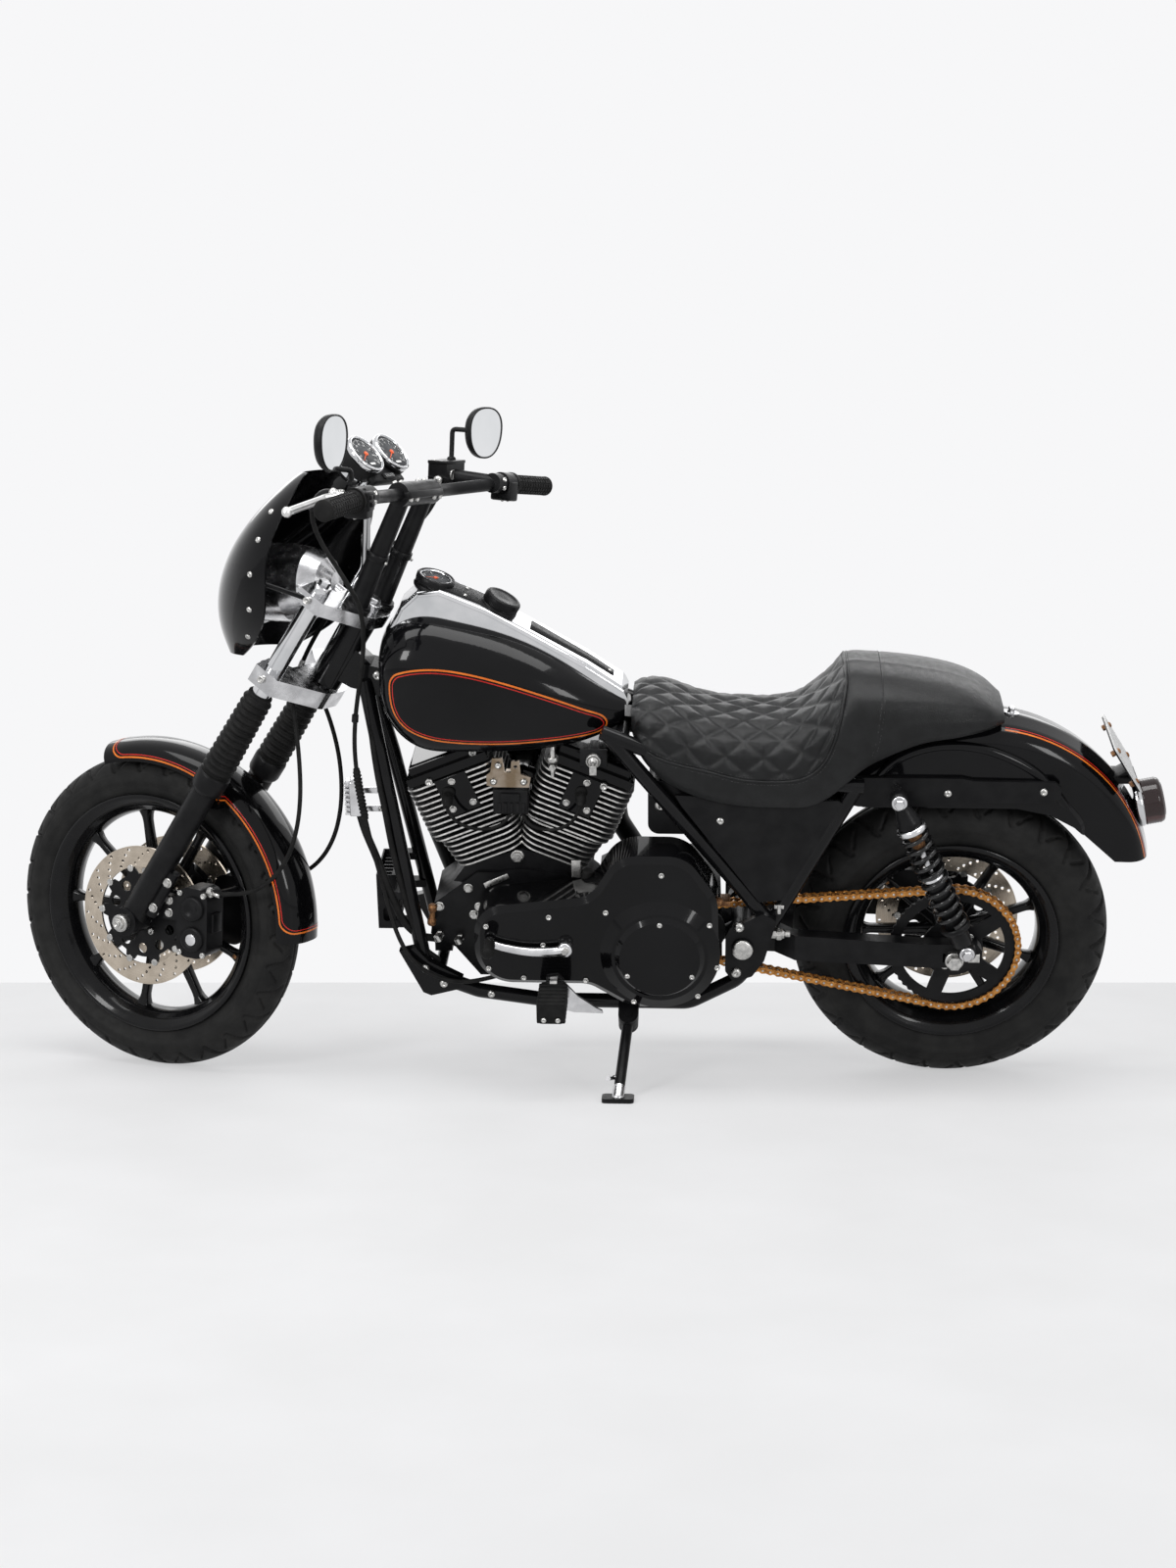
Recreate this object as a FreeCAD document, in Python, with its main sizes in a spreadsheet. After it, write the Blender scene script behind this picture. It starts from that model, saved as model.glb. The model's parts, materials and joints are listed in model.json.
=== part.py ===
import FreeCAD, Part
import math
import os
from FreeCAD import Placement, Rotation, Vector

# A chopper motorcycle with a 45 degree V-twin, leaning on its side stand.
# Every piece is drawn on the upright, straight motorcycle: x runs forward from the rear axle,
# y to the rider's left and z up from the floor. Each body's Placement then leans and steers it.

DRIVING_SIZES = [
    ("wheelbase", 1645),
    ("rear_tyre_radius", 320),
    ("rear_tyre_width", 132),
    ("rear_tyre_wall", 115),
    ("front_tyre_radius", 331),
    ("front_tyre_width", 104),
    ("front_tyre_wall", 92),
    ("rim_flange", 12),
    ("rim_flange_thickness", 7),
    ("spoke_count", 9),
    ("spoke_thickness", 26),
    ("front_axle_radius", 10),
    ("rear_axle_radius", 10),
    ("running_clearance", 0.05),
    ("seat_clearance", 0.3),
    ("lean_angle", 17),
    ("steer_angle", 26),
    ("rake_angle", 31),
    ("fork_offset", 62),
    ("fork_half_spacing", 105),
    ("fork_tube_radius", 19.5),
    ("slider_radius", 27),
    ("slider_top", 385),
    ("gaiter_radius", 33),
    ("lower_clamp_base", 608),
    ("lower_clamp_height", 38),
    ("head_tube_length", 150),
    ("head_tube_radius", 30),
    ("stem_radius", 13),
    ("clamp_gap", 4),
    ("top_clamp_height", 28),
    ("front_disc_radius", 146),
    ("front_disc_side", 62),
    ("disc_thickness", 5),
    ("rear_disc_radius", 146),
    ("rear_disc_side", 62),
    ("frame_tube_radius", 15),
    ("frame_tube_side", 118),
    ("swingarm_side", 113),
    ("swingarm_width", 32),
    ("swingarm_height", 56),
    ("swingarm_pivot_x", 424),
    ("swingarm_pivot_z", 344),
    ("crank_x", 870),
    ("crank_z", 350),
    ("cylinder_angle", 22.5),
    ("barrel_radius", 70),
    ("head_half_width", 96),
    ("fin_pitch", 12),
    ("fin_thickness", 3.5),
    ("primary_side", 198),
    ("primary_thickness", 104),
    ("drum_radius", 120),
    ("drum_height", 14),
    ("derby_radius", 90),
    ("derby_height", 9),
    ("chain_side", 82),
    ("rear_sprocket_radius", 126.7),
    ("gearbox_sprocket_radius", 52.7),
    ("gearbox_sprocket_x", 510),
    ("gearbox_sprocket_z", 352),
    ("chain_pitch", 15.875),
    ("chain_half_height", 9),
    ("chain_plate", 4.5),
    ("chain_width", 20),
    ("chain_roller_radius", 5),
    ("tank_half_width", 138),
    ("tank_tunnel_half_width", 42),
    ("console_half_width", 47),
    ("seat_half_width", 148),
    ("fender_radius", 358),
    ("fender_half_width", 82),
    ("fender_wall", 4),
    ("front_fender_inner", 356),
    ("front_fender_half_width", 62),
    ("front_fender_wall", 4),
    ("shock_side", 168),
    ("shock_spring_radius", 30),
    ("headlamp_radius", 78),
    ("fairing_wall", 5),
    ("bar_radius", 12.7),
    ("grip_radius", 18),
    ("bar_half_length", 444),
    ("grip_length", 135),
    ("riser_side", 46),
    ("gauge_radius", 43),
    ("mirror_width", 105),
    ("mirror_height", 88),
    ("stand_leg_radius", 11),
]

doc = FreeCAD.newDocument("ChopperMotorcycle")
sheet = doc.addObject("Spreadsheet::Sheet", "sizes")
for row, (alias, value) in enumerate(DRIVING_SIZES, start=1):
    sheet.set("A%d" % row, alias)
    sheet.set("B%d" % row, str(value))
    sheet.setAlias("B%d" % row, alias)
doc.recompute()


def size(name):
    return float(getattr(sheet, name))


def unit(vector):
    return Vector(vector).normalize()


AXIS_X = Vector(1, 0, 0)
AXIS_Y = Vector(0, 1, 0)
AXIS_Z = Vector(0, 0, 1)

# Fork geometry on the upright motorcycle
wheelbase = size("wheelbase")
front_axle = Vector(wheelbase, 0, size("front_tyre_radius"))
rear_axle = Vector(0, 0, size("rear_tyre_radius"))
rake = math.radians(size("rake_angle"))
fork_up = Vector(-math.sin(rake), 0, math.cos(rake))
fork_forward = Vector(math.cos(rake), 0, math.sin(rake))
steer_base = front_axle - fork_forward * size("fork_offset")

rear_rim_radius = size("rear_tyre_radius") - size("rear_tyre_wall")
front_rim_radius = size("front_tyre_radius") - size("front_tyre_wall")


def on_steer_axis(height):
    return steer_base + fork_up * height


def on_fork_leg(height, side):
    return front_axle + fork_up * height + AXIS_Y * side


# Rest pose: steered, pitched so that both tyres touch, leaned and lifted onto the floor
def tyre_low_point(centre, axle_direction, radius, crown):
    drop = (radius - crown) * math.sqrt(1 - axle_direction.z ** 2) + crown
    return centre.z - drop


def rest_placements():
    lean = Placement(Vector(), Rotation(AXIS_X, -size("lean_angle")))
    steer = Placement(Vector(), Rotation(fork_up, -size("steer_angle")), steer_base)
    front_crown = size("front_tyre_width") / 2
    rear_crown = size("rear_tyre_width") / 2

    def lows(pitch):
        pose = lean * Placement(Vector(), Rotation(AXIS_Y, pitch))
        steered = pose * steer
        front = tyre_low_point(steered * front_axle, steered.Rotation * AXIS_Y,
                               size("front_tyre_radius"), front_crown)
        rear = tyre_low_point(pose * rear_axle, pose.Rotation * AXIS_Y,
                              size("rear_tyre_radius"), rear_crown)
        return front, rear

    low, high = -5.0, 5.0
    for _ in range(60):
        middle = (low + high) / 2
        front, rear = lows(middle)
        if front > rear:
            low = middle
        else:
            high = middle
    pose = lean * Placement(Vector(), Rotation(AXIS_Y, low))
    rear_low = lows(low)[1]
    lifted = Placement(Vector(0, 0, -rear_low), Rotation()) * pose
    axle_direction = lifted.Rotation * AXIS_Y
    down = Vector(0, 0, -1) + axle_direction * axle_direction.z
    down.normalize()
    contact = lifted * rear_axle + down * (size("rear_tyre_radius") - rear_crown)
    centred = Placement(Vector(-contact.x, -contact.y, 0), Rotation()) * lifted
    return centred, centred * steer


FRAME_POSE, STEERING_POSE = rest_placements()

sub_parts = []


def keep(item, label, pose):
    item.Label = label
    item.Placement = pose * item.Placement
    sub_parts.append(item)
    return item


# Solid helpers

def cylinder_solid(start, end, radius):
    direction = end - start
    return Part.makeCylinder(radius, direction.Length, start, direction)


def cone_solid(start, end, radius_start, radius_end):
    direction = end - start
    return Part.makeCone(radius_start, radius_end, direction.Length, start, direction)


def box_solid(low, high):
    return Part.makeBox(high[0] - low[0], high[1] - low[1], high[2] - low[2], Vector(*low))


def joined(shapes):
    result = shapes[0]
    if len(shapes) > 1:
        result = result.fuse(shapes[1:])
    return result.removeSplitter()


def untouched(item):
    """A sub-part's shape on the upright motorcycle."""
    shape = item.Shape.copy()
    shape.Placement = Placement()
    return shape


def largest(shape):
    return sorted(shape.Solids, key=lambda solid: solid.Volume)[-1]


def feature(label, shape, pose):
    item = doc.addObject("Part::Feature", label)
    item.Shape = shape
    return keep(item, label, pose)


def mirrored_pair(shape):
    return Part.makeCompound([shape, shape.mirror(Vector(), AXIS_Y)])


def xz_plate(points, side, thickness):
    """Plate with an outline in the xz plane, from y = side inwards to side - thickness."""
    corners = [Vector(x, side, z) for x, z in points]
    face = Part.Face(Part.makePolygon(corners + [corners[0]]))
    return face.extrude(Vector(0, -thickness, 0))


def rounded_path(points, bend):
    """Straight runs joined by tangent arcs of one bend radius."""
    edges = []
    start = points[0]
    for before, corner, after in zip(points, points[1:], points[2:]):
        towards = unit(corner - before)
        away = unit(after - corner)
        half_turn = towards.getAngle(away) / 2
        cut = bend * math.tan(half_turn)
        limit = 0.45 * min((corner - before).Length, (after - corner).Length)
        cut = min(cut, limit)
        arc_start = corner - towards * cut
        arc_end = corner + away * cut
        middle = (arc_start + arc_end) / 2
        radius = cut / math.tan(half_turn)
        centre = middle + unit(middle - corner) * (radius / math.cos(half_turn) - (middle - corner).Length)
        peak = centre + unit(corner - centre) * radius
        edges.append(Part.LineSegment(start, arc_start).toShape())
        edges.append(Part.Arc(arc_start, peak, arc_end).toShape())
        start = arc_end
    edges.append(Part.LineSegment(start, points[-1]).toShape())
    return Part.Wire(edges)


def bent_tube(points, radius, bend):
    path = rounded_path(points, bend)
    profile = Part.Wire(Part.makeCircle(radius, points[0], points[1] - points[0]))
    return path.makePipeShell([profile], True, False)


def lofted(wires):
    return Part.makeLoft(wires, True, False)


def crowned_section(profile, x, half_width, low, high):
    """Closed section at x with a flat underside; the profile holds one side's shares of width and height."""
    height = high - low
    right = [Vector(x, -half_width * across, low + height * up) for across, up in profile]
    left = [Vector(x, half_width * across, low + height * up) for across, up in reversed(profile)]
    points = right + [Vector(x, 0, high)] + left
    curve = Part.BSplineCurve()
    curve.interpolate(points)
    return Part.Wire([curve.toShape(), Part.LineSegment(points[-1], points[0]).toShape()])


# PartDesign helpers

def origin_feature(body, role):
    for item in body.Origin.OriginFeatures:
        if item.Role == role:
            return item
    raise ValueError("no origin feature " + role)


def sketch_on(body, name, role, edges, offset=""):
    item = body.newObject("Sketcher::SketchObject", name)
    item.AttachmentSupport = [(origin_feature(body, role), "")]
    item.MapMode = "FlatFace"
    if offset:
        item.setExpression("AttachmentOffset.Base.z", offset)
    item.addGeometry(edges, False)
    return item


def polygon_edges(points):
    ring = [Vector(u, v, 0) for u, v in points]
    return [Part.LineSegment(a, b) for a, b in zip(ring, ring[1:] + ring[:1])]


def pad(body, name, sketch, length, midplane=False):
    item = body.newObject("PartDesign::Pad", name)
    item.Profile = sketch
    item.Midplane = midplane
    item.setExpression("Length", length)
    return item


def revolution(body, name, sketch):
    item = body.newObject("PartDesign::Revolution", name)
    item.Profile = sketch
    item.ReferenceAxis = (origin_feature(body, "Y_Axis"), [""])
    item.Angle = 360
    return item


def polar_pattern(body, name, feature_item, count):
    item = body.newObject("PartDesign::PolarPattern", name)
    item.Originals = [feature_item]
    item.Axis = (origin_feature(body, "Y_Axis"), [""])
    item.Angle = 360
    item.setExpression("Occurrences", count)
    body.Tip = item
    return item


def new_body(name):
    return doc.addObject("PartDesign::Body", name)


# Wheels

def tyre(label, radius, width, rim_radius, pose):
    """Tyre section: a half-round crown, sloping walls and a flat bead seat."""
    crown = width / 2
    bead_half = width / 2 - 16
    crown_centre = radius - crown
    body = new_body(label)
    edges = [
        Part.Arc(Vector(-crown, crown_centre, 0), Vector(0, radius, 0), Vector(crown, crown_centre, 0)),
        Part.LineSegment(Vector(crown, crown_centre, 0), Vector(bead_half, rim_radius, 0)),
        Part.LineSegment(Vector(bead_half, rim_radius, 0), Vector(-bead_half, rim_radius, 0)),
        Part.LineSegment(Vector(-bead_half, rim_radius, 0), Vector(-crown, crown_centre, 0)),
    ]
    section = sketch_on(body, label + "_section", "YZ_Plane", edges)
    revolution(body, label + "_ring", section)
    doc.recompute()
    return keep(body, label, pose)


def cast_wheel(label, tyre_radius, tyre_width, rim_radius, hub_half, hub_radius, axle_radius, pose):
    """Cast wheel: rim with flanges, nine tapered spokes and a bored hub."""
    bead_half = tyre_width / 2 - 16
    flange = size("rim_flange")
    lip = size("rim_flange_thickness")
    seat = rim_radius - size("seat_clearance")
    crown_centre = tyre_radius - tyre_width / 2
    lean_out = (tyre_width / 2 - bead_half) * flange / (crown_centre - rim_radius) + 1.5
    bore = axle_radius + size("running_clearance")
    drop = 20
    body = new_body(label)
    half = [
        (0, seat - 10), (bead_half - 12, seat), (bead_half + 0.3, seat),
        (bead_half + lean_out, seat + flange), (bead_half + lean_out + lip, seat + flange),
        (bead_half + lip, seat - 6), (bead_half - 8, seat - drop), (0, seat - drop - 8),
    ]
    ring = half + [(-u, v) for u, v in reversed(half[1:-1])]
    rim_sketch = sketch_on(body, label + "_rim_section", "YZ_Plane", polygon_edges(ring))
    revolution(body, label + "_rim", rim_sketch)
    hub = [(-hub_half, bore), (hub_half, bore), (hub_half, hub_radius - 6), (hub_half - 6, hub_radius),
           (-hub_half + 6, hub_radius), (-hub_half, hub_radius - 6)]
    hub_sketch = sketch_on(body, label + "_hub_section", "YZ_Plane", polygon_edges(hub))
    revolution(body, label + "_hub", hub_sketch)
    inner, outer = hub_radius - 4, seat - drop - 3
    spoke = [(-17, inner), (17, inner), (11, outer - 22), (21, outer), (-21, outer), (-11, outer - 22)]
    spoke_sketch = sketch_on(body, label + "_spoke_outline", "XZ_Plane", polygon_edges(spoke))
    first = pad(body, label + "_spoke", spoke_sketch, "sizes.spoke_thickness", midplane=True)
    polar_pattern(body, label + "_spokes", first, "sizes.spoke_count")
    doc.recompute()
    return keep(body, label, pose)


def brake_disc(label, radius_name, side_name, sides, pose):
    """Brake discs: a stainless ring on a windowed carrier, one for each side in the list."""
    radius = size(radius_name)
    side = size(side_name)
    thickness = size("disc_thickness")
    ring_inner = radius - 44
    solids = []
    for sign in sides:
        start = sign * side - thickness / 2
        ring = Part.makeCylinder(radius, thickness, Vector(0, start, 0), AXIS_Y)
        ring = ring.cut(Part.makeCylinder(ring_inner, thickness, Vector(0, start, 0), AXIS_Y))
        carrier = Part.makeCylinder(ring_inner + 1, thickness, Vector(0, start, 0), AXIS_Y)
        carrier = carrier.cut(Part.makeCylinder(disc_bore, thickness, Vector(0, start, 0), AXIS_Y))
        window_radius = (ring_inner - disc_bore) / 4
        window_centre = (ring_inner + disc_bore) / 2 + 4
        windows = []
        for index in range(10):
            angle = math.radians(36 * index)
            centre = Vector(window_centre * math.cos(angle), start, window_centre * math.sin(angle))
            windows.append(Part.makeCylinder(window_radius, thickness, centre, AXIS_Y))
        solids.append(joined([ring, carrier.cut(windows)]))
    shape = solids[0] if len(solids) == 1 else Part.makeCompound(solids)
    return feature(label, shape, pose)


front_wheel_pose = STEERING_POSE * Placement(front_axle, Rotation())
rear_wheel_pose = FRAME_POSE * Placement(rear_axle, Rotation())

front_hub_half = size("front_disc_side") - size("disc_thickness") / 2
rear_hub_half = size("rear_disc_side") - size("disc_thickness") / 2
hub_radius = 46
disc_bore = 24
sprocket_width = 7

tyre("front_tyre", size("front_tyre_radius"), size("front_tyre_width"), front_rim_radius, front_wheel_pose)
cast_wheel("front_rim", size("front_tyre_radius"), size("front_tyre_width"), front_rim_radius,
           front_hub_half, hub_radius, size("front_axle_radius"), front_wheel_pose)
brake_disc("front_discs", "front_disc_radius", "front_disc_side", [1, -1], front_wheel_pose)
tyre("rear_tyre", size("rear_tyre_radius"), size("rear_tyre_width"), rear_rim_radius, rear_wheel_pose)
cast_wheel("rear_rim", size("rear_tyre_radius"), size("rear_tyre_width"), rear_rim_radius,
           rear_hub_half, hub_radius, size("rear_axle_radius"), rear_wheel_pose)
brake_disc("rear_disc", "rear_disc_radius", "rear_disc_side", [-1], rear_wheel_pose)


def rear_sprocket():
    """Sprocket on the wheel's left side, with five round lightening holes; the chain hides its teeth."""
    radius = size("rear_sprocket_radius")
    side = size("chain_side")
    inner_face = side - sprocket_width / 2
    plate = Part.makeCylinder(radius, sprocket_width, Vector(0, inner_face, 0), AXIS_Y)
    spacer = Part.makeCylinder(hub_radius, inner_face - rear_hub_half, Vector(0, rear_hub_half, 0), AXIS_Y)
    holes = [Part.makeCylinder(disc_bore, 2 * side, Vector(), AXIS_Y)]
    for index in range(5):
        angle = math.radians(72 * index)
        centre = Vector(82 * math.cos(angle), 0, 82 * math.sin(angle))
        holes.append(Part.makeCylinder(16, 2 * side, centre, AXIS_Y))
    return feature("rear_sprocket", joined([plate, spacer]).cut(holes), rear_wheel_pose)


rear_sprocket()


# Axles

def axle(label, centre, half_length, radius, collar_from, collar_to, pose):
    """Axle with a collar on each side beside the hub and a nut at each end."""
    start = centre - AXIS_Y * half_length
    shapes = [cylinder_solid(start, centre + AXIS_Y * half_length, radius)]
    for sign in (1, -1):
        near = centre + AXIS_Y * (sign * collar_from)
        far = centre + AXIS_Y * (sign * collar_to)
        shapes.append(cylinder_solid(near, far, radius + 7))
        nut_from = centre + AXIS_Y * (sign * (half_length - 12))
        shapes.append(cylinder_solid(nut_from, centre + AXIS_Y * (sign * half_length), radius + 8))
    return feature(label, joined(shapes), pose)


fork_side = size("fork_half_spacing")
slider_radius = size("slider_radius")
lug_half = slider_radius + 1
swingarm_side = size("swingarm_side")
swingarm_half = size("swingarm_width") / 2
seat_gap = size("seat_clearance")

axle("front_axle", front_axle, fork_side + lug_half + 12 + seat_gap, size("front_axle_radius"),
     size("front_disc_side") + 8, fork_side - lug_half - seat_gap, STEERING_POSE)
axle("rear_axle", rear_axle, swingarm_side + swingarm_half + 12 + seat_gap, size("rear_axle_radius"),
     size("chain_side") + 10, swingarm_side - swingarm_half - seat_gap, FRAME_POSE)


# Fork

def fork_sliders():
    legs = []
    for sign in (1, -1):
        side = sign * fork_side
        leg = cylinder_solid(on_fork_leg(-34, side), on_fork_leg(size("slider_top"), side), slider_radius)
        lug = cylinder_solid(on_fork_leg(0, side - lug_half), on_fork_leg(0, side + lug_half), 30)
        hanger_low = on_fork_leg(40, side)
        hanger_high = on_fork_leg(150, side)
        hanger = cylinder_solid(hanger_low - fork_forward * 32, hanger_high - fork_forward * 32, 12)
        leg = joined([leg, lug, hanger])
        bore = size("front_axle_radius") + size("running_clearance")
        leg = leg.cut(cylinder_solid(on_fork_leg(0, side - 60), on_fork_leg(0, side + 60), bore))
        tube_hole = size("fork_tube_radius") + size("running_clearance")
        leg = leg.cut(cylinder_solid(on_fork_leg(size("slider_top") - 90, side),
                                     on_fork_leg(size("slider_top") + 5, side), tube_hole))
        legs.append(leg)
    return feature("fork_sliders", Part.makeCompound(legs), STEERING_POSE)


def fork_tubes():
    top = size("lower_clamp_base") + size("lower_clamp_height") + size("head_tube_length") \
        + 2 * size("clamp_gap") + size("top_clamp_height") + 12
    legs = []
    for sign in (1, -1):
        side = sign * fork_side
        tube = cylinder_solid(on_fork_leg(size("slider_top") - 85, side), on_fork_leg(top, side),
                              size("fork_tube_radius"))
        legs.append(tube)
    return feature("fork_tubes", Part.makeCompound(legs), STEERING_POSE)


def fork_gaiters():
    """Ribbed rubber boots between the sliders and the lower clamp."""
    start = size("slider_top") + seat_gap
    end = size("lower_clamp_base") - seat_gap
    outer = size("gaiter_radius")
    inner = size("fork_tube_radius") + seat_gap
    folds = 14
    pitch = (end - start) / folds
    profile = [Vector(inner, 0, start)]
    for index in range(folds):
        taper = 4 * index / folds
        profile.append(Vector(outer - taper, 0, start + index * pitch))
        profile.append(Vector(outer - taper, 0, start + (index + 0.6) * pitch))
        profile.append(Vector(outer - taper - 5, 0, start + (index + 0.8) * pitch))
    profile.append(Vector(inner, 0, end))
    face = Part.Face(Part.makePolygon(profile + [profile[0]]))
    ring = face.revolve(Vector(), AXIS_Z, 360)
    legs = []
    for sign in (1, -1):
        tilt = Rotation(AXIS_Z, fork_up)
        leg = ring.copy()
        leg.Placement = Placement(front_axle + AXIS_Y * (sign * fork_side), tilt)
        legs.append(leg)
    return feature("fork_gaiters", Part.makeCompound(legs), STEERING_POSE)


def clamp_plate(base, height, boss):
    """Fork clamp: a waisted bridge through the stem and both legs."""
    near = on_steer_axis(base)
    outline = []
    offset = size("fork_offset")
    reach = fork_side + boss
    for along, across in [(-34, -26), (-30, -40), (offset - 30, -reach), (offset + 26, -reach),
                          (offset + 34, -fork_side + 24), (offset - 4, -44), (offset - 4, 44),
                          (offset + 34, fork_side - 24), (offset + 26, reach), (offset - 30, reach),
                          (-30, 40), (-34, 26)]:
        outline.append(near + fork_forward * along + AXIS_Y * across)
    face = Part.Face(Part.makePolygon(outline + [outline[0]]))
    plate = face.extrude(fork_up * height)
    for sign in (1, -1):
        centre = on_fork_leg(base, sign * fork_side)
        plate = plate.fuse(cylinder_solid(centre, centre + fork_up * height, boss))
    for sign in (1, -1):
        centre = on_fork_leg(base - 5, sign * fork_side)
        hole = size("fork_tube_radius") + size("running_clearance")
        plate = plate.cut(cylinder_solid(centre, centre + fork_up * (height + 10), hole))
    return plate.removeSplitter()


head_tube_base = size("lower_clamp_base") + size("lower_clamp_height") + size("clamp_gap")
head_tube_top = head_tube_base + size("head_tube_length")
top_clamp_base = head_tube_top + size("clamp_gap")
top_clamp_top = top_clamp_base + size("top_clamp_height")


def fork_clamps():
    lower = clamp_plate(size("lower_clamp_base"), size("lower_clamp_height"), 32)
    stem_top = top_clamp_base - seat_gap
    stem = cylinder_solid(on_steer_axis(size("lower_clamp_base") + 5), on_steer_axis(stem_top),
                          size("stem_radius"))
    lower_item = feature("lower_fork_clamp", joined([lower, stem]), STEERING_POSE)
    upper = clamp_plate(top_clamp_base, size("top_clamp_height"), 30)
    stem_nut = cylinder_solid(on_steer_axis(top_clamp_top), on_steer_axis(top_clamp_top + 10), 18)
    upper_item = feature("upper_fork_clamp", joined([upper, stem_nut]), STEERING_POSE)
    return lower_item, upper_item


fork_sliders()
tubes_item = fork_tubes()
fork_gaiters()
lower_clamp_item, upper_clamp_item = fork_clamps()


def front_calipers():
    """Four-piston calipers behind the legs, slotted around the discs, with two round bosses."""
    shapes = []
    disc_side = size("front_disc_side")
    outer_side = fork_side - 6
    inner_side = 40
    for sign in (1, -1):
        side = sign * disc_side
        low_side, high_side = sorted([sign * inner_side, sign * outer_side])
        block = box_solid((-180, low_side, -62), (-106, high_side, 84))
        block = block.makeFillet(26, [edge for edge in block.Edges
                                      if abs(edge.tangentAt(edge.FirstParameter).y) > 0.9])
        bosses = []
        for height in (-22, 42):
            start = Vector(-146, sign * (outer_side - 4), height)
            bosses.append(cylinder_solid(start, start + AXIS_Y * (sign * 10), 25))
        ear = box_solid((-114, low_side + (26 if sign > 0 else 6), 10),
                        (-70, high_side - (6 if sign > 0 else 26), 60))
        block = block.fuse(bosses + [ear])
        slot_half = size("disc_thickness") / 2 + 5
        slot = Part.makeCylinder(size("front_disc_radius") + 6, 2 * slot_half,
                                 Vector(0, side - slot_half, 0), AXIS_Y)
        block = block.cut(slot)
        block.Placement = Placement(front_axle, Rotation()) * block.Placement
        leg = cylinder_solid(on_fork_leg(-30, sign * fork_side), on_fork_leg(200, sign * fork_side),
                             slider_radius + seat_gap)
        hanger = cylinder_solid(on_fork_leg(30, sign * fork_side) - fork_forward * 32,
                                on_fork_leg(160, sign * fork_side) - fork_forward * 32, 12 + seat_gap)
        shapes.append(block.cut([leg, hanger]))
    return feature("front_calipers", Part.makeCompound(shapes), STEERING_POSE)


front_calipers()


def front_fender():
    """Front fender: an arched section swept round the axle, on two side brackets."""
    inner = size("front_fender_inner")
    half = size("front_fender_half_width")
    wall = size("front_fender_wall")
    skirt = 34

    def arch(offset):
        return [Vector(0, -half + offset, inner - skirt), Vector(0, -half * 0.86 + offset, inner - 8),
                Vector(0, -half * 0.45, inner + 7 - offset), Vector(0, 0, inner + wall + 6 - offset),
                Vector(0, half * 0.45, inner + 7 - offset), Vector(0, half * 0.86 - offset, inner - 8),
                Vector(0, half - offset, inner - skirt)]

    outer_curve = Part.BSplineCurve()
    outer_curve.interpolate(arch(0))
    inner_curve = Part.BSplineCurve()
    inner_curve.interpolate(arch(wall))
    outer_points, inner_points = arch(0), arch(wall)
    section = Part.Wire(Part.__sortEdges__([
        outer_curve.toShape(), inner_curve.toShape(),
        Part.LineSegment(outer_points[0], inner_points[0]).toShape(),
        Part.LineSegment(outer_points[-1], inner_points[-1]).toShape()]))
    front_end, rear_end = 18, -92
    face = Part.Face(section)
    face.rotate(Vector(), AXIS_Y, front_end)
    shell = face.revolve(Vector(), AXIS_Y, rear_end - front_end)
    shell.Placement = Placement(front_axle, Rotation()) * shell.Placement
    brackets = []
    for sign in (1, -1):
        leg = on_fork_leg(310, sign * fork_side)
        near = leg - AXIS_Y * (sign * (slider_radius + seat_gap - 6))
        wide = abs(near.y) - half + 2
        low = Vector(near.x - 32, min(near.y, near.y - sign * wide), near.z - 14)
        plate = Part.makeBox(56, wide, 28, low)
        brackets.append(plate)
    shape = joined([shell] + brackets)
    for sign in (1, -1):
        shape = shape.cut(cylinder_solid(on_fork_leg(200, sign * fork_side),
                                         on_fork_leg(400, sign * fork_side), slider_radius + seat_gap))
    return feature("front_fender", shape, STEERING_POSE)


front_fender()


# Headlamp and fairing
headlamp_back = front_axle + Vector(-409, 0, 721)
headlamp_front = front_axle + Vector(-221, 0, 709)
clamp_waist = size("fork_offset") - 4


def headlamp():
    """Deep round lamp shell on a stalk from the upper clamp's front face."""
    radius = size("headlamp_radius")
    axis = unit(headlamp_front - headlamp_back)
    length = (headlamp_front - headlamp_back).Length
    profile = [(0, 0), (24, 2), (52, 22), (70, 54), (radius, 96), (radius, length - 14),
               (radius + 5, length - 14), (radius + 5, length), (0, length)]
    face = Part.Face(Part.makePolygon([Vector(r, 0, a) for r, a in profile + profile[:1]]))
    shell = face.revolve(Vector(), AXIS_Z, 360)
    shell.Placement = Placement(headlamp_back, Rotation(AXIS_Z, axis))
    seat_height = top_clamp_base + size("top_clamp_height") / 2
    stalk_start = on_steer_axis(seat_height) + fork_forward * (clamp_waist + seat_gap)
    stalk = cylinder_solid(stalk_start, stalk_start + fork_forward * 46, 12)
    return feature("headlamp", joined([shell, stalk]), STEERING_POSE)


def fairing_section(height, nose, half_width, rear, wall):
    """Closed crescent at one height: outer curve, inner curve and two end edges."""
    def curve(inset):
        reach = nose - inset
        wide = half_width - inset
        depth = reach - rear
        return [Vector(rear, -wide, height), Vector(rear + 0.52 * depth, -wide * 0.86, height),
                Vector(rear + 0.88 * depth, -wide * 0.46, height), Vector(reach, 0, height),
                Vector(rear + 0.88 * depth, wide * 0.46, height),
                Vector(rear + 0.52 * depth, wide * 0.86, height), Vector(rear, wide, height)]
    outer, inner = curve(0), curve(wall)
    outer_curve, inner_curve = Part.BSplineCurve(), Part.BSplineCurve()
    outer_curve.interpolate(outer)
    inner_curve.interpolate(list(reversed(inner)))
    return Part.Wire([outer_curve.toShape(), Part.LineSegment(outer[-1], inner[-1]).toShape(),
                      inner_curve.toShape(), Part.LineSegment(inner[0], outer[0]).toShape()])


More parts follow.
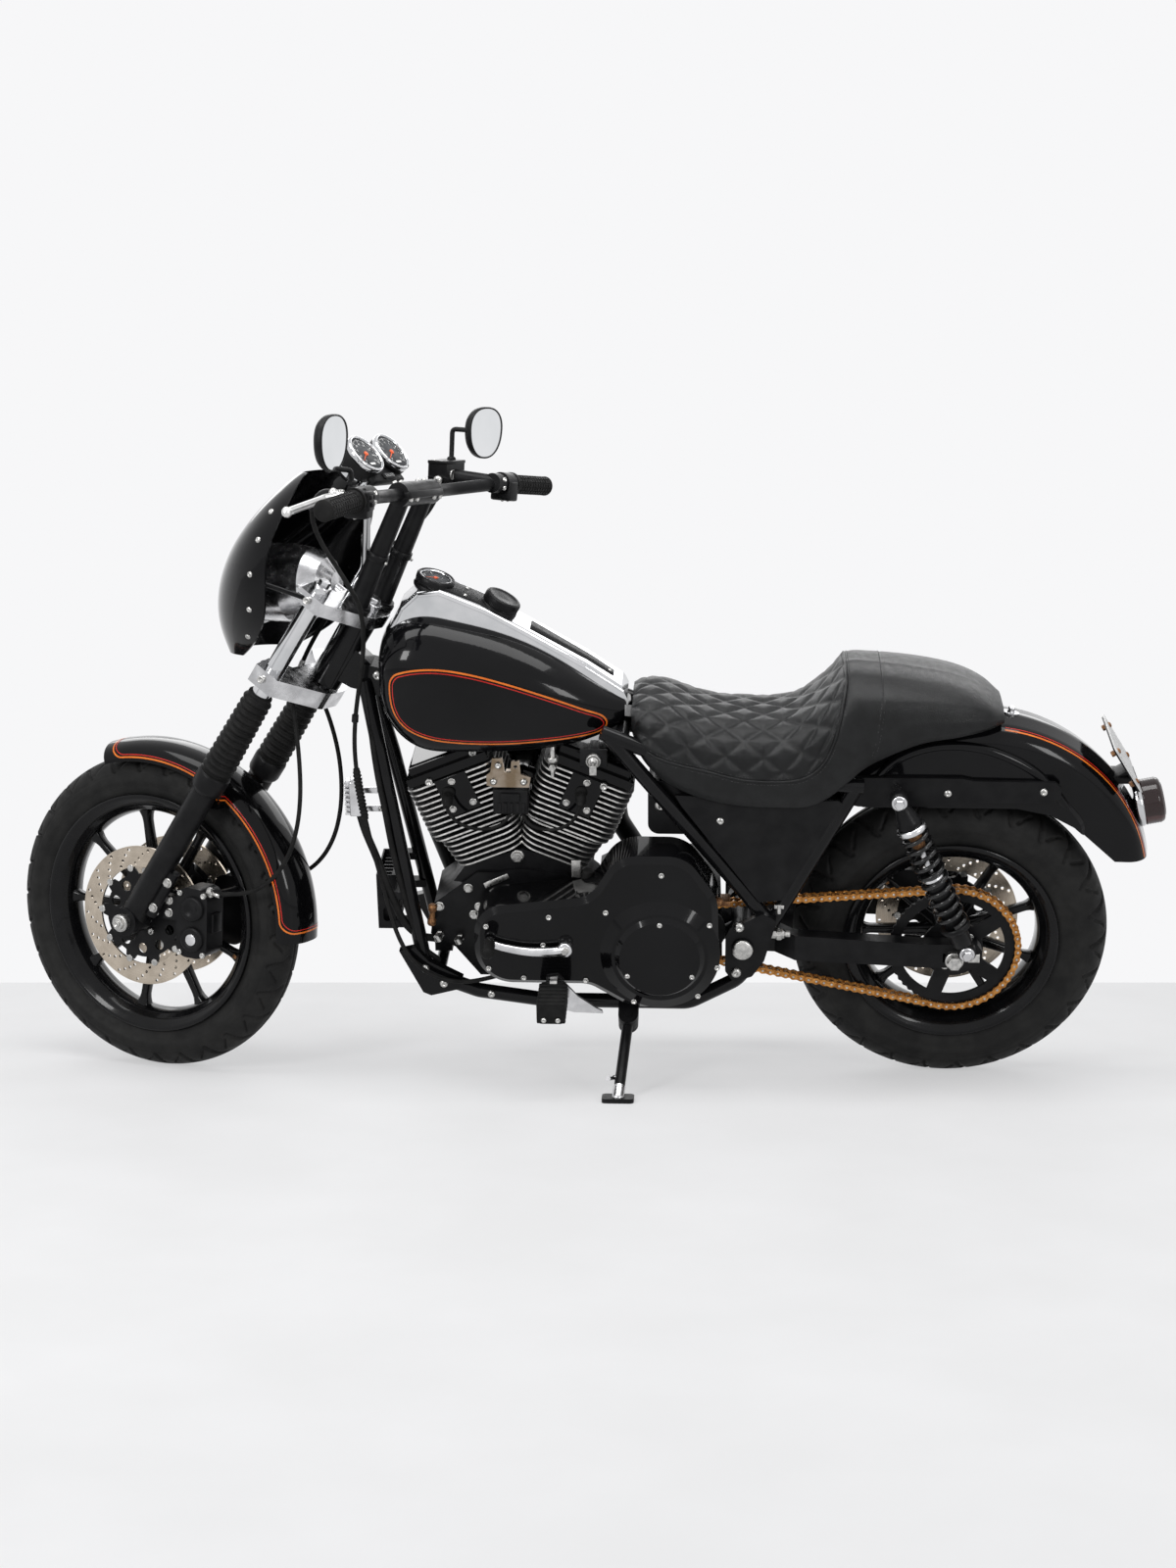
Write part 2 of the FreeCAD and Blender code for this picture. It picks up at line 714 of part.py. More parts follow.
def fairing():
    """Quarter fairing lofted over heights above the front axle, on two stays from the clamp."""
    wall = size("fairing_wall")
    sections = []
    for height, nose, half_width, rear in [(573, -183, 96, -253), (629, -161, 150, -323),
                                           (699, -163, 182, -355), (769, -191, 190, -359),
                                           (839, -241, 184, -377), (899, -299, 150, -389),
                                           (941, -349, 88, -383)]:
        sections.append(fairing_section(front_axle.z + height, front_axle.x + nose, half_width,
                                        front_axle.x + rear, wall))
    shell = lofted(sections)
    lamp_hole = cylinder_solid(headlamp_front - AXIS_X * 120, headlamp_front + AXIS_X * 200,
                               size("headlamp_radius") + 12)
    shapes = [shell.cut(lamp_hole)]
    for sign in (1, -1):
        clamp_side = on_fork_leg(top_clamp_base + 14, sign * (fork_side + 25))
        stay_end = front_axle + Vector(-331, sign * 178, 735)
        shapes.append(cylinder_solid(clamp_side + fork_forward * 6, stay_end, 5))
    return feature("fairing", largest(joined(shapes).cut(untouched(upper_clamp_item))), STEERING_POSE)


headlamp()
fairing()


# Handlebar group
bar_centre = front_axle + Vector(-575, 0, 912)


def bar_risers():
    """Two leaning risers on the upper clamp, joined by the bar clamp at their tops."""
    shapes = []
    for sign in (1, -1):
        foot = on_steer_axis(top_clamp_top + seat_gap) + AXIS_Y * (sign * size("riser_side")) \
            + fork_forward * 4
        top = bar_centre + AXIS_Y * (sign * size("riser_side"))
        shapes.append(cone_solid(foot, top, 21, 17))
        shapes.append(cylinder_solid(foot, foot + fork_up * 14, 25))
    clamp = cylinder_solid(bar_centre - AXIS_Y * 66, bar_centre + AXIS_Y * 66, size("bar_radius") + 11)
    shape = joined(shapes + [clamp])
    below = on_steer_axis(top_clamp_top + seat_gap)
    trim = Part.makeBox(400, 400, 100, below - Vector(200, 200, 100))
    trim.rotate(below, AXIS_Y, -size("rake_angle"))
    shape = shape.cut(trim)
    hole = cylinder_solid(bar_centre - AXIS_Y * 90, bar_centre + AXIS_Y * 90,
                          size("bar_radius") + size("running_clearance"))
    return feature("bar_risers", shape.cut(hole), STEERING_POSE)


bar_half = size("bar_half_length")
bar_points = [Vector(bar_centre.x - 62, -bar_half, bar_centre.z - 4),
              Vector(bar_centre.x - 44, -280, bar_centre.z + 8),
              Vector(bar_centre.x, -130, bar_centre.z),
              Vector(bar_centre.x, 130, bar_centre.z),
              Vector(bar_centre.x - 44, 280, bar_centre.z + 8),
              Vector(bar_centre.x - 62, bar_half, bar_centre.z - 4)]
grip_length = size("grip_length")
grip_direction = unit(bar_points[-1] - bar_points[-2])


def handlebar():
    tube = bent_tube(bar_points, size("bar_radius"), 120)
    bores = []
    for sign in (1, -1):
        direction = Vector(grip_direction.x, sign * grip_direction.y, grip_direction.z)
        end = bar_points[-1] if sign > 0 else bar_points[0]
        bores.append(cylinder_solid(end - direction * 60, end + direction * 5, 9))
    return feature("handlebar", tube.cut(bores), STEERING_POSE)


def bar_channel():
    """Space that the bar takes in whatever is clamped on it."""
    return bent_tube(bar_points, size("bar_radius") + size("running_clearance"), 120)


def grips():
    shapes = []
    inner = size("bar_radius") + size("running_clearance")
    for sign in (1, -1):
        direction = Vector(grip_direction.x, sign * grip_direction.y, grip_direction.z)
        end = bar_points[-1] if sign > 0 else bar_points[0]
        start = end - direction * grip_length
        sleeve = cylinder_solid(start, end, size("grip_radius"))
        flange = cylinder_solid(start, start + direction * 6, size("grip_radius") + 6)
        sleeve = sleeve.fuse(flange)
        shapes.append(sleeve.cut(cylinder_solid(start - direction * 10, end + direction * 10, inner)))
    return feature("grips", Part.makeCompound(shapes), STEERING_POSE)


reservoir_centre = bar_centre + Vector(57, -232, 25)
reservoir_half = Vector(21, 38, 23)


def bar_frame(sign):
    """Direction along one grip, outwards, and the bar's end there."""
    direction = Vector(grip_direction.x, sign * grip_direction.y, grip_direction.z)
    return direction, bar_points[-1] if sign > 0 else bar_points[0]


def perch_centre(sign):
    direction, end = bar_frame(sign)
    return end - direction * (grip_length + 50)


def hand_controls():
    """Switch housings, lever perches, levers and the brake fluid reservoir."""
    shapes = []
    for sign in (1, -1):
        direction, end = bar_frame(sign)
        switch_outer = end - direction * (grip_length + 1)
        switch_inner = switch_outer - direction * 34
        perch_inner = switch_inner - direction * 30
        housing = cylinder_solid(switch_inner, switch_outer, 23)
        perch = cylinder_solid(perch_inner, switch_inner, 20)
        middle = perch_centre(sign)
        pivot = middle + Vector(48, sign * 8, -4)
        arm = cone_solid(middle + Vector(6, 0, 0), pivot, 14, 11)
        knee = pivot + Vector(18, sign * 30, -2)
        tip = Vector(end.x + 76, sign * (bar_half - 2), end.z - 8)
        lever = bent_tube([pivot - AXIS_X * 4, knee, tip], 6, 18)
        ball = Part.makeSphere(9, tip)
        group = [housing, perch, arm, lever, ball]
        if sign < 0:
            low = reservoir_centre - reservoir_half
            high = reservoir_centre + reservoir_half
            group.append(box_solid(tuple(low), tuple(high)))
            group.append(cylinder_solid(middle, reservoir_centre - AXIS_Z * 6, 16))
        else:
            group.append(cylinder_solid(middle, middle + Vector(36, -6, 14), 10))
        shapes.append(joined(group).cut(bar_channel()))
    return feature("hand_controls", Part.makeCompound(shapes), STEERING_POSE)


def mirror_foot(sign):
    """Where a mirror stem stands: the left perch or the reservoir's lid."""
    if sign > 0:
        return perch_centre(1) + Vector(34, -6, 20)
    return reservoir_centre + Vector(0, -20, reservoir_half.z + seat_gap)


def mirrors():
    """Rounded mirror housings on bent stems from the left perch and the reservoir."""
    shapes = []
    half_w, half_h = size("mirror_width") / 2, size("mirror_height") / 2
    depth = 18
    for sign in (1, -1):
        centre = bar_centre + Vector(6, sign * 300, 115)
        shell = box_solid((centre.x, centre.y - half_w, centre.z - half_h),
                          (centre.x + depth, centre.y + half_w, centre.z + half_h))
        shell = shell.makeFillet(30, [edge for edge in shell.Edges
                                      if abs(edge.tangentAt(edge.FirstParameter).x) > 0.9])
        shell = shell.makeFillet(8, [edge for edge in shell.Edges
                                     if edge.BoundBox.XMin > centre.x + depth - 0.1])
        foot = mirror_foot(sign)
        top = centre + Vector(10, 0, 6 - half_h)
        if sign > 0:
            path = [foot, foot + Vector(2, 2, 34), top]
        else:
            path = [foot, foot + Vector(0, 0, 17), Vector(top.x, top.y, foot.z + 17), top]
        stem = bent_tube(path, 5, 9)
        shapes.append(joined([shell, stem]).cut(untouched(controls_item)))
    return feature("mirrors", Part.makeCompound(shapes), STEERING_POSE)


def gauges():
    """Two round gauges side by side on a bracket in front of the risers."""
    radius = size("gauge_radius")
    face_normal = unit(Vector(-0.72, 0, 0.69))
    shapes = []
    for sign in (1, -1):
        centre = bar_centre + Vector(83, sign * (radius + 7), 71)
        back = centre - face_normal * 46
        shapes.append(cylinder_solid(back, centre, radius - 3))
        shapes.append(cylinder_solid(centre - face_normal * 12, centre, radius))
    low = bar_centre + Vector(82, 0, 69) - face_normal * 34
    bridge = Part.makeBox(60, 2 * radius, 10, Vector(-30, -radius, 0))
    bridge.Placement = Placement(low, Rotation(AXIS_Z, face_normal))
    stay_top = low - face_normal * 2
    stay_foot = on_steer_axis(top_clamp_top + seat_gap) + fork_forward * (size("fork_offset") - 12)
    stay = bent_tube([stay_foot, stay_foot + fork_up * 60, stay_top], 9, 40)
    return feature("gauges", joined(shapes + [bridge, stay]), STEERING_POSE)


bar_risers()
handlebar()
grips()
controls_item = hand_controls()
mirrors()
gauges()

# Frame
tube_radius = size("frame_tube_radius")
tube_side = size("frame_tube_side")
Y_NODE = (366, 388)
crank_x = size("crank_x")
head = on_steer_axis(head_tube_top)
backbone_half = 30
backbone_top = [(640, 796), (crank_x - 110, 812), (crank_x + 90, 850), (head.x, head.z - 80)]


def steering_head():
    """Head tube, backbone and gussets."""
    tube = cylinder_solid(on_steer_axis(head_tube_base), on_steer_axis(head_tube_top),
                          size("head_tube_radius"))
    gusset_outline = [head + Vector(x, 0, z) for x, z in [(42, -55), (66, -109), (26, -133), (-50, -153),
                                                          (-50, -117), (10, -55)]]
    gusset = xz_plate([(point.x, point.z) for point in gusset_outline], 24, 48)
    front_low = (head.x, head.z - 141)
    under = [front_low, (crank_x + 130, 802), (crank_x - 170, 764), (640, 764)]
    backbone = xz_plate(under + backbone_top, backbone_half, 2 * backbone_half)
    seat_cross = cylinder_solid(Vector(664, -tube_side, 780), Vector(664, tube_side, 780), 14)
    shape = joined([tube, gusset, backbone, seat_cross])
    bore = cylinder_solid(on_steer_axis(head_tube_base - 10), on_steer_axis(head_tube_top + 10),
                          size("stem_radius") + size("running_clearance"))
    return feature("steering_head_and_backbone", shape.cut(bore), FRAME_POSE)


head_and_backbone = steering_head()


def cradle_tubes():
    """Downtubes that bend into the lower rails and rise to the swingarm pivot plates."""
    left = bent_tube([head + Vector(-4, 26, -117), head + Vector(-40, 68, -305),
                      Vector(crank_x + 196, tube_side - 8, 262),
                      Vector(crank_x + 90, tube_side, 226), Vector(crank_x - 50, tube_side, 206),
                      Vector(530, tube_side, 206), Vector(430, tube_side, 262),
                      Vector(Y_NODE[0], tube_side, Y_NODE[1])], tube_radius, 60)
    return feature("cradle_tubes", mirrored_pair(left.cut(untouched(head_and_backbone))), FRAME_POSE)


def rear_frame_tubes():
    """Seat rails with the two side tubes of each triangle."""
    rail = bent_tube([Vector(704, tube_side, 800), Vector(560, tube_side, 740),
                      Vector(400, tube_side, 706), Vector(192, tube_side, 690)], tube_radius, 80)
    front = cylinder_solid(Vector(690, tube_side, 792), Vector(Y_NODE[0], tube_side, Y_NODE[1]), tube_radius)
    rear = cylinder_solid(Vector(205, tube_side, 690), Vector(Y_NODE[0], tube_side, Y_NODE[1]), tube_radius)
    left = joined([rail, front, rear])
    left = left.cut([untouched(head_and_backbone), untouched(cradle)])
    return feature("rear_frame_tubes", mirrored_pair(left), FRAME_POSE)


cradle = cradle_tubes()
rear_tubes = rear_frame_tubes()


FRONT_CROSS = (crank_x + 170, 262)
REAR_CROSS = (540, 206)
cross_radius = 12


def cross_members():
    """Cross tubes between the lower rails, below the engine and the gearbox."""
    shapes = []
    for x, z in [FRONT_CROSS, REAR_CROSS]:
        bar = cylinder_solid(Vector(x, -tube_side, z), Vector(x, tube_side, z), cross_radius)
        shapes.append(bar.cut(untouched(cradle)))
    return feature("lower_cross_members", Part.makeCompound(shapes), FRAME_POSE)


def front_mount_plates():
    """Gusset plates at the feet of the downtubes."""
    outline = [(crank_x + x, z) for x, z in [(248, 322), (214, 330), (190, 300), (120, 262), (130, 236),
                                             (186, 221), (202, 228)]]
    outer = tube_side + tube_radius + 2
    left = largest(xz_plate(outline, outer, 18).cut([untouched(cradle), untouched(cross_item)]))
    return feature("front_mount_plates", mirrored_pair(left), FRAME_POSE)


def pivot_plates():
    """Plates that carry the swingarm pivot, outboard of the arm, with the pivot bolt's cap."""
    pivot_x, pivot_z = size("swingarm_pivot_x"), size("swingarm_pivot_z")
    offsets = [(-68, 62), (-40, 78), (-8, 60), (24, 46), (34, 26), (34, -52), (18, -76), (-20, -64),
               (-44, -28)]
    outline = [(pivot_x + x, pivot_z + z) for x, z in offsets]
    outer = swingarm_side + swingarm_half + 16
    left = xz_plate(outline, outer, 14 - seat_gap)
    left = left.makeFillet(10, [edge for edge in left.Edges
                                if abs(edge.tangentAt(edge.FirstParameter).y) > 0.9])
    left = left.cut([untouched(cradle), untouched(rear_tubes)])
    cap_from = Vector(pivot_x, outer, pivot_z)
    cap = cylinder_solid(cap_from, cap_from + AXIS_Y * 8, 21)
    return feature("pivot_plates", mirrored_pair(largest(joined([left, cap]))), FRAME_POSE)


cross_item = cross_members()
front_mount_plates()


def swingarm():
    """Box-section arms on a pivot tube, with slotted axle ends."""
    height = size("swingarm_height")
    outer = swingarm_side + swingarm_half
    pivot_x, pivot_z = size("swingarm_pivot_x"), size("swingarm_pivot_z")
    axle_z = rear_axle.z + 6
    half_height = height / 2
    outline = [(pivot_x + 6, pivot_z + half_height), (60, axle_z + half_height - 4),
               (-46, axle_z + half_height - 4), (-56, axle_z + 10), (-56, axle_z - 16),
               (-46, axle_z - half_height), (60, axle_z - half_height), (pivot_x + 6, pivot_z - half_height)]
    inner = outer - 2 * swingarm_half
    step = 33
    arm = xz_plate(outline, outer, outer - inner + step)
    arm_end = cylinder_solid(Vector(pivot_x, inner - step, pivot_z), Vector(pivot_x, outer, pivot_z),
                             half_height)
    waist = Y_NODE[0] - 48
    plan = [(-80, inner), (-80, outer), (waist, outer), (waist + 40, outer - step),
            (pivot_x + 60, outer - step), (pivot_x + 60, inner - step), (waist + 40, inner - step),
            (waist + 4, inner)]
    floor = [Vector(x, y, pivot_z - 100) for x, y in plan]
    wall = Part.Face(Part.makePolygon(floor + [floor[0]])).extrude(Vector(0, 0, 200))
    arm = joined([arm, arm_end]).common(wall)
    slot = box_solid((-16, outer - 60, rear_axle.z - 10.05), (22, outer + 10, rear_axle.z + 10.05))
    arm = arm.cut(slot)
    cross = cylinder_solid(Vector(pivot_x, -outer + step, pivot_z),
                           Vector(pivot_x, outer - step, pivot_z), 22)
    shape = joined([arm, arm.mirror(Vector(), AXIS_Y), cross])
    return feature("swingarm", shape, FRAME_POSE)


arm_item = swingarm()


def shocks():
    """Coil-over shocks between the fender struts and the swingarm."""
    top = Vector(126, size("shock_side"), 684)
    foot = Vector(-20, size("shock_side"), 357)
    axis = unit(foot - top)
    length = (foot - top).Length
    spring = size("shock_spring_radius")
    profile = [(0, 14), (12, 14), (12, 52), (24, 54), (24, 66), (spring, 70)]
    turns = 9
    start, end = 74, length - 74
    pitch = (end - start) / turns
    for index in range(turns):
        profile.append((spring, start + index * pitch))
        profile.append((spring, start + (index + 0.45) * pitch))
        profile.append((spring - 7, start + (index + 0.55) * pitch))
        profile.append((spring - 7, start + (index + 0.9) * pitch))
    profile += [(spring, end), (spring, end + 8), (20, end + 10), (20, length - 14), (0, length - 14)]
    face = Part.Face(Part.makePolygon([Vector(r, 0, a) for r, a in profile + profile[:1]]))
    barrel = face.revolve(Vector(), AXIS_Z, 360)
    barrel.Placement = Placement(top, Rotation(AXIS_Z, axis))
    shapes = [barrel]
    for point, stud_from in ((top, strut_outer), (foot, swingarm_side + swingarm_half)):
        eye = cylinder_solid(point - AXIS_Y * 15, point + AXIS_Y * 15, 18)
        stud = cylinder_solid(Vector(point.x, stud_from + seat_gap, point.z), point + AXIS_Y * 24, 8)
        shapes += [eye, stud]
    return feature("rear_shocks", mirrored_pair(joined(shapes)), FRAME_POSE)


strut_outer = tube_side - tube_radius - seat_gap
strut_thickness = 10
fender_centre = rear_axle + Vector(-34.5, 0, 127)
fender_crown = size("fender_radius") + 1.2


def fender_struts():
    """Flat struts that carry the rear fender and the shocks' upper studs."""
    outline = [(236, 668), (226, 646), (200, 640), (0, 642), (-24, 650), (-182, 653), (-194, 663),
               (-194, 684), (-182, 695), (-24, 697), (0, 702), (206, 702), (228, 692)]
    left = xz_plate(outline, strut_outer, strut_thickness)
    return feature("fender_struts", mirrored_pair(left), FRAME_POSE)


def rear_fender():
    """Bobbed rear fender: round-shouldered shell about a centre above the axle, with raised side
    panels out to the struts and trimmed skirts."""
    outer = size("fender_radius")
    wall = size("fender_wall")
    half = size("fender_half_width")

    def arch(inset):
        side = half - inset
        top = outer - inset
        corners = [Vector(0, -side, outer - 190), Vector(0, -side, top - 12), Vector(0, 0, top + 2),
                   Vector(0, side, top - 12), Vector(0, side, outer - 190)]
        return rounded_path(corners, 60 - inset)

    outer_path, inner_path = arch(0), arch(wall)
    ends = []
    for index in (0, -1):
        ends.append(Part.LineSegment(outer_path.OrderedVertexes[index].Point,
                                     inner_path.OrderedVertexes[index].Point).toShape())
    section = Part.Wire(Part.__sortEdges__(outer_path.Edges + inner_path.Edges + ends))
    face = Part.Face(section)
    face.rotate(Vector(), AXIS_Y, 58)
    shell = face.revolve(Vector(), AXIS_Y, -138)
    shell.Placement = Placement(fender_centre, Rotation()) * shell.Placement
    panel_outer = strut_outer - strut_thickness - seat_gap
    panel_path = [(200, 620), (174, 690), (130, 740), (70, 766), (0, 771), (-72, 755), (-146, 715),
                  (-205, 652), (-248, 585), (-240, 560)]
    curve = Part.BSplineCurve()
    curve.interpolate([Vector(x, panel_outer, z) for x, z in panel_path])
    closing = Part.LineSegment(curve.EndPoint, curve.StartPoint).toShape()
    panel = Part.Face(Part.Wire([curve.toShape(), closing])).extrude(AXIS_Y * (half - wall - panel_outer))
    panel = panel.makeChamfer(7, [edge for edge in panel.Edges if edge.BoundBox.YMin > panel_outer - 0.5
                                  and edge.Length > 500])
    panels = [panel, panel.mirror(Vector(), AXIS_Y)]
    below = xz_plate([(-480, 512), (-312, 516), (-268, 556), (-226, 594), (-178, 620), (-112, 634),
                      (230, 634), (300, 560), (420, 560), (420, 200), (-480, 200)], 200, 400)
    return feature("rear_fender", largest(joined([shell] + panels).cut(below)), FRAME_POSE)


rear_fender()
fender_struts()
shocks()
pivot_plates()


def fender_point(angle, lift):
    """Point over the rear fender's crown, by its angle from straight ahead."""
    reach = size("fender_radius") + lift
    turn = math.radians(angle)
    return fender_centre + Vector(reach * math.cos(turn), 0, reach * math.sin(turn))


def tail_lamp():
    """Squat round tail lamp on the fender's rear."""
    base = fender_point(153.4, -3)
    out = unit(Vector(-0.94, 0, 0.2))
    profile = [(0, 0), (44, 0), (44, 20), (47, 22), (47, 50), (42, 60), (0, 62)]
    face = Part.Face(Part.makePolygon([Vector(r, 0, a) for r, a in profile + profile[:1]]))
    lamp = face.revolve(Vector(), AXIS_Z, 360)
    lamp.Placement = Placement(base, Rotation(AXIS_Z, out))
    return feature("tail_lamp", largest(lamp.cut(fender_hull_cut())), FRAME_POSE)


def fender_hull_cut():
    return Part.makeCylinder(fender_crown + seat_gap, 400, fender_centre - AXIS_Y * 200, AXIS_Y)


plate_foot = fender_point(145.2, 29)
plate_tilt = Rotation(AXIS_Y, 32)


def plate_bracket():
    """Blank plate and its bracket, above the tail lamp."""
    plate = Part.makeBox(4, 184, 112, Vector(-2, -92, 0))
    plate = plate.makeFillet(10, [edge for edge in plate.Edges
                                  if abs(edge.tangentAt(edge.FirstParameter).x) > 0.9])
    plate.Placement = Placement(plate_foot, plate_tilt)
    stay = box_solid((plate_foot.x, -30, plate_foot.z - 4), (plate_foot.x + 72, 30, plate_foot.z + 8))
    shape = joined([plate, stay]).cut(fender_hull_cut())
    return feature("plate_bracket", largest(shape), FRAME_POSE)


tail_lamp()
plate_bracket()

# Engine
crank = Vector(crank_x, 0, size("crank_z"))
primary_inner = size("primary_side") - size("primary_thickness")
case_side = 70
head_seat = 366
pushrod_side = -92


def cylinder_turn(sign):
    return Placement(crank, Rotation(AXIS_Y, sign * size("cylinder_angle")))


def crankcase():
    """Crankcase: round flywheel chamber, sump, cam chest and four pushrod tubes on the right. It sits
    on the front cross member and meets the primary cover on the left."""
    chamber = Part.makeCylinder(128, case_side + 80, crank - AXIS_Y * 80, AXIS_Y)
    flange_width = primary_inner - seat_gap - case_side
    flange = Part.makeCylinder(80, flange_width, crank + Vector(0, case_side, 14), AXIS_Y)
    lower = xz_plate([(crank_x + x, z) for x, z in [(140, 300), (190, 330), (180, 400), (90, 470), (-90, 470),
                                                    (-150, 420), (-154, 262), (-110, 236), (90, 236)]],
                     case_side, 150)
    roof = xz_plate([(crank_x + x, z) for x, z in [(90, 440), (140, 446), (115, 482), (0, 520), (-118, 482),
                                                   (-140, 446)]], 62, 124)
    foot_low = FRONT_CROSS[1] + cross_radius + seat_gap
    foot = box_solid((FRONT_CROSS[0] - 20, -40, foot_low), (FRONT_CROSS[0] + 16, 40, 340))
    cam = Part.makeCylinder(92, 38, crank + Vector(26, -118, 10), AXIS_Y)
    cone = Part.makeCone(62, 84, 24, crank + Vector(46, -142, -20), AXIS_Y)
    shapes = [chamber, flange, lower, roof, foot, cam, cone]
    for sign in (1, -1):
        block = Part.makeBox(64, 28, 66, Vector(-32, pushrod_side - 12, 66))
        tubes = []
        for across in (-18, 18):
            low = Vector(across, pushrod_side, 110)
            tubes.append(cylinder_solid(low, Vector(across, pushrod_side, head_seat), 8))
        group = block.fuse(tubes)
        group.Placement = cylinder_turn(sign)
        shapes.append(group)
    return feature("crankcase", joined(shapes), FRAME_POSE)


case_item = crankcase()


def finned_cylinder(sign):
    """Round finned barrel under a square finned head, with a plain pad round the spark plug."""
    pitch, thin = size("fin_pitch"), size("fin_thickness")
    barrel, wide = size("barrel_radius"), size("head_half_width")
    base, joint, top = 150, 232, head_seat
    shapes = [Part.makeCylinder(barrel - 16, top - base, Vector(0, 0, base), AXIS_Z)]
    level = base + 4
    while level < top - thin:
        if level < joint:
            swell = barrel * 1.02 + (level - base) * 0.2
            fin = Part.makeBox(2 * swell, 2 * barrel, thin, Vector(-swell, -barrel, level))
            upright = [edge for edge in fin.Edges if abs(edge.tangentAt(edge.FirstParameter).z) > 0.9]
            shapes.append(fin.makeFillet(barrel * 0.55, upright))
        else:
            reach = min(wide, barrel * 1.25 + (level - joint) * 0.5)
            fin = Part.makeBox(2 * reach, 2 * barrel + 20, thin, Vector(-reach, -barrel - 10, level))
            upright = [edge for edge in fin.Edges if abs(edge.tangentAt(edge.FirstParameter).z) > 0.9]
            shapes.append(fin.makeFillet(28, upright))
        level += pitch
    plug_pad = Part.makeBox(56, 2 * barrel + 20, 74, Vector(-28, -barrel - 10, joint + 52))
    shape = joined(shapes + [plug_pad])
    shape.Placement = cylinder_turn(sign)
    return largest(shape.cut(untouched(case_item)))


def cylinders():
    pair = [finned_cylinder(1), finned_cylinder(-1)]
    return feature("cylinders", Part.makeCompound(pair), FRAME_POSE)


def rocker_boxes():
    """Rocker boxes on the heads, each with a ledge over its pushrod tubes."""
    shapes = []
    for sign in (1, -1):
        low = Part.makeBox(172, 150, 18, Vector(-86, -75, head_seat + seat_gap))
        ledge = Part.makeBox(70, 40, 18, Vector(-35, pushrod_side - 12, head_seat + seat_gap))
        lid = Part.makeBox(150, 132, 22, Vector(-75, -66, head_seat + 18))
        lid = lid.makeFillet(8, [edge for edge in lid.Edges if edge.BoundBox.ZMin > head_seat + 34])
        shape = joined([low, ledge, lid])
        shape.Placement = cylinder_turn(sign)
        shapes.append(shape)
    return feature("rocker_boxes", Part.makeCompound(shapes), FRAME_POSE)


cylinder_item = cylinders()
rocker_boxes()


def rounded_edges(points, bends):
    """Closed outline whose corners are arcs of the given radii."""
    edges = []
    count = len(points)
    marks = []
    for index in range(count):
        corner = Vector(points[index][0], points[index][1], 0)
        before = Vector(*points[index - 1], 0)
        after = Vector(*points[(index + 1) % count], 0)
        towards, away = unit(corner - before), unit(after - corner)
        half_turn = towards.getAngle(away) / 2
        cut = bends[index] * math.tan(half_turn)
        middle = corner + (away - towards).normalize() * (bends[index] / math.cos(half_turn) - bends[index])
        marks.append((corner - towards * cut, middle, corner + away * cut))
    for index in range(count):
        arc_start, middle, arc_end = marks[index]
        edges.append(Part.Arc(arc_start, middle, arc_end))
        edges.append(Part.LineSegment(arc_end, marks[(index + 1) % count][0]))
    return edges


def primary_cover():
    """Primary drive cover: a nose round the crank, a clutch drum and its inspection cover."""
    body = new_body("primary_cover")
    nose_x = crank_x + 88
    outline = [(nose_x, 448), (726, 476), (672, 566), (538, 566), (474, 476), (468, 240), (644, 230),
               (730, 282), (nose_x, 282)]
    bends = [62, 60, 70, 70, 90, 110, 90, 60, 76]
    cover_sketch = sketch_on(body, "primary_outline", "XZ_Plane", rounded_edges(outline, bends),
                             "-sizes.primary_side")
    cover_pad = pad(body, "primary_case", cover_sketch, "sizes.primary_thickness")
    doc.recompute()
    if cover_pad.Shape.BoundBox.YMax > size("primary_side") + 1:
        cover_pad.Reversed = True
        doc.recompute()
    raised = body.newObject("PartDesign::Chamfer", "primary_edge")
    rim = ["Edge%d" % (i + 1) for i, edge in enumerate(cover_pad.Shape.Edges)
           if edge.BoundBox.YMin > size("primary_side") - 1]
    raised.Base = (cover_pad, rim)
    raised.Size = 12
    towards_left = Rotation(AXIS_X, -90)
    clutch_x, clutch_z = 588, 356
    drum = body.newObject("PartDesign::AdditiveCone", "clutch_drum")
    drum.Placement = Placement(Vector(clutch_x, size("primary_side") - 1, clutch_z), towards_left)
    drum.setExpression("Radius1", "sizes.drum_radius")
    drum.setExpression("Radius2", "sizes.derby_radius + 6")
    drum.setExpression("Height", "sizes.drum_height + 1")
    derby = body.newObject("PartDesign::AdditiveCone", "derby_cover")
    drum_face = size("primary_side") + size("drum_height")
    derby.Placement = Placement(Vector(clutch_x, drum_face - 1, clutch_z), towards_left)
    derby.setExpression("Radius1", "sizes.derby_radius")
    derby.setExpression("Radius2", "sizes.derby_radius - 10")
    derby.setExpression("Height", "sizes.derby_height + 1")
    body.Tip = derby
    doc.recompute()
    return keep(body, "primary_cover", FRAME_POSE)


primary_cover()


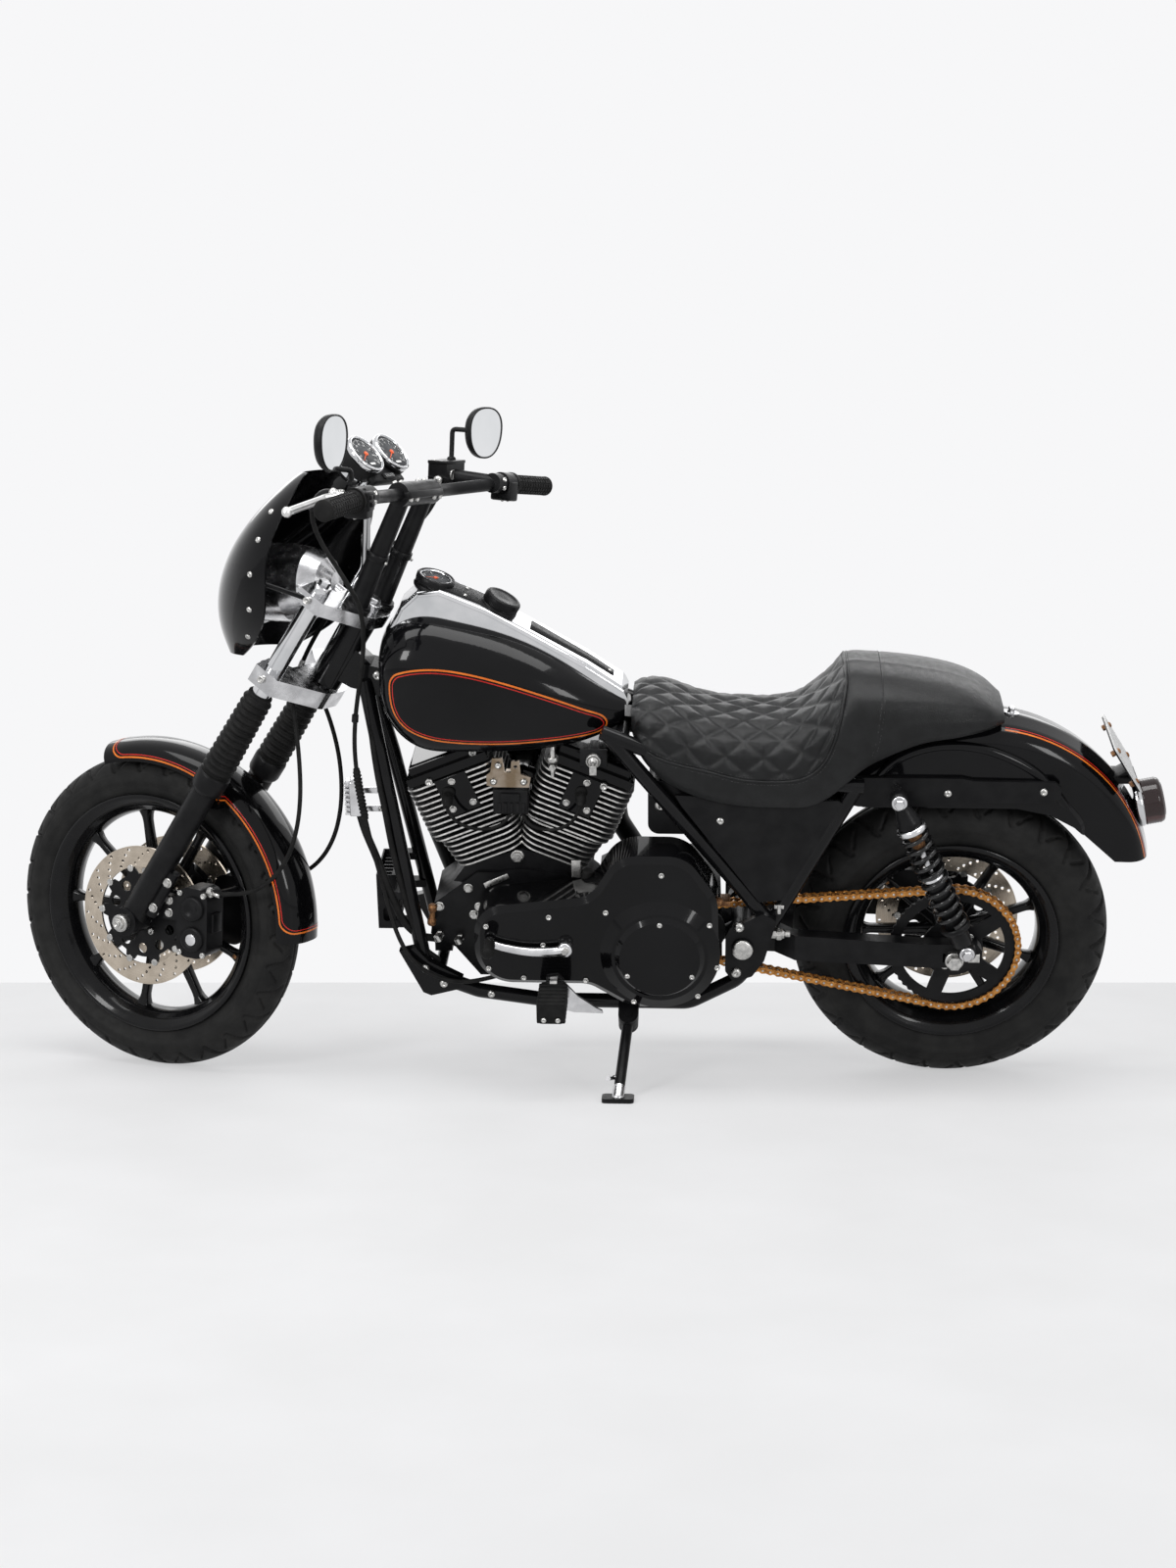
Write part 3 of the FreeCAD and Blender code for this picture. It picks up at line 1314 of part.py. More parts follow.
def gearbox():
    """Gearbox case behind the engine on the rear cross member, with its mainshaft boss towards the
    primary cover and its output sprocket inside the chain."""
    front = crank_x - 154 - seat_gap
    case = xz_plate([(front, 240), (front, 440), (660, 470), (520, 470), (470, 420), (464, 280), (500, 240)],
                    56, 134)
    bevel = xz_plate([(690, 262), (690, 420), (640, 446), (540, 446), (492, 400), (492, 290), (520, 262)],
                     -78, 34)
    foot = box_solid((REAR_CROSS[0] - 18, -30, REAR_CROSS[1] + cross_radius + seat_gap),
                     (REAR_CROSS[0] + 18, 30, 244))
    boss = cylinder_solid(Vector(616, 50, 362), Vector(616, primary_inner - seat_gap, 362), 34)
    sprocket_x, sprocket_z = size("gearbox_sprocket_x"), size("gearbox_sprocket_z")
    chain_side = size("chain_side")
    shaft = cylinder_solid(Vector(sprocket_x, 50, sprocket_z), Vector(sprocket_x, chain_side, sprocket_z), 15)
    sprocket = cylinder_solid(Vector(sprocket_x, chain_side - sprocket_width / 2, sprocket_z),
                              Vector(sprocket_x, chain_side + sprocket_width / 2, sprocket_z),
                              size("gearbox_sprocket_radius"))
    return feature("gearbox", joined([case, bevel, foot, boss, shaft, sprocket]), FRAME_POSE)


def carburettor_and_filter():
    """Round air filter on the right, with the carburettor and its manifold between the heads."""
    centre = crank + Vector(0, 0, 314)
    filter_can = Part.makeCylinder(84, 50, centre - AXIS_Y * 198, AXIS_Y)
    filter_can = filter_can.makeFillet(14, [edge for edge in filter_can.Edges
                                            if edge.BoundBox.YMax < -197])
    throat = cylinder_solid(centre - AXIS_Y * 150, centre - AXIS_Y * 84, 27)
    manifold = cylinder_solid(centre - AXIS_Y * 86, centre + AXIS_Y * 10, 19)
    bowl = box_solid((centre.x - 30, -140, centre.z - 56), (centre.x + 30, -88, centre.z + 20))
    shapes = [filter_can, throat, manifold, bowl]
    for sign in (1, -1):
        across = Rotation(AXIS_Y, sign * size("cylinder_angle")) * (AXIS_X * sign)
        reach = -(centre - crank).dot(across) - size("head_half_width")
        shapes.append(cylinder_solid(centre, centre + across * (reach - seat_gap), 17))
    return feature("air_filter_and_carburettor", joined(shapes), FRAME_POSE)


def exhaust():
    """Two-into-one exhaust on the right: two headers, a collector and a short muffler."""
    port = -size("barrel_radius") - 10 - seat_gap
    front_pipe = bent_tube([Vector(1044, port, 604), Vector(1052, -146, 600), Vector(1074, -168, 480),
                            Vector(1010, -186, 280), Vector(880, -188, 254), Vector(630, -188, 247)], 21, 90)
    rear_pipe = bent_tube([Vector(700, port, 604), Vector(694, -146, 600), Vector(684, -172, 480),
                           Vector(610, -184, 350), Vector(548, -188, 256)], 21, 70)
    can_profile = [(236, 0), (236, 44), (580, 44), (660, 27), (660, 0), (236, 0)]
    can_face = Part.Face(Part.makePolygon([Vector(x, 0, r) for x, r in can_profile]))
    can = can_face.revolve(Vector(), AXIS_X, 360)
    can.Placement = Placement(Vector(0, -188, 246), Rotation())
    shape = joined([can, front_pipe, rear_pipe]).cut(untouched(cylinder_item))
    return feature("exhaust", largest(shape), FRAME_POSE)


gearbox()
carburettor_and_filter()
exhaust()


def chain():
    """Closed drive chain round both sprockets: two scalloped plate rows joined by rollers that rest
    on the sprockets."""
    roller = size("chain_roller_radius")
    rear_r = size("rear_sprocket_radius") + seat_gap + roller
    front_r = size("gearbox_sprocket_radius") + seat_gap + roller
    half = size("chain_half_height")
    width = size("chain_width")
    rear_c = rear_axle
    front_c = Vector(size("gearbox_sprocket_x"), 0, size("gearbox_sprocket_z"))
    span = (front_c - rear_c).Length
    tilt = math.asin((rear_r - front_r) / span)
    line = math.atan2(front_c.z - rear_c.z, front_c.x - rear_c.x)
    run = span * math.cos(tilt)
    rear_turn, front_turn = math.pi + 2 * tilt, math.pi - 2 * tilt
    total = rear_r * rear_turn + front_r * front_turn + 2 * run
    links = round(total / size("chain_pitch"))

    def at(distance, lift):
        """Point of the loop at a distance from the top of the rear sprocket, lifted outwards."""
        distance = distance % total
        if distance < rear_r * rear_turn:
            angle = line + math.pi / 2 - tilt + distance / rear_r
            return rear_c + Vector(math.cos(angle), 0, math.sin(angle)) * (rear_r + lift)
        distance -= rear_r * rear_turn
        angle = line - math.pi / 2 + tilt
        out = Vector(math.cos(angle), 0, math.sin(angle))
        if distance < run:
            return rear_c + out * (rear_r + lift) + Vector(-out.z, 0, out.x) * distance
        distance -= run
        if distance < front_r * front_turn:
            angle += distance / front_r
            return front_c + Vector(math.cos(angle), 0, math.sin(angle)) * (front_r + lift)
        distance -= front_r * front_turn
        angle += front_turn
        out = Vector(math.cos(angle), 0, math.sin(angle))
        return front_c + out * (front_r + lift) + Vector(-out.z, 0, out.x) * distance

    def edge_loop(lift):
        """Plate edge: full height at each pin and waisted between pins."""
        points = []
        for index in range(links):
            for part, height in ((0, 1.0), (0.5, 0.62)):
                point = at((index + part) * total / links, lift * height)
                points.append((point.x, point.z))
        return points

    plate = size("chain_plate")
    side = size("chain_side") + width / 2
    shapes = []
    for outer_face in (side, side - width + plate):
        row = xz_plate(edge_loop(half), outer_face, plate)
        shapes.append(row.cut(xz_plate(edge_loop(-half), outer_face + 1, plate + 2)))
    for index in range(links):
        centre = at(index * total / links, 0)
        ring = []
        for corner in range(6):
            angle = math.radians(60 * corner)
            ring.append((centre.x + roller * math.cos(angle), centre.z + roller * math.sin(angle)))
        shapes.append(xz_plate(ring, side - plate, width - 2 * plate))
    return feature("drive_chain", joined(shapes), FRAME_POSE)


chain()


# Tank, console and seat

TANK_PROFILE = [(0.86, 0.0), (0.97, 0.12), (1.0, 0.40), (0.90, 0.74), (0.55, 0.94)]


def fuel_tank():
    """Teardrop tank that sits on the backbone, from the seat's nose to the steering head."""
    wide = size("tank_half_width")
    rear, front = 660, head.x - 40
    sections = []
    for along, half_width, low, high in [(0, 0.46, 802, 846), (0.208, 0.78, 766, 910),
                                         (0.458, 0.95, 757, 974), (0.708, 1, 756, 1008),
                                         (0.867, 0.98, 772, 1012), (0.9625, 0.84, 816, 984),
                                         (1, 0.58, 862, 952)]:
        x = rear + along * (front - rear)
        sections.append(crowned_section(TANK_PROFILE, x, half_width * wide, low, high))
    shell = lofted(sections)
    tunnel_half = size("tank_tunnel_half_width")
    roof = [(x, z + seat_gap) for x, z in backbone_top]
    below = [(600, roof[0][1]), (600, 700), (head.x + 20, 700), (head.x + 20, head.z - 60)]
    tunnel = xz_plate(below + roof[::-1], tunnel_half, 2 * tunnel_half)
    return feature("fuel_tank", shell.cut(tunnel), FRAME_POSE)


tank_item = fuel_tank()


def tank_console():
    """Console along the top of the tank, with the fuel cap and a small round gauge."""
    half = size("console_half_width")
    nose = head.x
    profile = [(nose - 50, 946), (nose - 60, 988), (nose - 81, 1028), (nose - 116, 1060), (nose - 160, 1064),
               (crank_x + 60, 1026), (crank_x - 21, 980), (734, 912), (667, 866), (656, 842), (700, 820),
               (crank_x + 130, 960)]
    base = xz_plate(profile, half, 2 * half)
    base = base.makeFillet(12, [edge for edge in base.Edges
                                if abs(edge.tangentAt(edge.FirstParameter).y) < 0.1
                                and edge.BoundBox.ZMin > 900 and edge.BoundBox.ZMax > 975])
    cap_axis = unit(Vector(-0.48, 0, 0.88))
    cap_centre = Vector(crank_x + 42, 0, 1008)
    cap = cylinder_solid(cap_centre, cap_centre + cap_axis * 30, 34)
    gauge_axis = unit(Vector(-0.3, 0, 0.95))
    gauge_foot = Vector(nose - 142, 0, 1050)
    gauge = cylinder_solid(gauge_foot, gauge_foot + gauge_axis * 24, 36)
    shape = joined([base, cap, gauge]).cut(untouched(tank_item))
    return feature("tank_console", largest(shape), FRAME_POSE)


tank_console()


SEAT_PROFILE = [(0.95, 0.0), (1.0, 0.16), (0.99, 0.45), (0.88, 0.78), (0.5, 0.96)]


def seat():
    """Solo seat with a high rear bolster and deep side skirts, hollow over the frame rails."""
    wide = size("seat_half_width")
    sections = []
    for x, half_width, low, high in [(646, 0.66, 792, 836), (628, 0.84, 752, 846), (600, 0.95, 722, 848),
                                     (560, 1, 694, 838), (500, 1, 668, 818), (430, 1, 655, 811),
                                     (346, 1, 652, 814), (296, 1, 656, 838), (258, 0.99, 676, 874),
                                     (226, 0.98, 704, 907), (180, 0.97, 744, 908), (90, 0.92, 784, 897),
                                     (10, 0.84, 796, 880), (-44, 0.70, 803, 856), (-80, 0.46, 805, 828)]:
        sections.append(crowned_section(SEAT_PROFILE, x, half_width * wide, low, high))
    shell = lofted(sections)
    inner = tube_side + tube_radius + seat_gap
    under = xz_plate([(720, 600), (720, 824), (600, 786), (560, 770), (400, 752), (250, 752), (180, 760),
                      (120, 600)], inner, 2 * inner)
    shape = shell.cut([under, fender_hull_cut()])
    shape = shape.cut([untouched(tank_item), untouched(head_and_backbone)])
    return feature("seat", largest(shape), FRAME_POSE)


seat()


def side_covers():
    """Triangular covers between the side tubes."""
    outline = [(560, 672), (461, 668), (346, 660), (240, 664), (222, 648), (340, 446), (392, 440), (548, 650)]
    left = xz_plate(outline, tube_side + 12, 10)
    left = left.cut([untouched(rear_tubes), untouched(cradle)])
    return feature("side_covers", mirrored_pair(largest(left)), FRAME_POSE)


def oil_tank():
    """Oil tank under the seat's front, seated between the side tubes."""
    half = tube_side - tube_radius - seat_gap
    block = box_solid((446, -half, 576), (614, half, 690))
    block = block.makeFillet(22, [edge for edge in block.Edges
                                  if abs(edge.tangentAt(edge.FirstParameter).y) > 0.9])
    return feature("oil_tank", block, FRAME_POSE)


def regulator():
    """Voltage regulator in a folded cover with two oval holes a side, on the downtubes."""
    half, front = 62, crank_x + 298
    base = crank_x + 258
    plate = box_solid((base, -half, 336), (base + 8, half, 458))
    fins = [box_solid((base + 8, -52 + 16 * i, 344), (front - 8, -48 + 16 * i, 450)) for i in range(7)]
    covers = [box_solid((front - 3, -half, 336), (front, half, 458))]
    for sign in (1, -1):
        low, high = sorted([sign * (half - 3), sign * half])
        cover = box_solid((base, low, 336), (front, high, 458))
        holes = []
        for height in (368, 422):
            slot_from = Vector(front - 19, low - 1, height)
            for lift in (-8, 8):
                end = slot_from + AXIS_Z * lift
                holes.append(cylinder_solid(end, end + AXIS_Y * 5, 8))
            holes.append(box_solid((front - 27, low - 1, height - 8), (front - 11, high + 1, height + 8)))
        covers.append(cover.cut(holes))
    arms = []
    for low in (360, 424):
        arms.append(box_solid((base - 8, -104, low), (base, 104, low + 16)))
        for sign in (1, -1):
            ends = sorted([sign * 80, sign * 104])
            arms.append(box_solid((base - 42, ends[0], low), (base - 7, ends[1], low + 16)))
    shape = joined([plate] + fins + covers + arms).cut(untouched(cradle))
    return feature("regulator", largest(shape), FRAME_POSE)


side_covers()
oil_tank()
regulator()


def foot_pegs():
    """Rubber-faced foot pegs on arms from the lower rails; the right arm passes below the exhaust."""
    shapes = []
    for sign, elbow, out in [(1, Vector(800, 176, 236), Vector(800, 206, 274)),
                             (-1, Vector(800, -226, 202), Vector(800, -236, 274))]:
        root = Vector(800, sign * (tube_side + tube_radius - 4), 206)
        arm = bent_tube([root, elbow, out + Vector(0, sign * 10, 6)], 10, 16)
        peg = box_solid((-27, 0, -21), (27, 96, 21))
        peg = peg.makeFillet(9, [edge for edge in peg.Edges
                                 if abs(edge.tangentAt(edge.FirstParameter).y) > 0.9])
        if sign < 0:
            peg = peg.mirror(Vector(), AXIS_Y)
        peg.Placement = Placement(out, Rotation()) * peg.Placement
        shapes.append(largest(joined([arm, peg]).cut(untouched(cradle))))
    return feature("foot_pegs", Part.makeCompound(shapes), FRAME_POSE)


def foot_controls():
    """Shift lever on the primary cover and brake lever beside the right peg."""
    side = size("primary_side")
    pivot = Vector(776, side + seat_gap, 372)
    toe = Vector(926, side + 14, 384)
    boss = cylinder_solid(pivot, pivot + AXIS_Y * 22, 12)
    arm = bent_tube([pivot + AXIS_Y * 14, Vector(850, side + 14, 366), toe], 6, 60)
    shift = joined([boss, arm, cylinder_solid(toe, toe + AXIS_Y * 48, 11)])
    brake_toe = Vector(936, -246, 300)
    brake_arm = bent_tube([Vector(804, -236, 236), Vector(866, -240, 250), brake_toe], 6, 60)
    brake = joined([brake_arm, cylinder_solid(brake_toe + AXIS_Y * 20, brake_toe - AXIS_Y * 40, 11)])
    brake = largest(brake.cut(untouched(pegs_item)))
    return feature("foot_controls", Part.makeCompound([shift, brake]), FRAME_POSE)


pegs_item = foot_pegs()
foot_controls()


def rear_caliper():
    """Rear caliper above the swingarm on the right, slotted round the disc."""
    side = -size("rear_disc_side")
    block = box_solid((54, side - 34, 64), (116, side + 30, 118))
    slot_half = size("disc_thickness") / 2 + 5
    slot = Part.makeCylinder(size("rear_disc_radius") + 6, 2 * slot_half,
                             Vector(0, side - slot_half, 0), AXIS_Y)
    block = block.cut(slot)
    block.Placement = Placement(rear_axle, Rotation()) * block.Placement
    stay = box_solid((62, -swingarm_side - 10, rear_axle.z + 28), (108, side - 20, rear_axle.z + 96))
    shape = joined([block, stay]).cut(untouched(arm_item))
    return feature("rear_caliper", largest(shape), FRAME_POSE)


rear_caliper()


# Side stand
stand_pivot = Vector(653, 157, 184)
stand_foot = Vector(668, 322, 99)
stand_splay = math.radians(28.3)
stand_axis = Vector(0, math.sin(stand_splay), math.cos(stand_splay))
stand_pin_radius = 8


def side_stand():
    """Side stand: pivot eye, leg and a foot pad that rests on the floor."""
    leg = cylinder_solid(stand_pivot, stand_foot, size("stand_leg_radius"))
    eye = cylinder_solid(stand_pivot - stand_axis * 12, stand_pivot + stand_axis * 12, 20)
    floor_up = FRAME_POSE.Rotation.inverted() * AXIS_Z
    floor_point = FRAME_POSE.inverse() * Vector((FRAME_POSE * stand_foot).x, (FRAME_POSE * stand_foot).y, 0)
    pad_disc = Part.makeBox(64, 46, 9, Vector(-32, -23, 0))
    pad_disc = pad_disc.makeFillet(10, [edge for edge in pad_disc.Edges
                                        if abs(edge.tangentAt(edge.FirstParameter).z) > 0.9])
    pad_disc.Placement = Placement(floor_point, Rotation(AXIS_Z, floor_up))
    shin = cylinder_solid(stand_foot, floor_point + floor_up * 5, size("stand_leg_radius"))
    knee = Part.makeSphere(size("stand_leg_radius"), stand_foot)
    hole = cylinder_solid(stand_pivot - stand_axis * 30, stand_pivot + stand_axis * 30,
                          stand_pin_radius + size("running_clearance"))
    return feature("side_stand", joined([leg, eye, shin, knee, pad_disc]).cut(hole), FRAME_POSE)


def stand_bracket():
    """Bracket that carries the stand's pivot pin under the left rail."""
    pin = cylinder_solid(stand_pivot - stand_axis * 22, stand_pivot + stand_axis * 22, stand_pin_radius)
    ears = []
    for sign in (1, -1):
        near = stand_pivot + stand_axis * (sign * 13)
        far = stand_pivot + stand_axis * (sign * 20)
        ear = cylinder_solid(near, far, 20)
        reach = Part.makeBox(40, 46, 7, Vector(-20, -46, 0))
        reach.Placement = Placement(near if sign > 0 else far, Rotation(AXIS_Z, stand_axis))
        ears += [ear, reach]
    shape = joined([pin] + ears).cut(untouched(cradle))
    return feature("stand_bracket", largest(shape), FRAME_POSE)


side_stand()
stand_bracket()

# Hoses and cable
LOOSE_BEND = 1e6


def cable(points, radius):
    """Round cable whose arcs are as large as its straight runs allow; prints its length."""
    tube = bent_tube(points, radius, LOOSE_BEND)
    print("cable length %.0f" % (tube.Volume / (math.pi * radius ** 2)))
    return tube


hose_radius = 4.5
HOSE_ROUTE = [(1316, 40, 852), (1298, 56, 806), (1281, 68, 752), (1268, 76, 694), (1262, 80, 634),
              (1265, 83, 574), (1280, 85, 516), (1310, 86, 466), (1354, 86, 430), (1408, 86, 412),
              (1466, 86, 408)]
MASTER_ROUTE = [(1136, -232, 1244), (1146, -222, 1205), (1170, -205, 1165), (1204, -183, 1128),
                (1240, -156, 1092), (1270, -128, 1048), (1296, -100, 1000), (1318, -72, 950),
                (1332, -46, 902), (1336, -24, 866)]
CLUTCH_BAR_ROUTE = [(1160, 226, 1226), (1182, 214, 1192)]
CLUTCH_FRAME_ROUTE = [(1162, 168, 1094), (1158, 138, 1042), (1160, 116, 988), (1168, 102, 932),
                      (1179, 94, 874), (1189, 92, 814), (1194, 91, 754), (1192, 91, 694),
                      (1185, 92, 634), (1175, 94, 574), (1163, 97, 514), (1149, 104, 458),
                      (1136, 117, 406), (1121, 133, 360), (1098, 145, 316), (1060, 148, 278),
                      (1012, 144, 258), (962, 134, 254), (914, 122, 264)]


def brake_hoses():
    """Hose from the reservoir to a junction on the lower clamp, and one to each caliper."""
    shapes = []
    for sign in (1, -1):
        route = [Vector(x, sign * y, z) for x, y, z in HOSE_ROUTE]
        shapes.append(cable(route, hose_radius))
    shapes.append(cable([Vector(*point) for point in MASTER_ROUTE], hose_radius))
    bar = cylinder_solid(Vector(1318, -44, 856), Vector(1318, 44, 856), 7)
    block = box_solid((1312, -26, 846), (1344, 26, 866))
    hull = [untouched(lower_clamp_item), untouched(controls_item), untouched(tubes_item)]
    return feature("brake_hoses", largest(joined(shapes + [bar, block]).cut(hull)), STEERING_POSE)


def clutch_cable():
    """Clutch cable from the left perch past the steering head to the primary cover."""
    to_frame = FRAME_POSE.inverse() * STEERING_POSE
    points = [to_frame * Vector(*point) for point in CLUTCH_BAR_ROUTE]
    points += [Vector(*point) for point in CLUTCH_FRAME_ROUTE]
    return feature("clutch_cable", cable(points, hose_radius), FRAME_POSE)


brake_hoses()
clutch_cable()

doc.recompute()

# Check and write every sub-part
os.makedirs("parts", exist_ok=True)
problems = []
for item in doc.Objects:
    if "Invalid" in item.State or "Error" in item.State:
        problems.append(item.Name + " is in state " + ", ".join(item.State))
for item in sub_parts:
    if item.Shape.isNull() or not item.Shape.isValid() or not item.Shape.Solids:
        problems.append(item.Label + " has no valid solid")
if problems:
    raise RuntimeError("; ".join(problems))
for item in sub_parts:
    item.Shape.exportStep("parts/%s.step" % item.Label)
    print("%-28s solids %d volume %.0f cm3" % (item.Label, len(item.Shape.Solids), item.Shape.Volume / 1000))

steer_point = STEERING_POSE * on_steer_axis(head_tube_base)
print("steering point", steer_point, "axis", STEERING_POSE.Rotation * fork_up)
print("front axle", STEERING_POSE * front_axle, "axis", STEERING_POSE.Rotation * AXIS_Y)
print("rear axle", FRAME_POSE * rear_axle, "axis", FRAME_POSE.Rotation * AXIS_Y)
print("stand pivot", FRAME_POSE * stand_pivot, "axis", FRAME_POSE.Rotation * stand_axis)
print("bar end", STEERING_POSE * bar_points[-1], "axis", STEERING_POSE.Rotation * grip_direction)
plate_turn = FRAME_POSE.Rotation * plate_tilt
plate_face = plate_foot + plate_tilt * Vector(-2, 0, 56)
print("plate face", FRAME_POSE * plate_face, "axis", plate_turn * (-AXIS_X))
right_direction, right_end = bar_frame(-1)
print("right bar end", STEERING_POSE * right_end, "axis", STEERING_POSE.Rotation * right_direction)
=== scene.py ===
import bpy
import bmesh
import json
from math import asin, atan2, copysign, cos, degrees, exp, hypot, pi, radians, sin, sqrt, tan, tau
from mathutils import Matrix, Vector
from mathutils.bvhtree import BVHTree
from mathutils.geometry import delaunay_2d_cdt
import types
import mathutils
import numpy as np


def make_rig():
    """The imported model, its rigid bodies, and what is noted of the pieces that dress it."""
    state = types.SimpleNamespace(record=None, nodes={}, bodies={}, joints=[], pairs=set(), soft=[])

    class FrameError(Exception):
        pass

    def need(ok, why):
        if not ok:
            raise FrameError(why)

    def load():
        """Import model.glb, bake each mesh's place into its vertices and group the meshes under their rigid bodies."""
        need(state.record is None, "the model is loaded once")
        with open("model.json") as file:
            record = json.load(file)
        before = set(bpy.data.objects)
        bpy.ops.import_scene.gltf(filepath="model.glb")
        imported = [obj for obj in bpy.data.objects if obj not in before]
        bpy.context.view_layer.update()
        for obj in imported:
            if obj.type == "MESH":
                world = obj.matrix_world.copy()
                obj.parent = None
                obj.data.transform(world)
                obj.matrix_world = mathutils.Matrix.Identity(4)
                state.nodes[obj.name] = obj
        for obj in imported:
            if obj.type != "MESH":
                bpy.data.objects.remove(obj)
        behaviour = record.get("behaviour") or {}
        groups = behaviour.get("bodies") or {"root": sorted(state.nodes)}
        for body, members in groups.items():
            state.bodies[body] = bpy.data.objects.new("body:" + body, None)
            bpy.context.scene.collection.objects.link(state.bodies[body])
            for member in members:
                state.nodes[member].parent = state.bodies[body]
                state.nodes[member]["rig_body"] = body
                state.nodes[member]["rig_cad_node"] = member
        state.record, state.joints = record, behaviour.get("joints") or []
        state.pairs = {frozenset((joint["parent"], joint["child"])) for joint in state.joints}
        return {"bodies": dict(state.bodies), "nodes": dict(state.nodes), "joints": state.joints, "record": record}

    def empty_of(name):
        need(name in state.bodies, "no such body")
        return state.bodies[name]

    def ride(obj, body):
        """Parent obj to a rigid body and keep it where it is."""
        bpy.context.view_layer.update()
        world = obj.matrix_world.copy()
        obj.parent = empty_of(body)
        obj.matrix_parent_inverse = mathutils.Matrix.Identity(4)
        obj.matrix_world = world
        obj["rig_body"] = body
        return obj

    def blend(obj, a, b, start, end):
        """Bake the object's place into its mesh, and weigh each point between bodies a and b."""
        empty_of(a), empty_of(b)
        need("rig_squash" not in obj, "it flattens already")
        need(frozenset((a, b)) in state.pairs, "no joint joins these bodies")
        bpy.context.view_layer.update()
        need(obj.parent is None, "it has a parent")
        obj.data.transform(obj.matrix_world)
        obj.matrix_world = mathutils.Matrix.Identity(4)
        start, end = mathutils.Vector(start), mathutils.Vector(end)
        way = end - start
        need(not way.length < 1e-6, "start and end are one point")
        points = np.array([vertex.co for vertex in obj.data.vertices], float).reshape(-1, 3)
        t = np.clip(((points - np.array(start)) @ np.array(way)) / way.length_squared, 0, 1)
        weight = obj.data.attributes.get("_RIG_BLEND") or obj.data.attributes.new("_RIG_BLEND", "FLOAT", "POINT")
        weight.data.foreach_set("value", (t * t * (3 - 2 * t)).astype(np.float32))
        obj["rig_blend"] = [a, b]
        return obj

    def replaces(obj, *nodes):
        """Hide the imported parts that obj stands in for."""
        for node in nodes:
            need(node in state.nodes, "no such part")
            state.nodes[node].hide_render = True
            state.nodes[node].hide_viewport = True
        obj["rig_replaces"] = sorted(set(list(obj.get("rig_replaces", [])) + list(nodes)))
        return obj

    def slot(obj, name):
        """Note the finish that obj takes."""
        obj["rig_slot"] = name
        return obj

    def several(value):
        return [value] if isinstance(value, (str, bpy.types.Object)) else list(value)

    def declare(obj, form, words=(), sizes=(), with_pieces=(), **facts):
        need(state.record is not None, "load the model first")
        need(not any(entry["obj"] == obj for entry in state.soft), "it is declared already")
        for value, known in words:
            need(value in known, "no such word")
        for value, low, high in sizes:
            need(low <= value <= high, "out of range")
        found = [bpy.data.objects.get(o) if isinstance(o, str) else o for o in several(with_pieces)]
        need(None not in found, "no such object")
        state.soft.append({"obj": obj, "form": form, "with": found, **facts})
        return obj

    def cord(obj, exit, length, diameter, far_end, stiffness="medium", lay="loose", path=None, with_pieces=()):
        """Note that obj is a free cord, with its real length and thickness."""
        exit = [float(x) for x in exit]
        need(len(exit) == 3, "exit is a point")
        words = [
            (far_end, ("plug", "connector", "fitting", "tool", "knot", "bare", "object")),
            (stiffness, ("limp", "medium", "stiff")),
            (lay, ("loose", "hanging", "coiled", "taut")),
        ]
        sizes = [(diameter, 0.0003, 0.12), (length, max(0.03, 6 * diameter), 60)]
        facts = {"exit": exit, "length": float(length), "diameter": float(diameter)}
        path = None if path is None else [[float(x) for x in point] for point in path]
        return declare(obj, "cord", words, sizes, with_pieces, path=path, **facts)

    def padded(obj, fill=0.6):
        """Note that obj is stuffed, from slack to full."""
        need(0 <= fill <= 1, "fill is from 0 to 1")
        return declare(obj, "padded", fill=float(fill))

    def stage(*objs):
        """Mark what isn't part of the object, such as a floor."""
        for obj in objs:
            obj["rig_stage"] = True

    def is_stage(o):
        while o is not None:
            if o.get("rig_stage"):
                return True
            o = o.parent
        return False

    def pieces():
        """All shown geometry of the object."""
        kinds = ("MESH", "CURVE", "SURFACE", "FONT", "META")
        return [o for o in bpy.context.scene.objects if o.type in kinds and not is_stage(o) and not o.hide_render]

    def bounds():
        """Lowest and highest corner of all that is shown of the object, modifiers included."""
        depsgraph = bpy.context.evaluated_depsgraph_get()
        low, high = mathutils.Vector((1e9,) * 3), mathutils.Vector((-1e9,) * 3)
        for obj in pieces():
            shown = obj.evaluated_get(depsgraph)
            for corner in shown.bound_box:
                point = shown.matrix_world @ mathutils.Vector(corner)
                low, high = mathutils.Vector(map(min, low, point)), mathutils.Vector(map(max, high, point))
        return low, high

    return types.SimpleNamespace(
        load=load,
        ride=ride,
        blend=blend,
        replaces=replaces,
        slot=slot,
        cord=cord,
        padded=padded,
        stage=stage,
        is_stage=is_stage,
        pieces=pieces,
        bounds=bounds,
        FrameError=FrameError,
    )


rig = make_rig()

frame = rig.load()
cad_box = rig.bounds()
nodes = frame["nodes"]
joints = {joint["name"]: joint for joint in frame["joints"]}

# Drawing frame: millimetres on the upright, straight motorcycle, as in the part's source
MM = 0.001
LEAN = radians(-17)
PITCH = radians(-0.2352)
STEER = radians(-26)
RAKE = radians(31)
WHEELBASE = 1645
FRONT_RADIUS, REAR_RADIUS = 331, 320
FRONT_RIM, REAR_RIM = 239, 205
FORK_OFFSET = 62
DISC_SIDE = 62
CHAIN_SIDE = 82
FORK_UP = Vector((-sin(RAKE), 0, cos(RAKE)))
FORK_FORWARD = Vector((cos(RAKE), 0, sin(RAKE)))
FRONT_AXLE = Vector((WHEELBASE, 0, FRONT_RADIUS))
REAR_AXLE = Vector((0, 0, REAR_RADIUS))
STEER_BASE = FRONT_AXLE - FORK_FORWARD * FORK_OFFSET
CRANK = Vector((870, 0, 350))
FIN_HALF_ANGLE = radians(22.5)

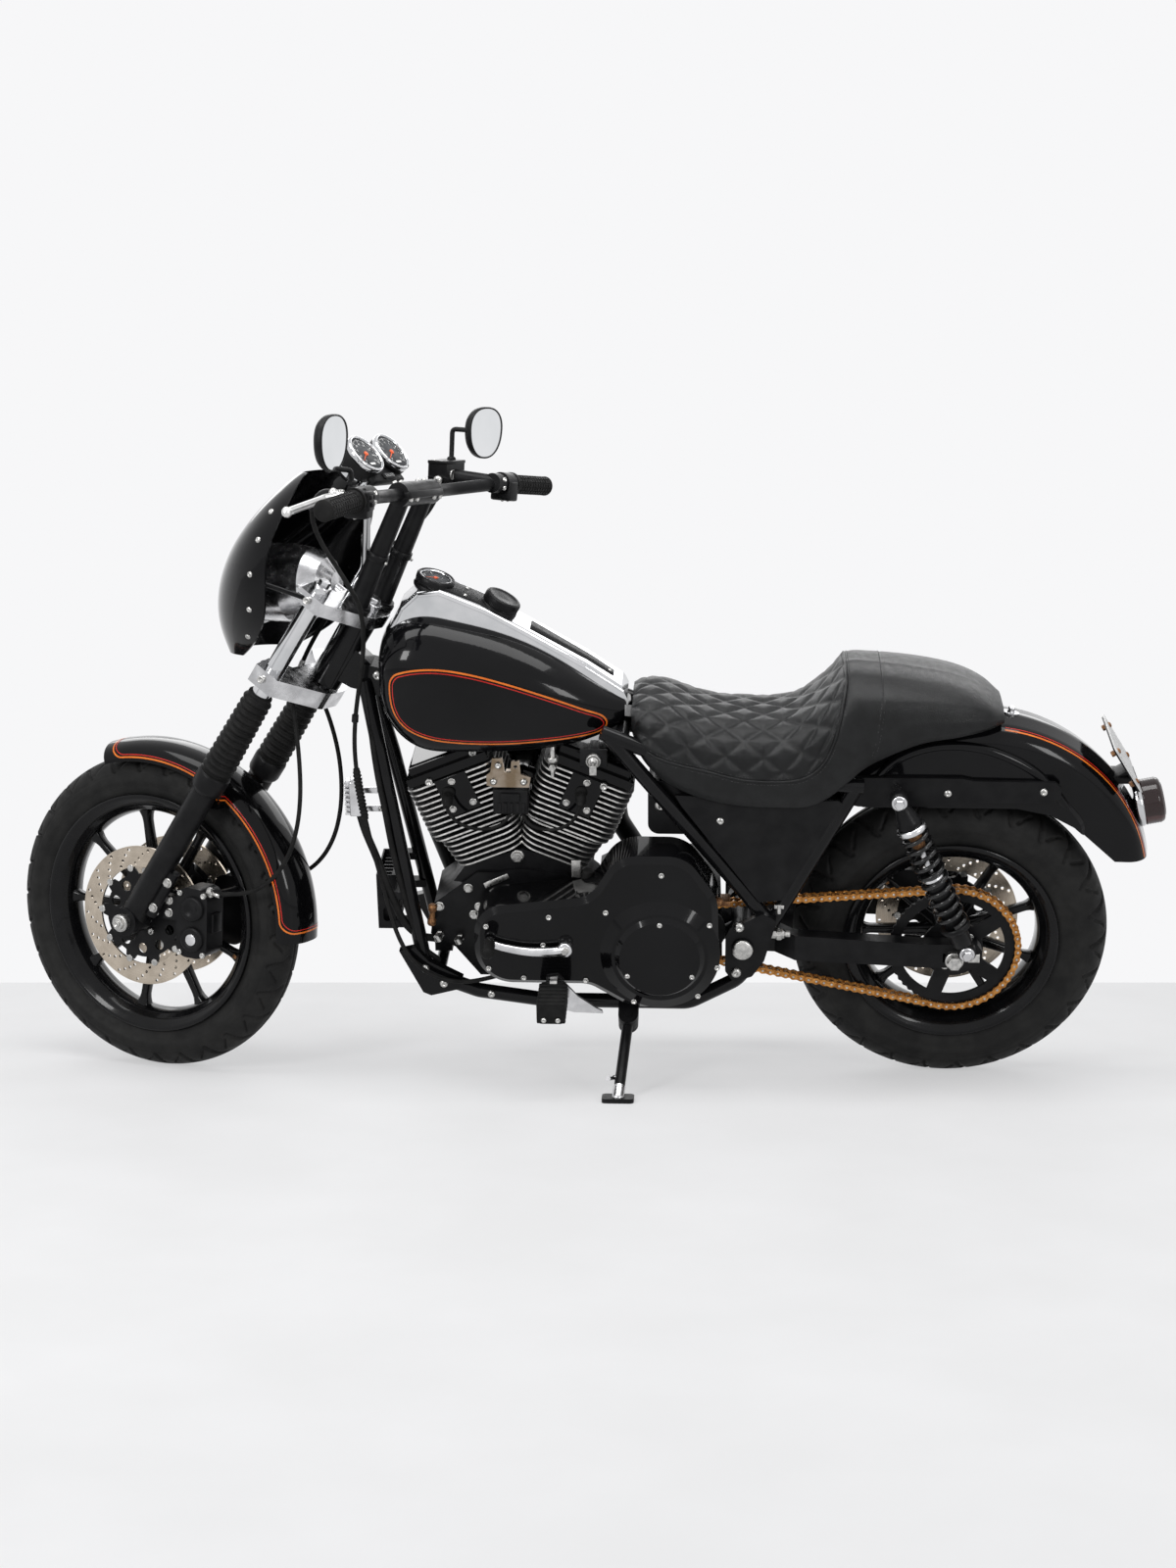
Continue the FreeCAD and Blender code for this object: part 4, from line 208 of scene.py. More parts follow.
FRAME = (Matrix.Translation(Vector(joints["rear_wheel_spin"]["pos_m"])) @ Matrix.Rotation(LEAN, 4, "X")
         @ Matrix.Rotation(PITCH, 4, "Y") @ Matrix.Translation(-REAR_AXLE * MM) @ Matrix.Scale(MM, 4))
STEERED = (FRAME @ Matrix.Translation(STEER_BASE) @ Matrix.Rotation(STEER, 4, FORK_UP)
           @ Matrix.Translation(-STEER_BASE))
POSES = {"frame": FRAME, "steering": STEERED, "front_wheel": STEERED, "rear_wheel": FRAME, "side_stand": FRAME}
show = bpy.context.scene.collection.objects.link


def on_leg(height, side=0.0):
    return FRONT_AXLE + FORK_UP * height + Vector((0, side, 0))


def on_steer(height):
    return STEER_BASE + FORK_UP * height


# Materials

MIDDLE = (0.3, 0.7)  # where nearly all of a noise's values lie


def fill(tree, made, inputs):
    """Links or sets each of a node's inputs."""
    for key, value in inputs.items():
        if isinstance(value, bpy.types.NodeSocket):
            tree.links.new(value, made.inputs[key])
        else:
            made.inputs[key].default_value = value


def node(tree, kind, inputs=None, **settings):
    made = tree.nodes.new("ShaderNode" + kind)
    for key, value in settings.items():
        setattr(made, key, value)
    fill(tree, made, inputs or {})
    return made


def calc(tree, operation, first, second=0.0):
    return node(tree, "Math", {0: first, 1: second}, operation=operation).outputs[0]


def vector_calc(tree, operation, first, second=None):
    """One step of vector arithmetic; second is a number for SCALE, and LENGTH has none."""
    inputs = {0: first}
    if second is not None:
        inputs["Scale" if operation == "SCALE" else 1] = second
    made = node(tree, "VectorMath", inputs, operation=operation)
    return made.outputs["Value" if operation in ("DOT_PRODUCT", "LENGTH") else "Vector"]


def axis_distance(tree, offset, axis):
    """How far an offset's end is from the axis."""
    along = vector_calc(tree, "DOT_PRODUCT", offset, axis)
    drop = vector_calc(tree, "SCALE", axis, along)
    return vector_calc(tree, "LENGTH", vector_calc(tree, "SUBTRACT", offset, drop))


def object_place(tree):
    return node(tree, "TexCoord").outputs["Object"]


def noise(tree, scale, detail):
    return node(tree, "TexNoise", {"Vector": object_place(tree), "Scale": scale, "Detail": detail}).outputs["Fac"]


def ramp(tree, source, *stops):
    """Colour between two (place, colour) stops."""
    made = node(tree, "ValToRGB", {"Fac": source})
    for element, (place, colour) in zip(made.color_ramp.elements, stops):
        element.position = place
        element.color = (*colour, 1)
    return made.outputs["Color"]


def spread(tree, value, low, high, source=(0.0, 1.0)):
    """The value, moved from its source range to low and high."""
    return node(tree, "MapRange", {"Value": value, "From Min": source[0], "From Max": source[1],
                                   "To Min": low, "To Max": high}).outputs["Result"]


def relief(tree, height, strength, distance=0.001):
    return node(tree, "Bump", {"Height": height, "Strength": strength, "Distance": distance}).outputs["Normal"]


def new_material(name):
    material = bpy.data.materials.new(name)
    material.use_nodes = True
    return material, material.node_tree, material.node_tree.nodes["Principled BSDF"]


def finish_material(name, dark, light, rough, metallic=0.0, grain=60.0, bump=0.0, bump_scale=400.0,
                    coat=0.0, coat_rough=0.05, coat_ior=1.5, specular=0.5, voronoi=False):
    """Two-tone colour, uneven roughness and a fine bump."""
    material, tree, shader = new_material(name)
    fill(tree, shader, {"Base Color": ramp(tree, noise(tree, grain, 4.0), (0.35, dark), (0.68, light)),
                        "Roughness": spread(tree, noise(tree, grain * 2.3, 5.0), *rough, MIDDLE),
                        "Metallic": metallic, "Specular IOR Level": specular, "Coat Weight": coat,
                        "Coat Roughness": coat_rough, "Coat IOR": coat_ior})
    if bump > 0:
        if voronoi:
            height = node(tree, "TexVoronoi", {"Vector": object_place(tree), "Scale": bump_scale}).outputs["Distance"]
        else:
            height = noise(tree, bump_scale, 4.0)
        fill(tree, shader, {"Normal": relief(tree, height, bump)})
    return material


def concentric_steel(name, joint):
    """Ground metal: fine rings about a wheel's axle."""
    material, tree, shader = new_material(name)
    offset = vector_calc(tree, "SUBTRACT", object_place(tree), Vector(joint["pos_m"]))
    rings = node(tree, "TexNoise", {"W": axis_distance(tree, offset, Vector(joint["axis"])), "Scale": 900.0,
                                    "Detail": 4.0}, noise_dimensions="1D").outputs["Fac"]
    shade = calc(tree, "MULTIPLY", rings, noise(tree, 35, 4.0))
    fill(tree, shader, {"Base Color": ramp(tree, shade, (0.12, (0.4, 0.345, 0.28)), (0.4, (0.58, 0.51, 0.425))),
                        "Roughness": spread(tree, rings, 0.2, 0.38, MIDDLE),
                        "Normal": relief(tree, rings, 0.25, 0.0004), "Metallic": 1.0})
    return material


def direction_in_row(vector):
    return (FRAME.to_3x3() @ Vector(vector)).normalized()


def fin_material():
    """Black cooling fins whose outer edges are machined bright."""
    material, tree, shader = new_material("fin_black_bright_edges")
    offset = vector_calc(tree, "SUBTRACT", object_place(tree), FRAME @ CRANK)
    forward = vector_calc(tree, "DOT_PRODUCT", offset, direction_in_row((1, 0, 0)))
    rear, front = (direction_in_row((sign * sin(FIN_HALF_ANGLE), 0, cos(FIN_HALF_ANGLE))) for sign in (-1, 1))
    axis = node(tree, "Mix", {"Factor": calc(tree, "GREATER_THAN", forward), "A": rear, "B": front},
                data_type="VECTOR").outputs["Result"]
    facing = vector_calc(tree, "DOT_PRODUCT", node(tree, "NewGeometry").outputs["True Normal"], axis)
    rim = calc(tree, "LESS_THAN", calc(tree, "ABSOLUTE", facing), 0.3)
    far = calc(tree, "GREATER_THAN", axis_distance(tree, offset, axis), 0.062)
    grime = ramp(tree, noise(tree, 140, 5.0), (0.3, (0.5, 0.5, 0.5)), (0.7, (1, 1, 1)))
    bright = calc(tree, "MULTIPLY", calc(tree, "MULTIPLY", rim, far), grime)
    colour = node(tree, "Mix", {"Factor": bright, "A": (0.012, 0.012, 0.013, 1), "B": (0.78, 0.77, 0.75, 1)},
                  data_type="RGBA").outputs["Result"]
    fill(tree, shader, {"Base Color": colour, "Metallic": bright, "Roughness": spread(tree, bright, 0.45, 0.27),
                        "Normal": relief(tree, noise(tree, 600, 4.0), 0.15)})
    return material


def glass_material(name, colour, rough):
    material, tree, shader = new_material(name)
    brighter = [min(1, c * 1.1) for c in colour]
    fill(tree, shader, {"Transmission Weight": 0.85, "IOR": 1.45,
                        "Base Color": ramp(tree, noise(tree, 30, 2.0), (0.3, colour), (0.7, brighter)),
                        "Roughness": spread(tree, noise(tree, 80, 3.0), rough, rough + 0.03)})
    return material
M = {
    "paint": finish_material("gloss_black_paint", (0.002, 0.002, 0.0023), (0.004, 0.004, 0.0046), (0.1, 0.2),
        grain=6, bump=0.02, bump_scale=260, coat=1.0, coat_rough=0.025, coat_ior=1.22, specular=0.06),
    "satin": finish_material("satin_black_coating", (0.004, 0.004, 0.0045), (0.009, 0.009, 0.0095), (0.3, 0.45),
        grain=25, bump=0.12, bump_scale=900, specular=0.14),
    "frame_paint": finish_material("frame_black_enamel", (0.003, 0.003, 0.0034), (0.006, 0.006, 0.0066),
        (0.16, 0.3), grain=18, bump=0.05, bump_scale=500, coat=0.8, coat_rough=0.06, coat_ior=1.24,
        specular=0.08),
    "plastic": finish_material("black_moulded_plastic", (0.006, 0.006, 0.0065), (0.012, 0.012, 0.0125),
        (0.36, 0.52), grain=40, bump=0.2, bump_scale=1400, voronoi=True, specular=0.14),
    "rubber": finish_material("black_rubber", (0.006, 0.006, 0.006), (0.012, 0.0118, 0.0115), (0.5, 0.7),
        grain=45, bump=0.25, bump_scale=900, specular=0.12),
    "tyre": finish_material("tyre_rubber", (0.008, 0.008, 0.008), (0.016, 0.0158, 0.0152), (0.5, 0.72),
        grain=22, bump=0.3, bump_scale=700, specular=0.15),
    "chrome": finish_material("chrome_plate", (0.55, 0.56, 0.57), (0.68, 0.68, 0.69), (0.04, 0.1), metallic=1.0,
        grain=14, bump=0.01, bump_scale=200),
    "polished": finish_material("polished_aluminium", (0.5, 0.5, 0.51), (0.7, 0.7, 0.71), (0.16, 0.3),
        metallic=1.0, grain=30, bump=0.06, bump_scale=500),
    "lever": finish_material("bare_lever_aluminium", (0.62, 0.62, 0.61), (0.76, 0.76, 0.75), (0.3, 0.42),
        metallic=0.9, grain=40, bump=0.05, bump_scale=500),
    "zinc": finish_material("zinc_fastener", (0.36, 0.36, 0.35), (0.62, 0.61, 0.59), (0.22, 0.42), metallic=1.0,
        grain=120, bump=0.08, bump_scale=900),
    "bronze": finish_material("gold_chain_plate", (0.26, 0.1, 0.022), (0.62, 0.29, 0.075), (0.28, 0.5),
        metallic=0.85, grain=150, bump=0.1, bump_scale=700),
    "leather": finish_material("black_leather", (0.003, 0.0032, 0.0034), (0.0075, 0.008, 0.0084), (0.3, 0.42),
        grain=35, bump=0.35, bump_scale=750, voronoi=True, specular=0.26),
    "thread": finish_material("seat_thread", (0.035, 0.035, 0.037), (0.075, 0.075, 0.075), (0.6, 0.8),
        grain=300, bump=0.3, bump_scale=2500, specular=0.2),
    "orange": finish_material("stripe_orange", (0.62, 0.13, 0.012), (0.74, 0.19, 0.02), (0.25, 0.4), grain=60,
        coat=0.5, coat_rough=0.06, coat_ior=1.32, specular=0.2),
    "red": finish_material("stripe_red", (0.42, 0.012, 0.008), (0.56, 0.02, 0.012), (0.25, 0.4), grain=60,
        coat=0.5, coat_rough=0.06, coat_ior=1.32, specular=0.2),
    "dial": finish_material("dial_grey", (0.05, 0.052, 0.055), (0.075, 0.078, 0.082), (0.5, 0.65), grain=60,
        specular=0.2),
    "dial_white": finish_material("dial_marks", (0.75, 0.75, 0.74), (0.9, 0.9, 0.88), (0.5, 0.6), grain=60),
    "needle": finish_material("needle_orange", (0.7, 0.08, 0.02), (0.85, 0.14, 0.03), (0.4, 0.5), grain=60),
    "mirror": finish_material("mirror_glass", (0.72, 0.74, 0.75), (0.8, 0.81, 0.82), (0.01, 0.03), metallic=1.0,
        grain=8),
    "spring": finish_material("spring_black", (0.004, 0.004, 0.0045), (0.01, 0.01, 0.0105), (0.2, 0.35),
        grain=60, coat=0.5, coat_rough=0.1, coat_ior=1.4, specular=0.25),
    "rust": finish_material("bump_stop_bronze", (0.12, 0.05, 0.02), (0.3, 0.15, 0.06), (0.4, 0.6), metallic=0.6,
        grain=200, bump=0.2),
    "heat_steel": finish_material("heat_tinted_steel", (0.2, 0.15, 0.1), (0.42, 0.36, 0.3), (0.24, 0.4),
        metallic=1.0, grain=22, bump=0.05),
    "plate": finish_material("plain_plate", (0.5, 0.5, 0.5), (0.62, 0.62, 0.61), (0.4, 0.55), grain=50,
        bump=0.05),
    "front_disc": concentric_steel("front_disc_steel", joints["front_wheel_spin"]),
    "rear_disc": concentric_steel("rear_disc_steel", joints["rear_wheel_spin"]),
    "fins": fin_material(),
    "lens": glass_material("clear_lens", (0.95, 0.96, 0.97), 0.02),
    "smoked": glass_material("smoked_lens", (0.02, 0.008, 0.008), 0.08),
    "lamp_inside": finish_material("lamp_reflector", (0.7, 0.7, 0.7), (0.85, 0.85, 0.85), (0.08, 0.15),
        metallic=1.0, grain=20),
}

FINISHES = {
    "tyre": "tyre", "gloss_black": "paint", "satin_black": "satin", "stainless": "front_disc",
    "polished": "polished", "chrome": "chrome", "chain": "bronze", "rubber": "rubber", "leather": "leather",
    "black_plastic": "plastic", "smoked_lens": "smoked", "fairing_paint": "paint", "zinc": "zinc",
}
OVERRIDES = {
    "rear_disc": "rear_disc", "cylinders": "fins", "steering_head_and_backbone": "frame_paint",
    "cradle_tubes": "frame_paint", "rear_frame_tubes": "frame_paint", "lower_cross_members": "frame_paint",
    "front_rim": "frame_paint", "rear_rim": "frame_paint", "side_covers": "satin", "regulator": "satin",
}
# The record's slot that each finish stands for, where a piece names no other
SLOTS = {finish: slot for slot, finish in reversed(FINISHES.items())}
SLOTS |= {
    "dial": "black_plastic", "dial_white": "black_plastic", "needle": "black_plastic", "lever": "polished",
    "frame_paint": "gloss_black", "orange": "gloss_black", "red": "gloss_black", "heat_steel": "zinc",
    "rust": "zinc", "lamp_inside": "polished", "plate": "polished", "mirror": "chrome", "lens": "smoked_lens",
    "spring": "satin_black", "thread": "leather",
}
slot_of = {entry["node"]: entry["material_slot"] for entry in frame["record"]["subparts"]}
for name, obj in nodes.items():
    chosen = M[OVERRIDES.get(name, FINISHES[slot_of[name]])]
    if len(obj.material_slots) == 0:
        obj.data.materials.append(chosen)
    for slot in obj.material_slots:
        slot.material = chosen


# Mesh tools

def polar(radius, angle):
    return radius * cos(angle), radius * sin(angle)


def upright(radius, angle, side=0.0):
    """Offset from a sideways axis."""
    return Vector((radius * cos(angle), side, radius * sin(angle)))


def circle(u, v, radius, count=20):
    return [(u + x, v + y) for x, y in (polar(radius, tau * k / count) for k in range(count))]


def inside(point, loop):
    x, y = point
    hit = False
    for (x1, y1), (x2, y2) in zip(loop, loop[1:] + loop[:1]):
        if (y1 > y) != (y2 > y) and x < (x2 - x1) * (y - y1) / (y2 - y1) + x1:
            hit = not hit
    return hit


def grid(rows, columns, closed=False):
    """Faces between rows of points that are closed loops; closed joins the last row to the first."""
    return [(i * columns + k, i * columns + (k + 1) % columns,
             (i + 1) % rows * columns + (k + 1) % columns, (i + 1) % rows * columns + k)
            for i in range(rows if closed else rows - 1) for k in range(columns)]


def turned(origin, axis):
    """Maps (radius, angle, distance along) to a place round the axis."""
    turn = Vector(axis).normalized().to_track_quat("Z", "Y").to_matrix()
    return lambda radius, angle, along: Vector(origin) + turn @ Vector((*polar(radius, angle), along))


class Piece:
    """Points and faces gathered in drawing millimetres, made into one mesh that rides on a body."""

    def __init__(self, name, finish, body, replaced=(), slot=None):
        self.name, self.finish, self.body, self.replaced = name, finish, body, replaced
        self.slot = slot or SLOTS[finish]
        self.points, self.faces, self.smooth = [], [], []

    def add(self, points, faces, smooth=True):
        base = len(self.points)
        self.points += [tuple(p) for p in points]
        self.faces += [tuple(base + i for i in f) for f in faces]
        self.smooth += [smooth] * len(faces)

    def close_ends(self, points, count):
        """Flat faces over the first and the last loop of a grid."""
        self.add(points[:count], [tuple(reversed(range(count)))], False)
        self.add(points[-count:], [tuple(range(count))], False)

    def lathe(self, profile, origin, axis, segments=32, smooth=True):
        """Solid turned from (radius, distance along the axis) pairs."""
        place = turned(origin, axis)
        points = [place(radius, tau * k / segments, along) for radius, along in profile for k in range(segments)]
        self.add(points, grid(len(profile), segments), smooth)
        self.close_ends(points, segments)

    def ring(self, profile, origin, axis, segments=48):
        """Closed (radius, distance) loop turned round the axis."""
        place = turned(origin, axis)
        points = [place(radius, tau * k / segments, along) for k in range(segments) for radius, along in profile]
        self.add(points, grid(segments, len(profile), True))

    def cylinder(self, start, end, radius, segments=24, bevel=0.6):
        start, end = Vector(start), Vector(end)
        length = (end - start).length
        bevel = min(bevel, radius * 0.4, length * 0.4)
        self.lathe([(radius - bevel, 0), (radius, bevel), (radius, length - bevel), (radius - bevel, length)],
                   start, end - start, segments)

    def bolt(self, seat, direction, radius, height, kind):
        """Bolt head: hex on a washer, socket or dome."""
        direction = Vector(direction).normalized()
        if kind == "hex":
            self.lathe([(radius * 1.25, 0), (radius * 1.25, 1.2), (radius * 1.0, 1.2)], seat, direction, 20)
            self.lathe([(radius, 1.2), (radius, height - 0.8), (radius * 0.86, height)], seat, direction, 6, False)
        elif kind == "socket":
            self.lathe([(radius, 0), (radius, height - 0.6), (radius - 0.6, height), (radius * 0.55, height),
                        (radius * 0.5, height * 0.45), (0.01, height * 0.45)], seat, direction, 20)
        else:
            self.lathe([(radius, 0), (radius, height * 0.25), (radius * 0.9, height * 0.6),
                        (radius * 0.62, height * 0.9), (radius * 0.36, height), (radius * 0.3, height * 0.7),
                        (0.01, height * 0.7)], seat, direction, 20)

    def sweep(self, path, radius, segments=12, scale_at=None):
        """Round bar along a path; scale_at gives its share of the radius at each share of the path."""
        path = [Vector(p) for p in path]
        last = len(path) - 1
        tangents = [(path[min(i + 1, last)] - path[max(i - 1, 0)]).normalized() for i in range(len(path))]
        normal = tangents[0].orthogonal().normalized()
        points = []
        for i, (place, tangent) in enumerate(zip(path, tangents)):
            if i:
                normal = (tangents[i - 1].rotation_difference(tangent) @ normal).normalized()
            side = tangent.cross(normal).normalized()
            size = radius * (scale_at(i / max(1, last)) if scale_at else 1)
            for k in range(segments):
                across, up = polar(1, tau * k / segments)
                points.append(place + (normal * across + side * up) * size)
        self.add(points, grid(len(path), segments))
        self.close_ends(points, segments)

    def box(self, low, high, turn=Matrix.Identity(3), origin=(0, 0, 0), bevel=1.0):
        mesh = bmesh.new()
        bmesh.ops.create_cube(mesh, size=1)
        size, middle = Vector(high) - Vector(low), (Vector(high) + Vector(low)) / 2
        for v in mesh.verts:
            v.co = v.co * size + middle
        bmesh.ops.bevel(mesh, geom=mesh.edges[:], offset=bevel, segments=2, affect="EDGES", profile=0.6)
        index = {v: i for i, v in enumerate(mesh.verts)}
        self.add([turn @ v.co + Vector(origin) for v in mesh.verts],
                 [[index[v] for v in f.verts] for f in mesh.faces])
        mesh.free()

    def plate(self, outline, holes, low, high, to_space):
        """Flat plate with holes: outline and holes are 2-D loops, to_space maps (u, v, height) to a point."""
        coordinates, edges = [], []
        loops = [outline, *holes]
        for loop in loops:
            base = len(coordinates)
            coordinates += [Vector(p) for p in loop]
            edges += [(base + i, base + (i + 1) % len(loop)) for i in range(len(loop))]
        flat, _, triangles = delaunay_2d_cdt(coordinates, edges, [], 2, 1e-5)[:3]
        kept = []
        for face in triangles:
            middle = (sum(flat[i].x for i in face) / len(face), sum(flat[i].y for i in face) / len(face))
            if inside(middle, outline) and not any(inside(middle, hole) for hole in holes):
                kept.append(tuple(face))
        self.add([to_space(p.x, p.y, high) for p in flat], kept, False)
        self.add([to_space(p.x, p.y, low) for p in flat], [tuple(reversed(f)) for f in kept], False)
        for loop in loops:
            n = len(loop)
            self.add([to_space(u, v, height) for height in (high, low) for u, v in loop],
                     [(i, n + i, n + (i + 1) % n, (i + 1) % n) for i in range(n)])

    def build(self, ride=True):
        mesh = bpy.data.meshes.new(self.name)
        mesh.from_pydata([POSES[self.body] @ Vector(p) for p in self.points], [], self.faces)
        mesh.polygons.foreach_set("use_smooth", self.smooth)
        work = bmesh.new()
        work.from_mesh(mesh)
        bmesh.ops.recalc_face_normals(work, faces=work.faces)
        work.to_mesh(mesh)
        work.free()
        mesh.materials.append(M[self.finish])
        obj = bpy.data.objects.new(self.name, mesh)
        show(obj)
        if ride:
            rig.ride(obj, self.body)
        if self.replaced:
            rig.replaces(obj, *self.replaced)
        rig.slot(obj, self.slot)
        return obj


def build_all(*pieces):
    for piece in pieces:
        piece.build()


def smooth_path(points, step=4.0, closed=False):
    """Catmull-Rom line through the points, sampled about every step."""
    points = [Vector(p) for p in points]
    count = len(points)
    out = []
    for i in range(count if closed else count - 1):
        p1, p2 = points[i], points[(i + 1) % count]
        p0 = points[i - 1] if (closed or i) else p1 + (p1 - p2)
        p3 = points[(i + 2) % count] if (closed or i + 2 < count) else p2 + (p2 - p1)
        pieces = max(2, int((p2 - p1).length / step))
        for k in range(pieces):
            t = k / pieces
            out.append(0.5 * ((2 * p1) + (p2 - p0) * t + (2 * p0 - 5 * p1 + 4 * p2 - p3) * t * t
                              + (3 * p1 - p0 - 3 * p2 + p3) * t ** 3))
    return out if closed else out + [points[-1]]


def surface(node_name, body):
    """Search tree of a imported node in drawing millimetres."""
    back = POSES[body].inverted()
    mesh = nodes[node_name].data
    return BVHTree.FromPolygons([back @ v.co for v in mesh.vertices], [tuple(p.vertices) for p in mesh.polygons])


# Tyres with cut tread

def tread_tyre(name, replaced, body, centre, radius, width, rim_radius, blocks, depth):
    """Tyre skin: fine rings round the axle, grooves pressed into the crown, ribs on the walls."""
    steps, wall_steps, arc_steps = 720, 9, 58
    crown = width / 2
    bead = crown - 16
    crown_centre = radius - crown
    flank = []
    for k in range(wall_steps):
        t = k / wall_steps
        flank.append((-bead + (bead - crown) * t, rim_radius + (crown_centre - rim_radius) * t))
    section = list(flank)
    for k in range(arc_steps + 1):
        across, up = polar(crown, pi - pi * k / arc_steps)
        section.append((across, crown_centre + up))
    section += [(-u, v) for u, v in reversed(flank)]
    normals = [Vector((u, v - crown_centre) if crown_centre <= v else (copysign(1, u), -0.35)).normalized()
               for u, v in section]
    points = []
    for step in range(steps):
        around = tau * step / steps
        phase = around / tau * blocks
        for n, (u, v) in zip(normals, section):
            inset = 0.0
            if v >= crown_centre:
                tilt = degrees(atan2(u, v - crown_centre))
                side = abs(tilt)
                local = phase + (0.0 if tilt > 0 else 0.5)
                sweep = local + side * 0.011 + 0.10 * sin(side * 0.07)
                band = abs((sweep % 1) - 0.5)
                if 12 < side < 66 and band > 0.5 - 0.062:
                    inset = depth
                second = abs(((local + 0.5 - side * 0.013) % 1) - 0.5)
                if 34 < side < 58 and second > 0.5 - 0.05:
                    inset = depth
                if side < 1.6:
                    inset = depth * 0.8
                if 69 < side < 71.5:
                    inset = 0.9
            else:
                wall = (v - rim_radius) / (crown_centre - rim_radius)
                if 0.16 < wall < 0.22 or 0.72 < wall < 0.8:
                    inset = 0.8
            r = v - n.y * inset
            points.append(centre + Vector((r * sin(around), u - n.x * inset, r * cos(around))))
    piece = Piece(name, "tyre", body, (replaced,))
    piece.add(points, grid(steps, len(section), True))
    piece.build()


tread_tyre("front_tyre_tread", "front_tyre", "front_wheel", FRONT_AXLE, FRONT_RADIUS, 104, FRONT_RIM, 30, 4.0)
tread_tyre("rear_tyre_tread", "rear_tyre", "rear_wheel", REAR_AXLE, REAR_RADIUS, 132, REAR_RIM, 26, 4.5)


# Brake discs with drilled rings and riveted carriers

def drilled_disc(name, replaced, body, centre, sides, finish):
    piece = Piece(name, finish, body, (replaced,), slot="stainless")
    carrier = Piece(name + "_carrier", "satin", body, slot="stainless")
    buttons = Piece(name + "_rivets", "zinc", body, slot="stainless")
    rows, arms = 18, 10
    holes = [circle(0, 0, 103, 120)]
    for k in range(rows):
        for step in range(4):
            r, angle = 110 + step * 9.5, tau * k / rows + step * 0.085
            holes.append(circle(*polar(r, angle), 3.4, 12))
    star = [polar(99 if abs(((k / 12) % 1) - 0.5) > 0.28 else 88, tau * k / 120) for k in range(120)]
    windows = [circle(0, 0, 24, 40)]
    windows += [circle(*polar(70, tau * (k + 0.5) / arms), 11, 20) for k in range(arms)]
    for side in sides:
        def place(u, v, height, side=side):
            return centre + Vector((u, side + height, v))

        piece.plate(circle(0, 0, 146, 180), holes, -2.5, 2.5, place)
        carrier.plate(star, windows, -2.2, 2.2, place)
        for k in range(arms):
            at = centre + upright(101, tau * k / arms, side)
            buttons.cylinder(at - Vector((0, 4.2, 0)), at + Vector((0, 4.2, 0)), 7.5, 20)
        out = 1 if side > 0 else -1
        for k in range(5):
            buttons.bolt(centre + upright(38, tau * k / 5 + 0.3, side + out * 2.4), (0, out, 0), 6.5, 5, "socket")
    build_all(piece, carrier, buttons)


drilled_disc("front_brake_rotors", "front_discs", "front_wheel", FRONT_AXLE, (DISC_SIDE, -DISC_SIDE), "front_disc")
drilled_disc("rear_brake_rotor", "rear_disc", "rear_wheel", REAR_AXLE, (-DISC_SIDE,), "rear_disc")


# Drive chain of rollers and side plates

def link_chain():
    rear_r, front_r = 118 + 14, 44 + 14
    link_pitch = 15.875
    front_c = Vector((510, 0, 352))
    tilt = asin((rear_r - front_r) / (front_c - REAR_AXLE).length)
    line = atan2(front_c.z - REAR_AXLE.z, front_c.x - REAR_AXLE.x)
    path = []
    for centre, radius, first, turn, steps in ((REAR_AXLE, rear_r, line + pi / 2 - tilt, pi + 2 * tilt, 60),
                                               (front_c, front_r, line - pi / 2 + tilt, pi - 2 * tilt, 40)):
        for k in range(steps):
            across, up = polar(radius, first + turn * k / (steps - 1))
            path.append(Vector((centre.x + across, CHAIN_SIDE, centre.z + up)))
    lengths = [0.0]
    for a, b in zip(path, path[1:] + path[:1]):
        lengths.append(lengths[-1] + (b - a).length)
    total = lengths[-1]
    count = 2 * round(total / link_pitch / 2)
    pins = []
    for k in range(count):
        wanted = total * k / count
        i = max(j for j in range(len(path)) if lengths[j] <= wanted)
        a, b = path[i], path[(i + 1) % len(path)]
        pins.append(a.lerp(b, (wanted - lengths[i]) / max(1e-6, lengths[i + 1] - lengths[i])))
    plates = Piece("chain_plates", "bronze", "frame", ("drive_chain",))
    steel = Piece("chain_pins_and_rollers", "zinc", "frame", slot="chain")
    half_turn = [pi / 2 + pi * j / 10 for j in range(11)]
    for k, pin in enumerate(pins):
        after = pins[(k + 1) % count]
        pitch = (after - pin).length
        along = (after - pin).normalized()
        up = Vector((-along.z, 0, along.x))
        outline = [polar(7.2, angle) for angle in half_turn] + [(pitch / 2, -5.0)]
        outline += [(pitch - x, -y) for x, y in outline[:-1]] + [(pitch / 2, 5.0)]
        n = len(outline)
        for low in (8.2, -9.9) if k % 2 == 0 else (6.2, -7.9):
            near = [pin + along * u + up * v + Vector((0, low, 0)) for u, v in outline]
            far = [p + Vector((0, 1.7, 0)) for p in near]
            plates.add(near + far, [tuple(range(n)), tuple(reversed(range(n, 2 * n)))] + grid(2, n), False)
        for half, radius, segments, bevel in ((10.8, 2.6, 10, 0.4), (6, 5.0, 12, 0.3)):
            steel.cylinder(pin - Vector((0, half, 0)), pin + Vector((0, half, 0)), radius, segments, bevel)
    build_all(plates, steel)


link_chain()

# Lines laid on the painted panels

OUTSIDE = 400


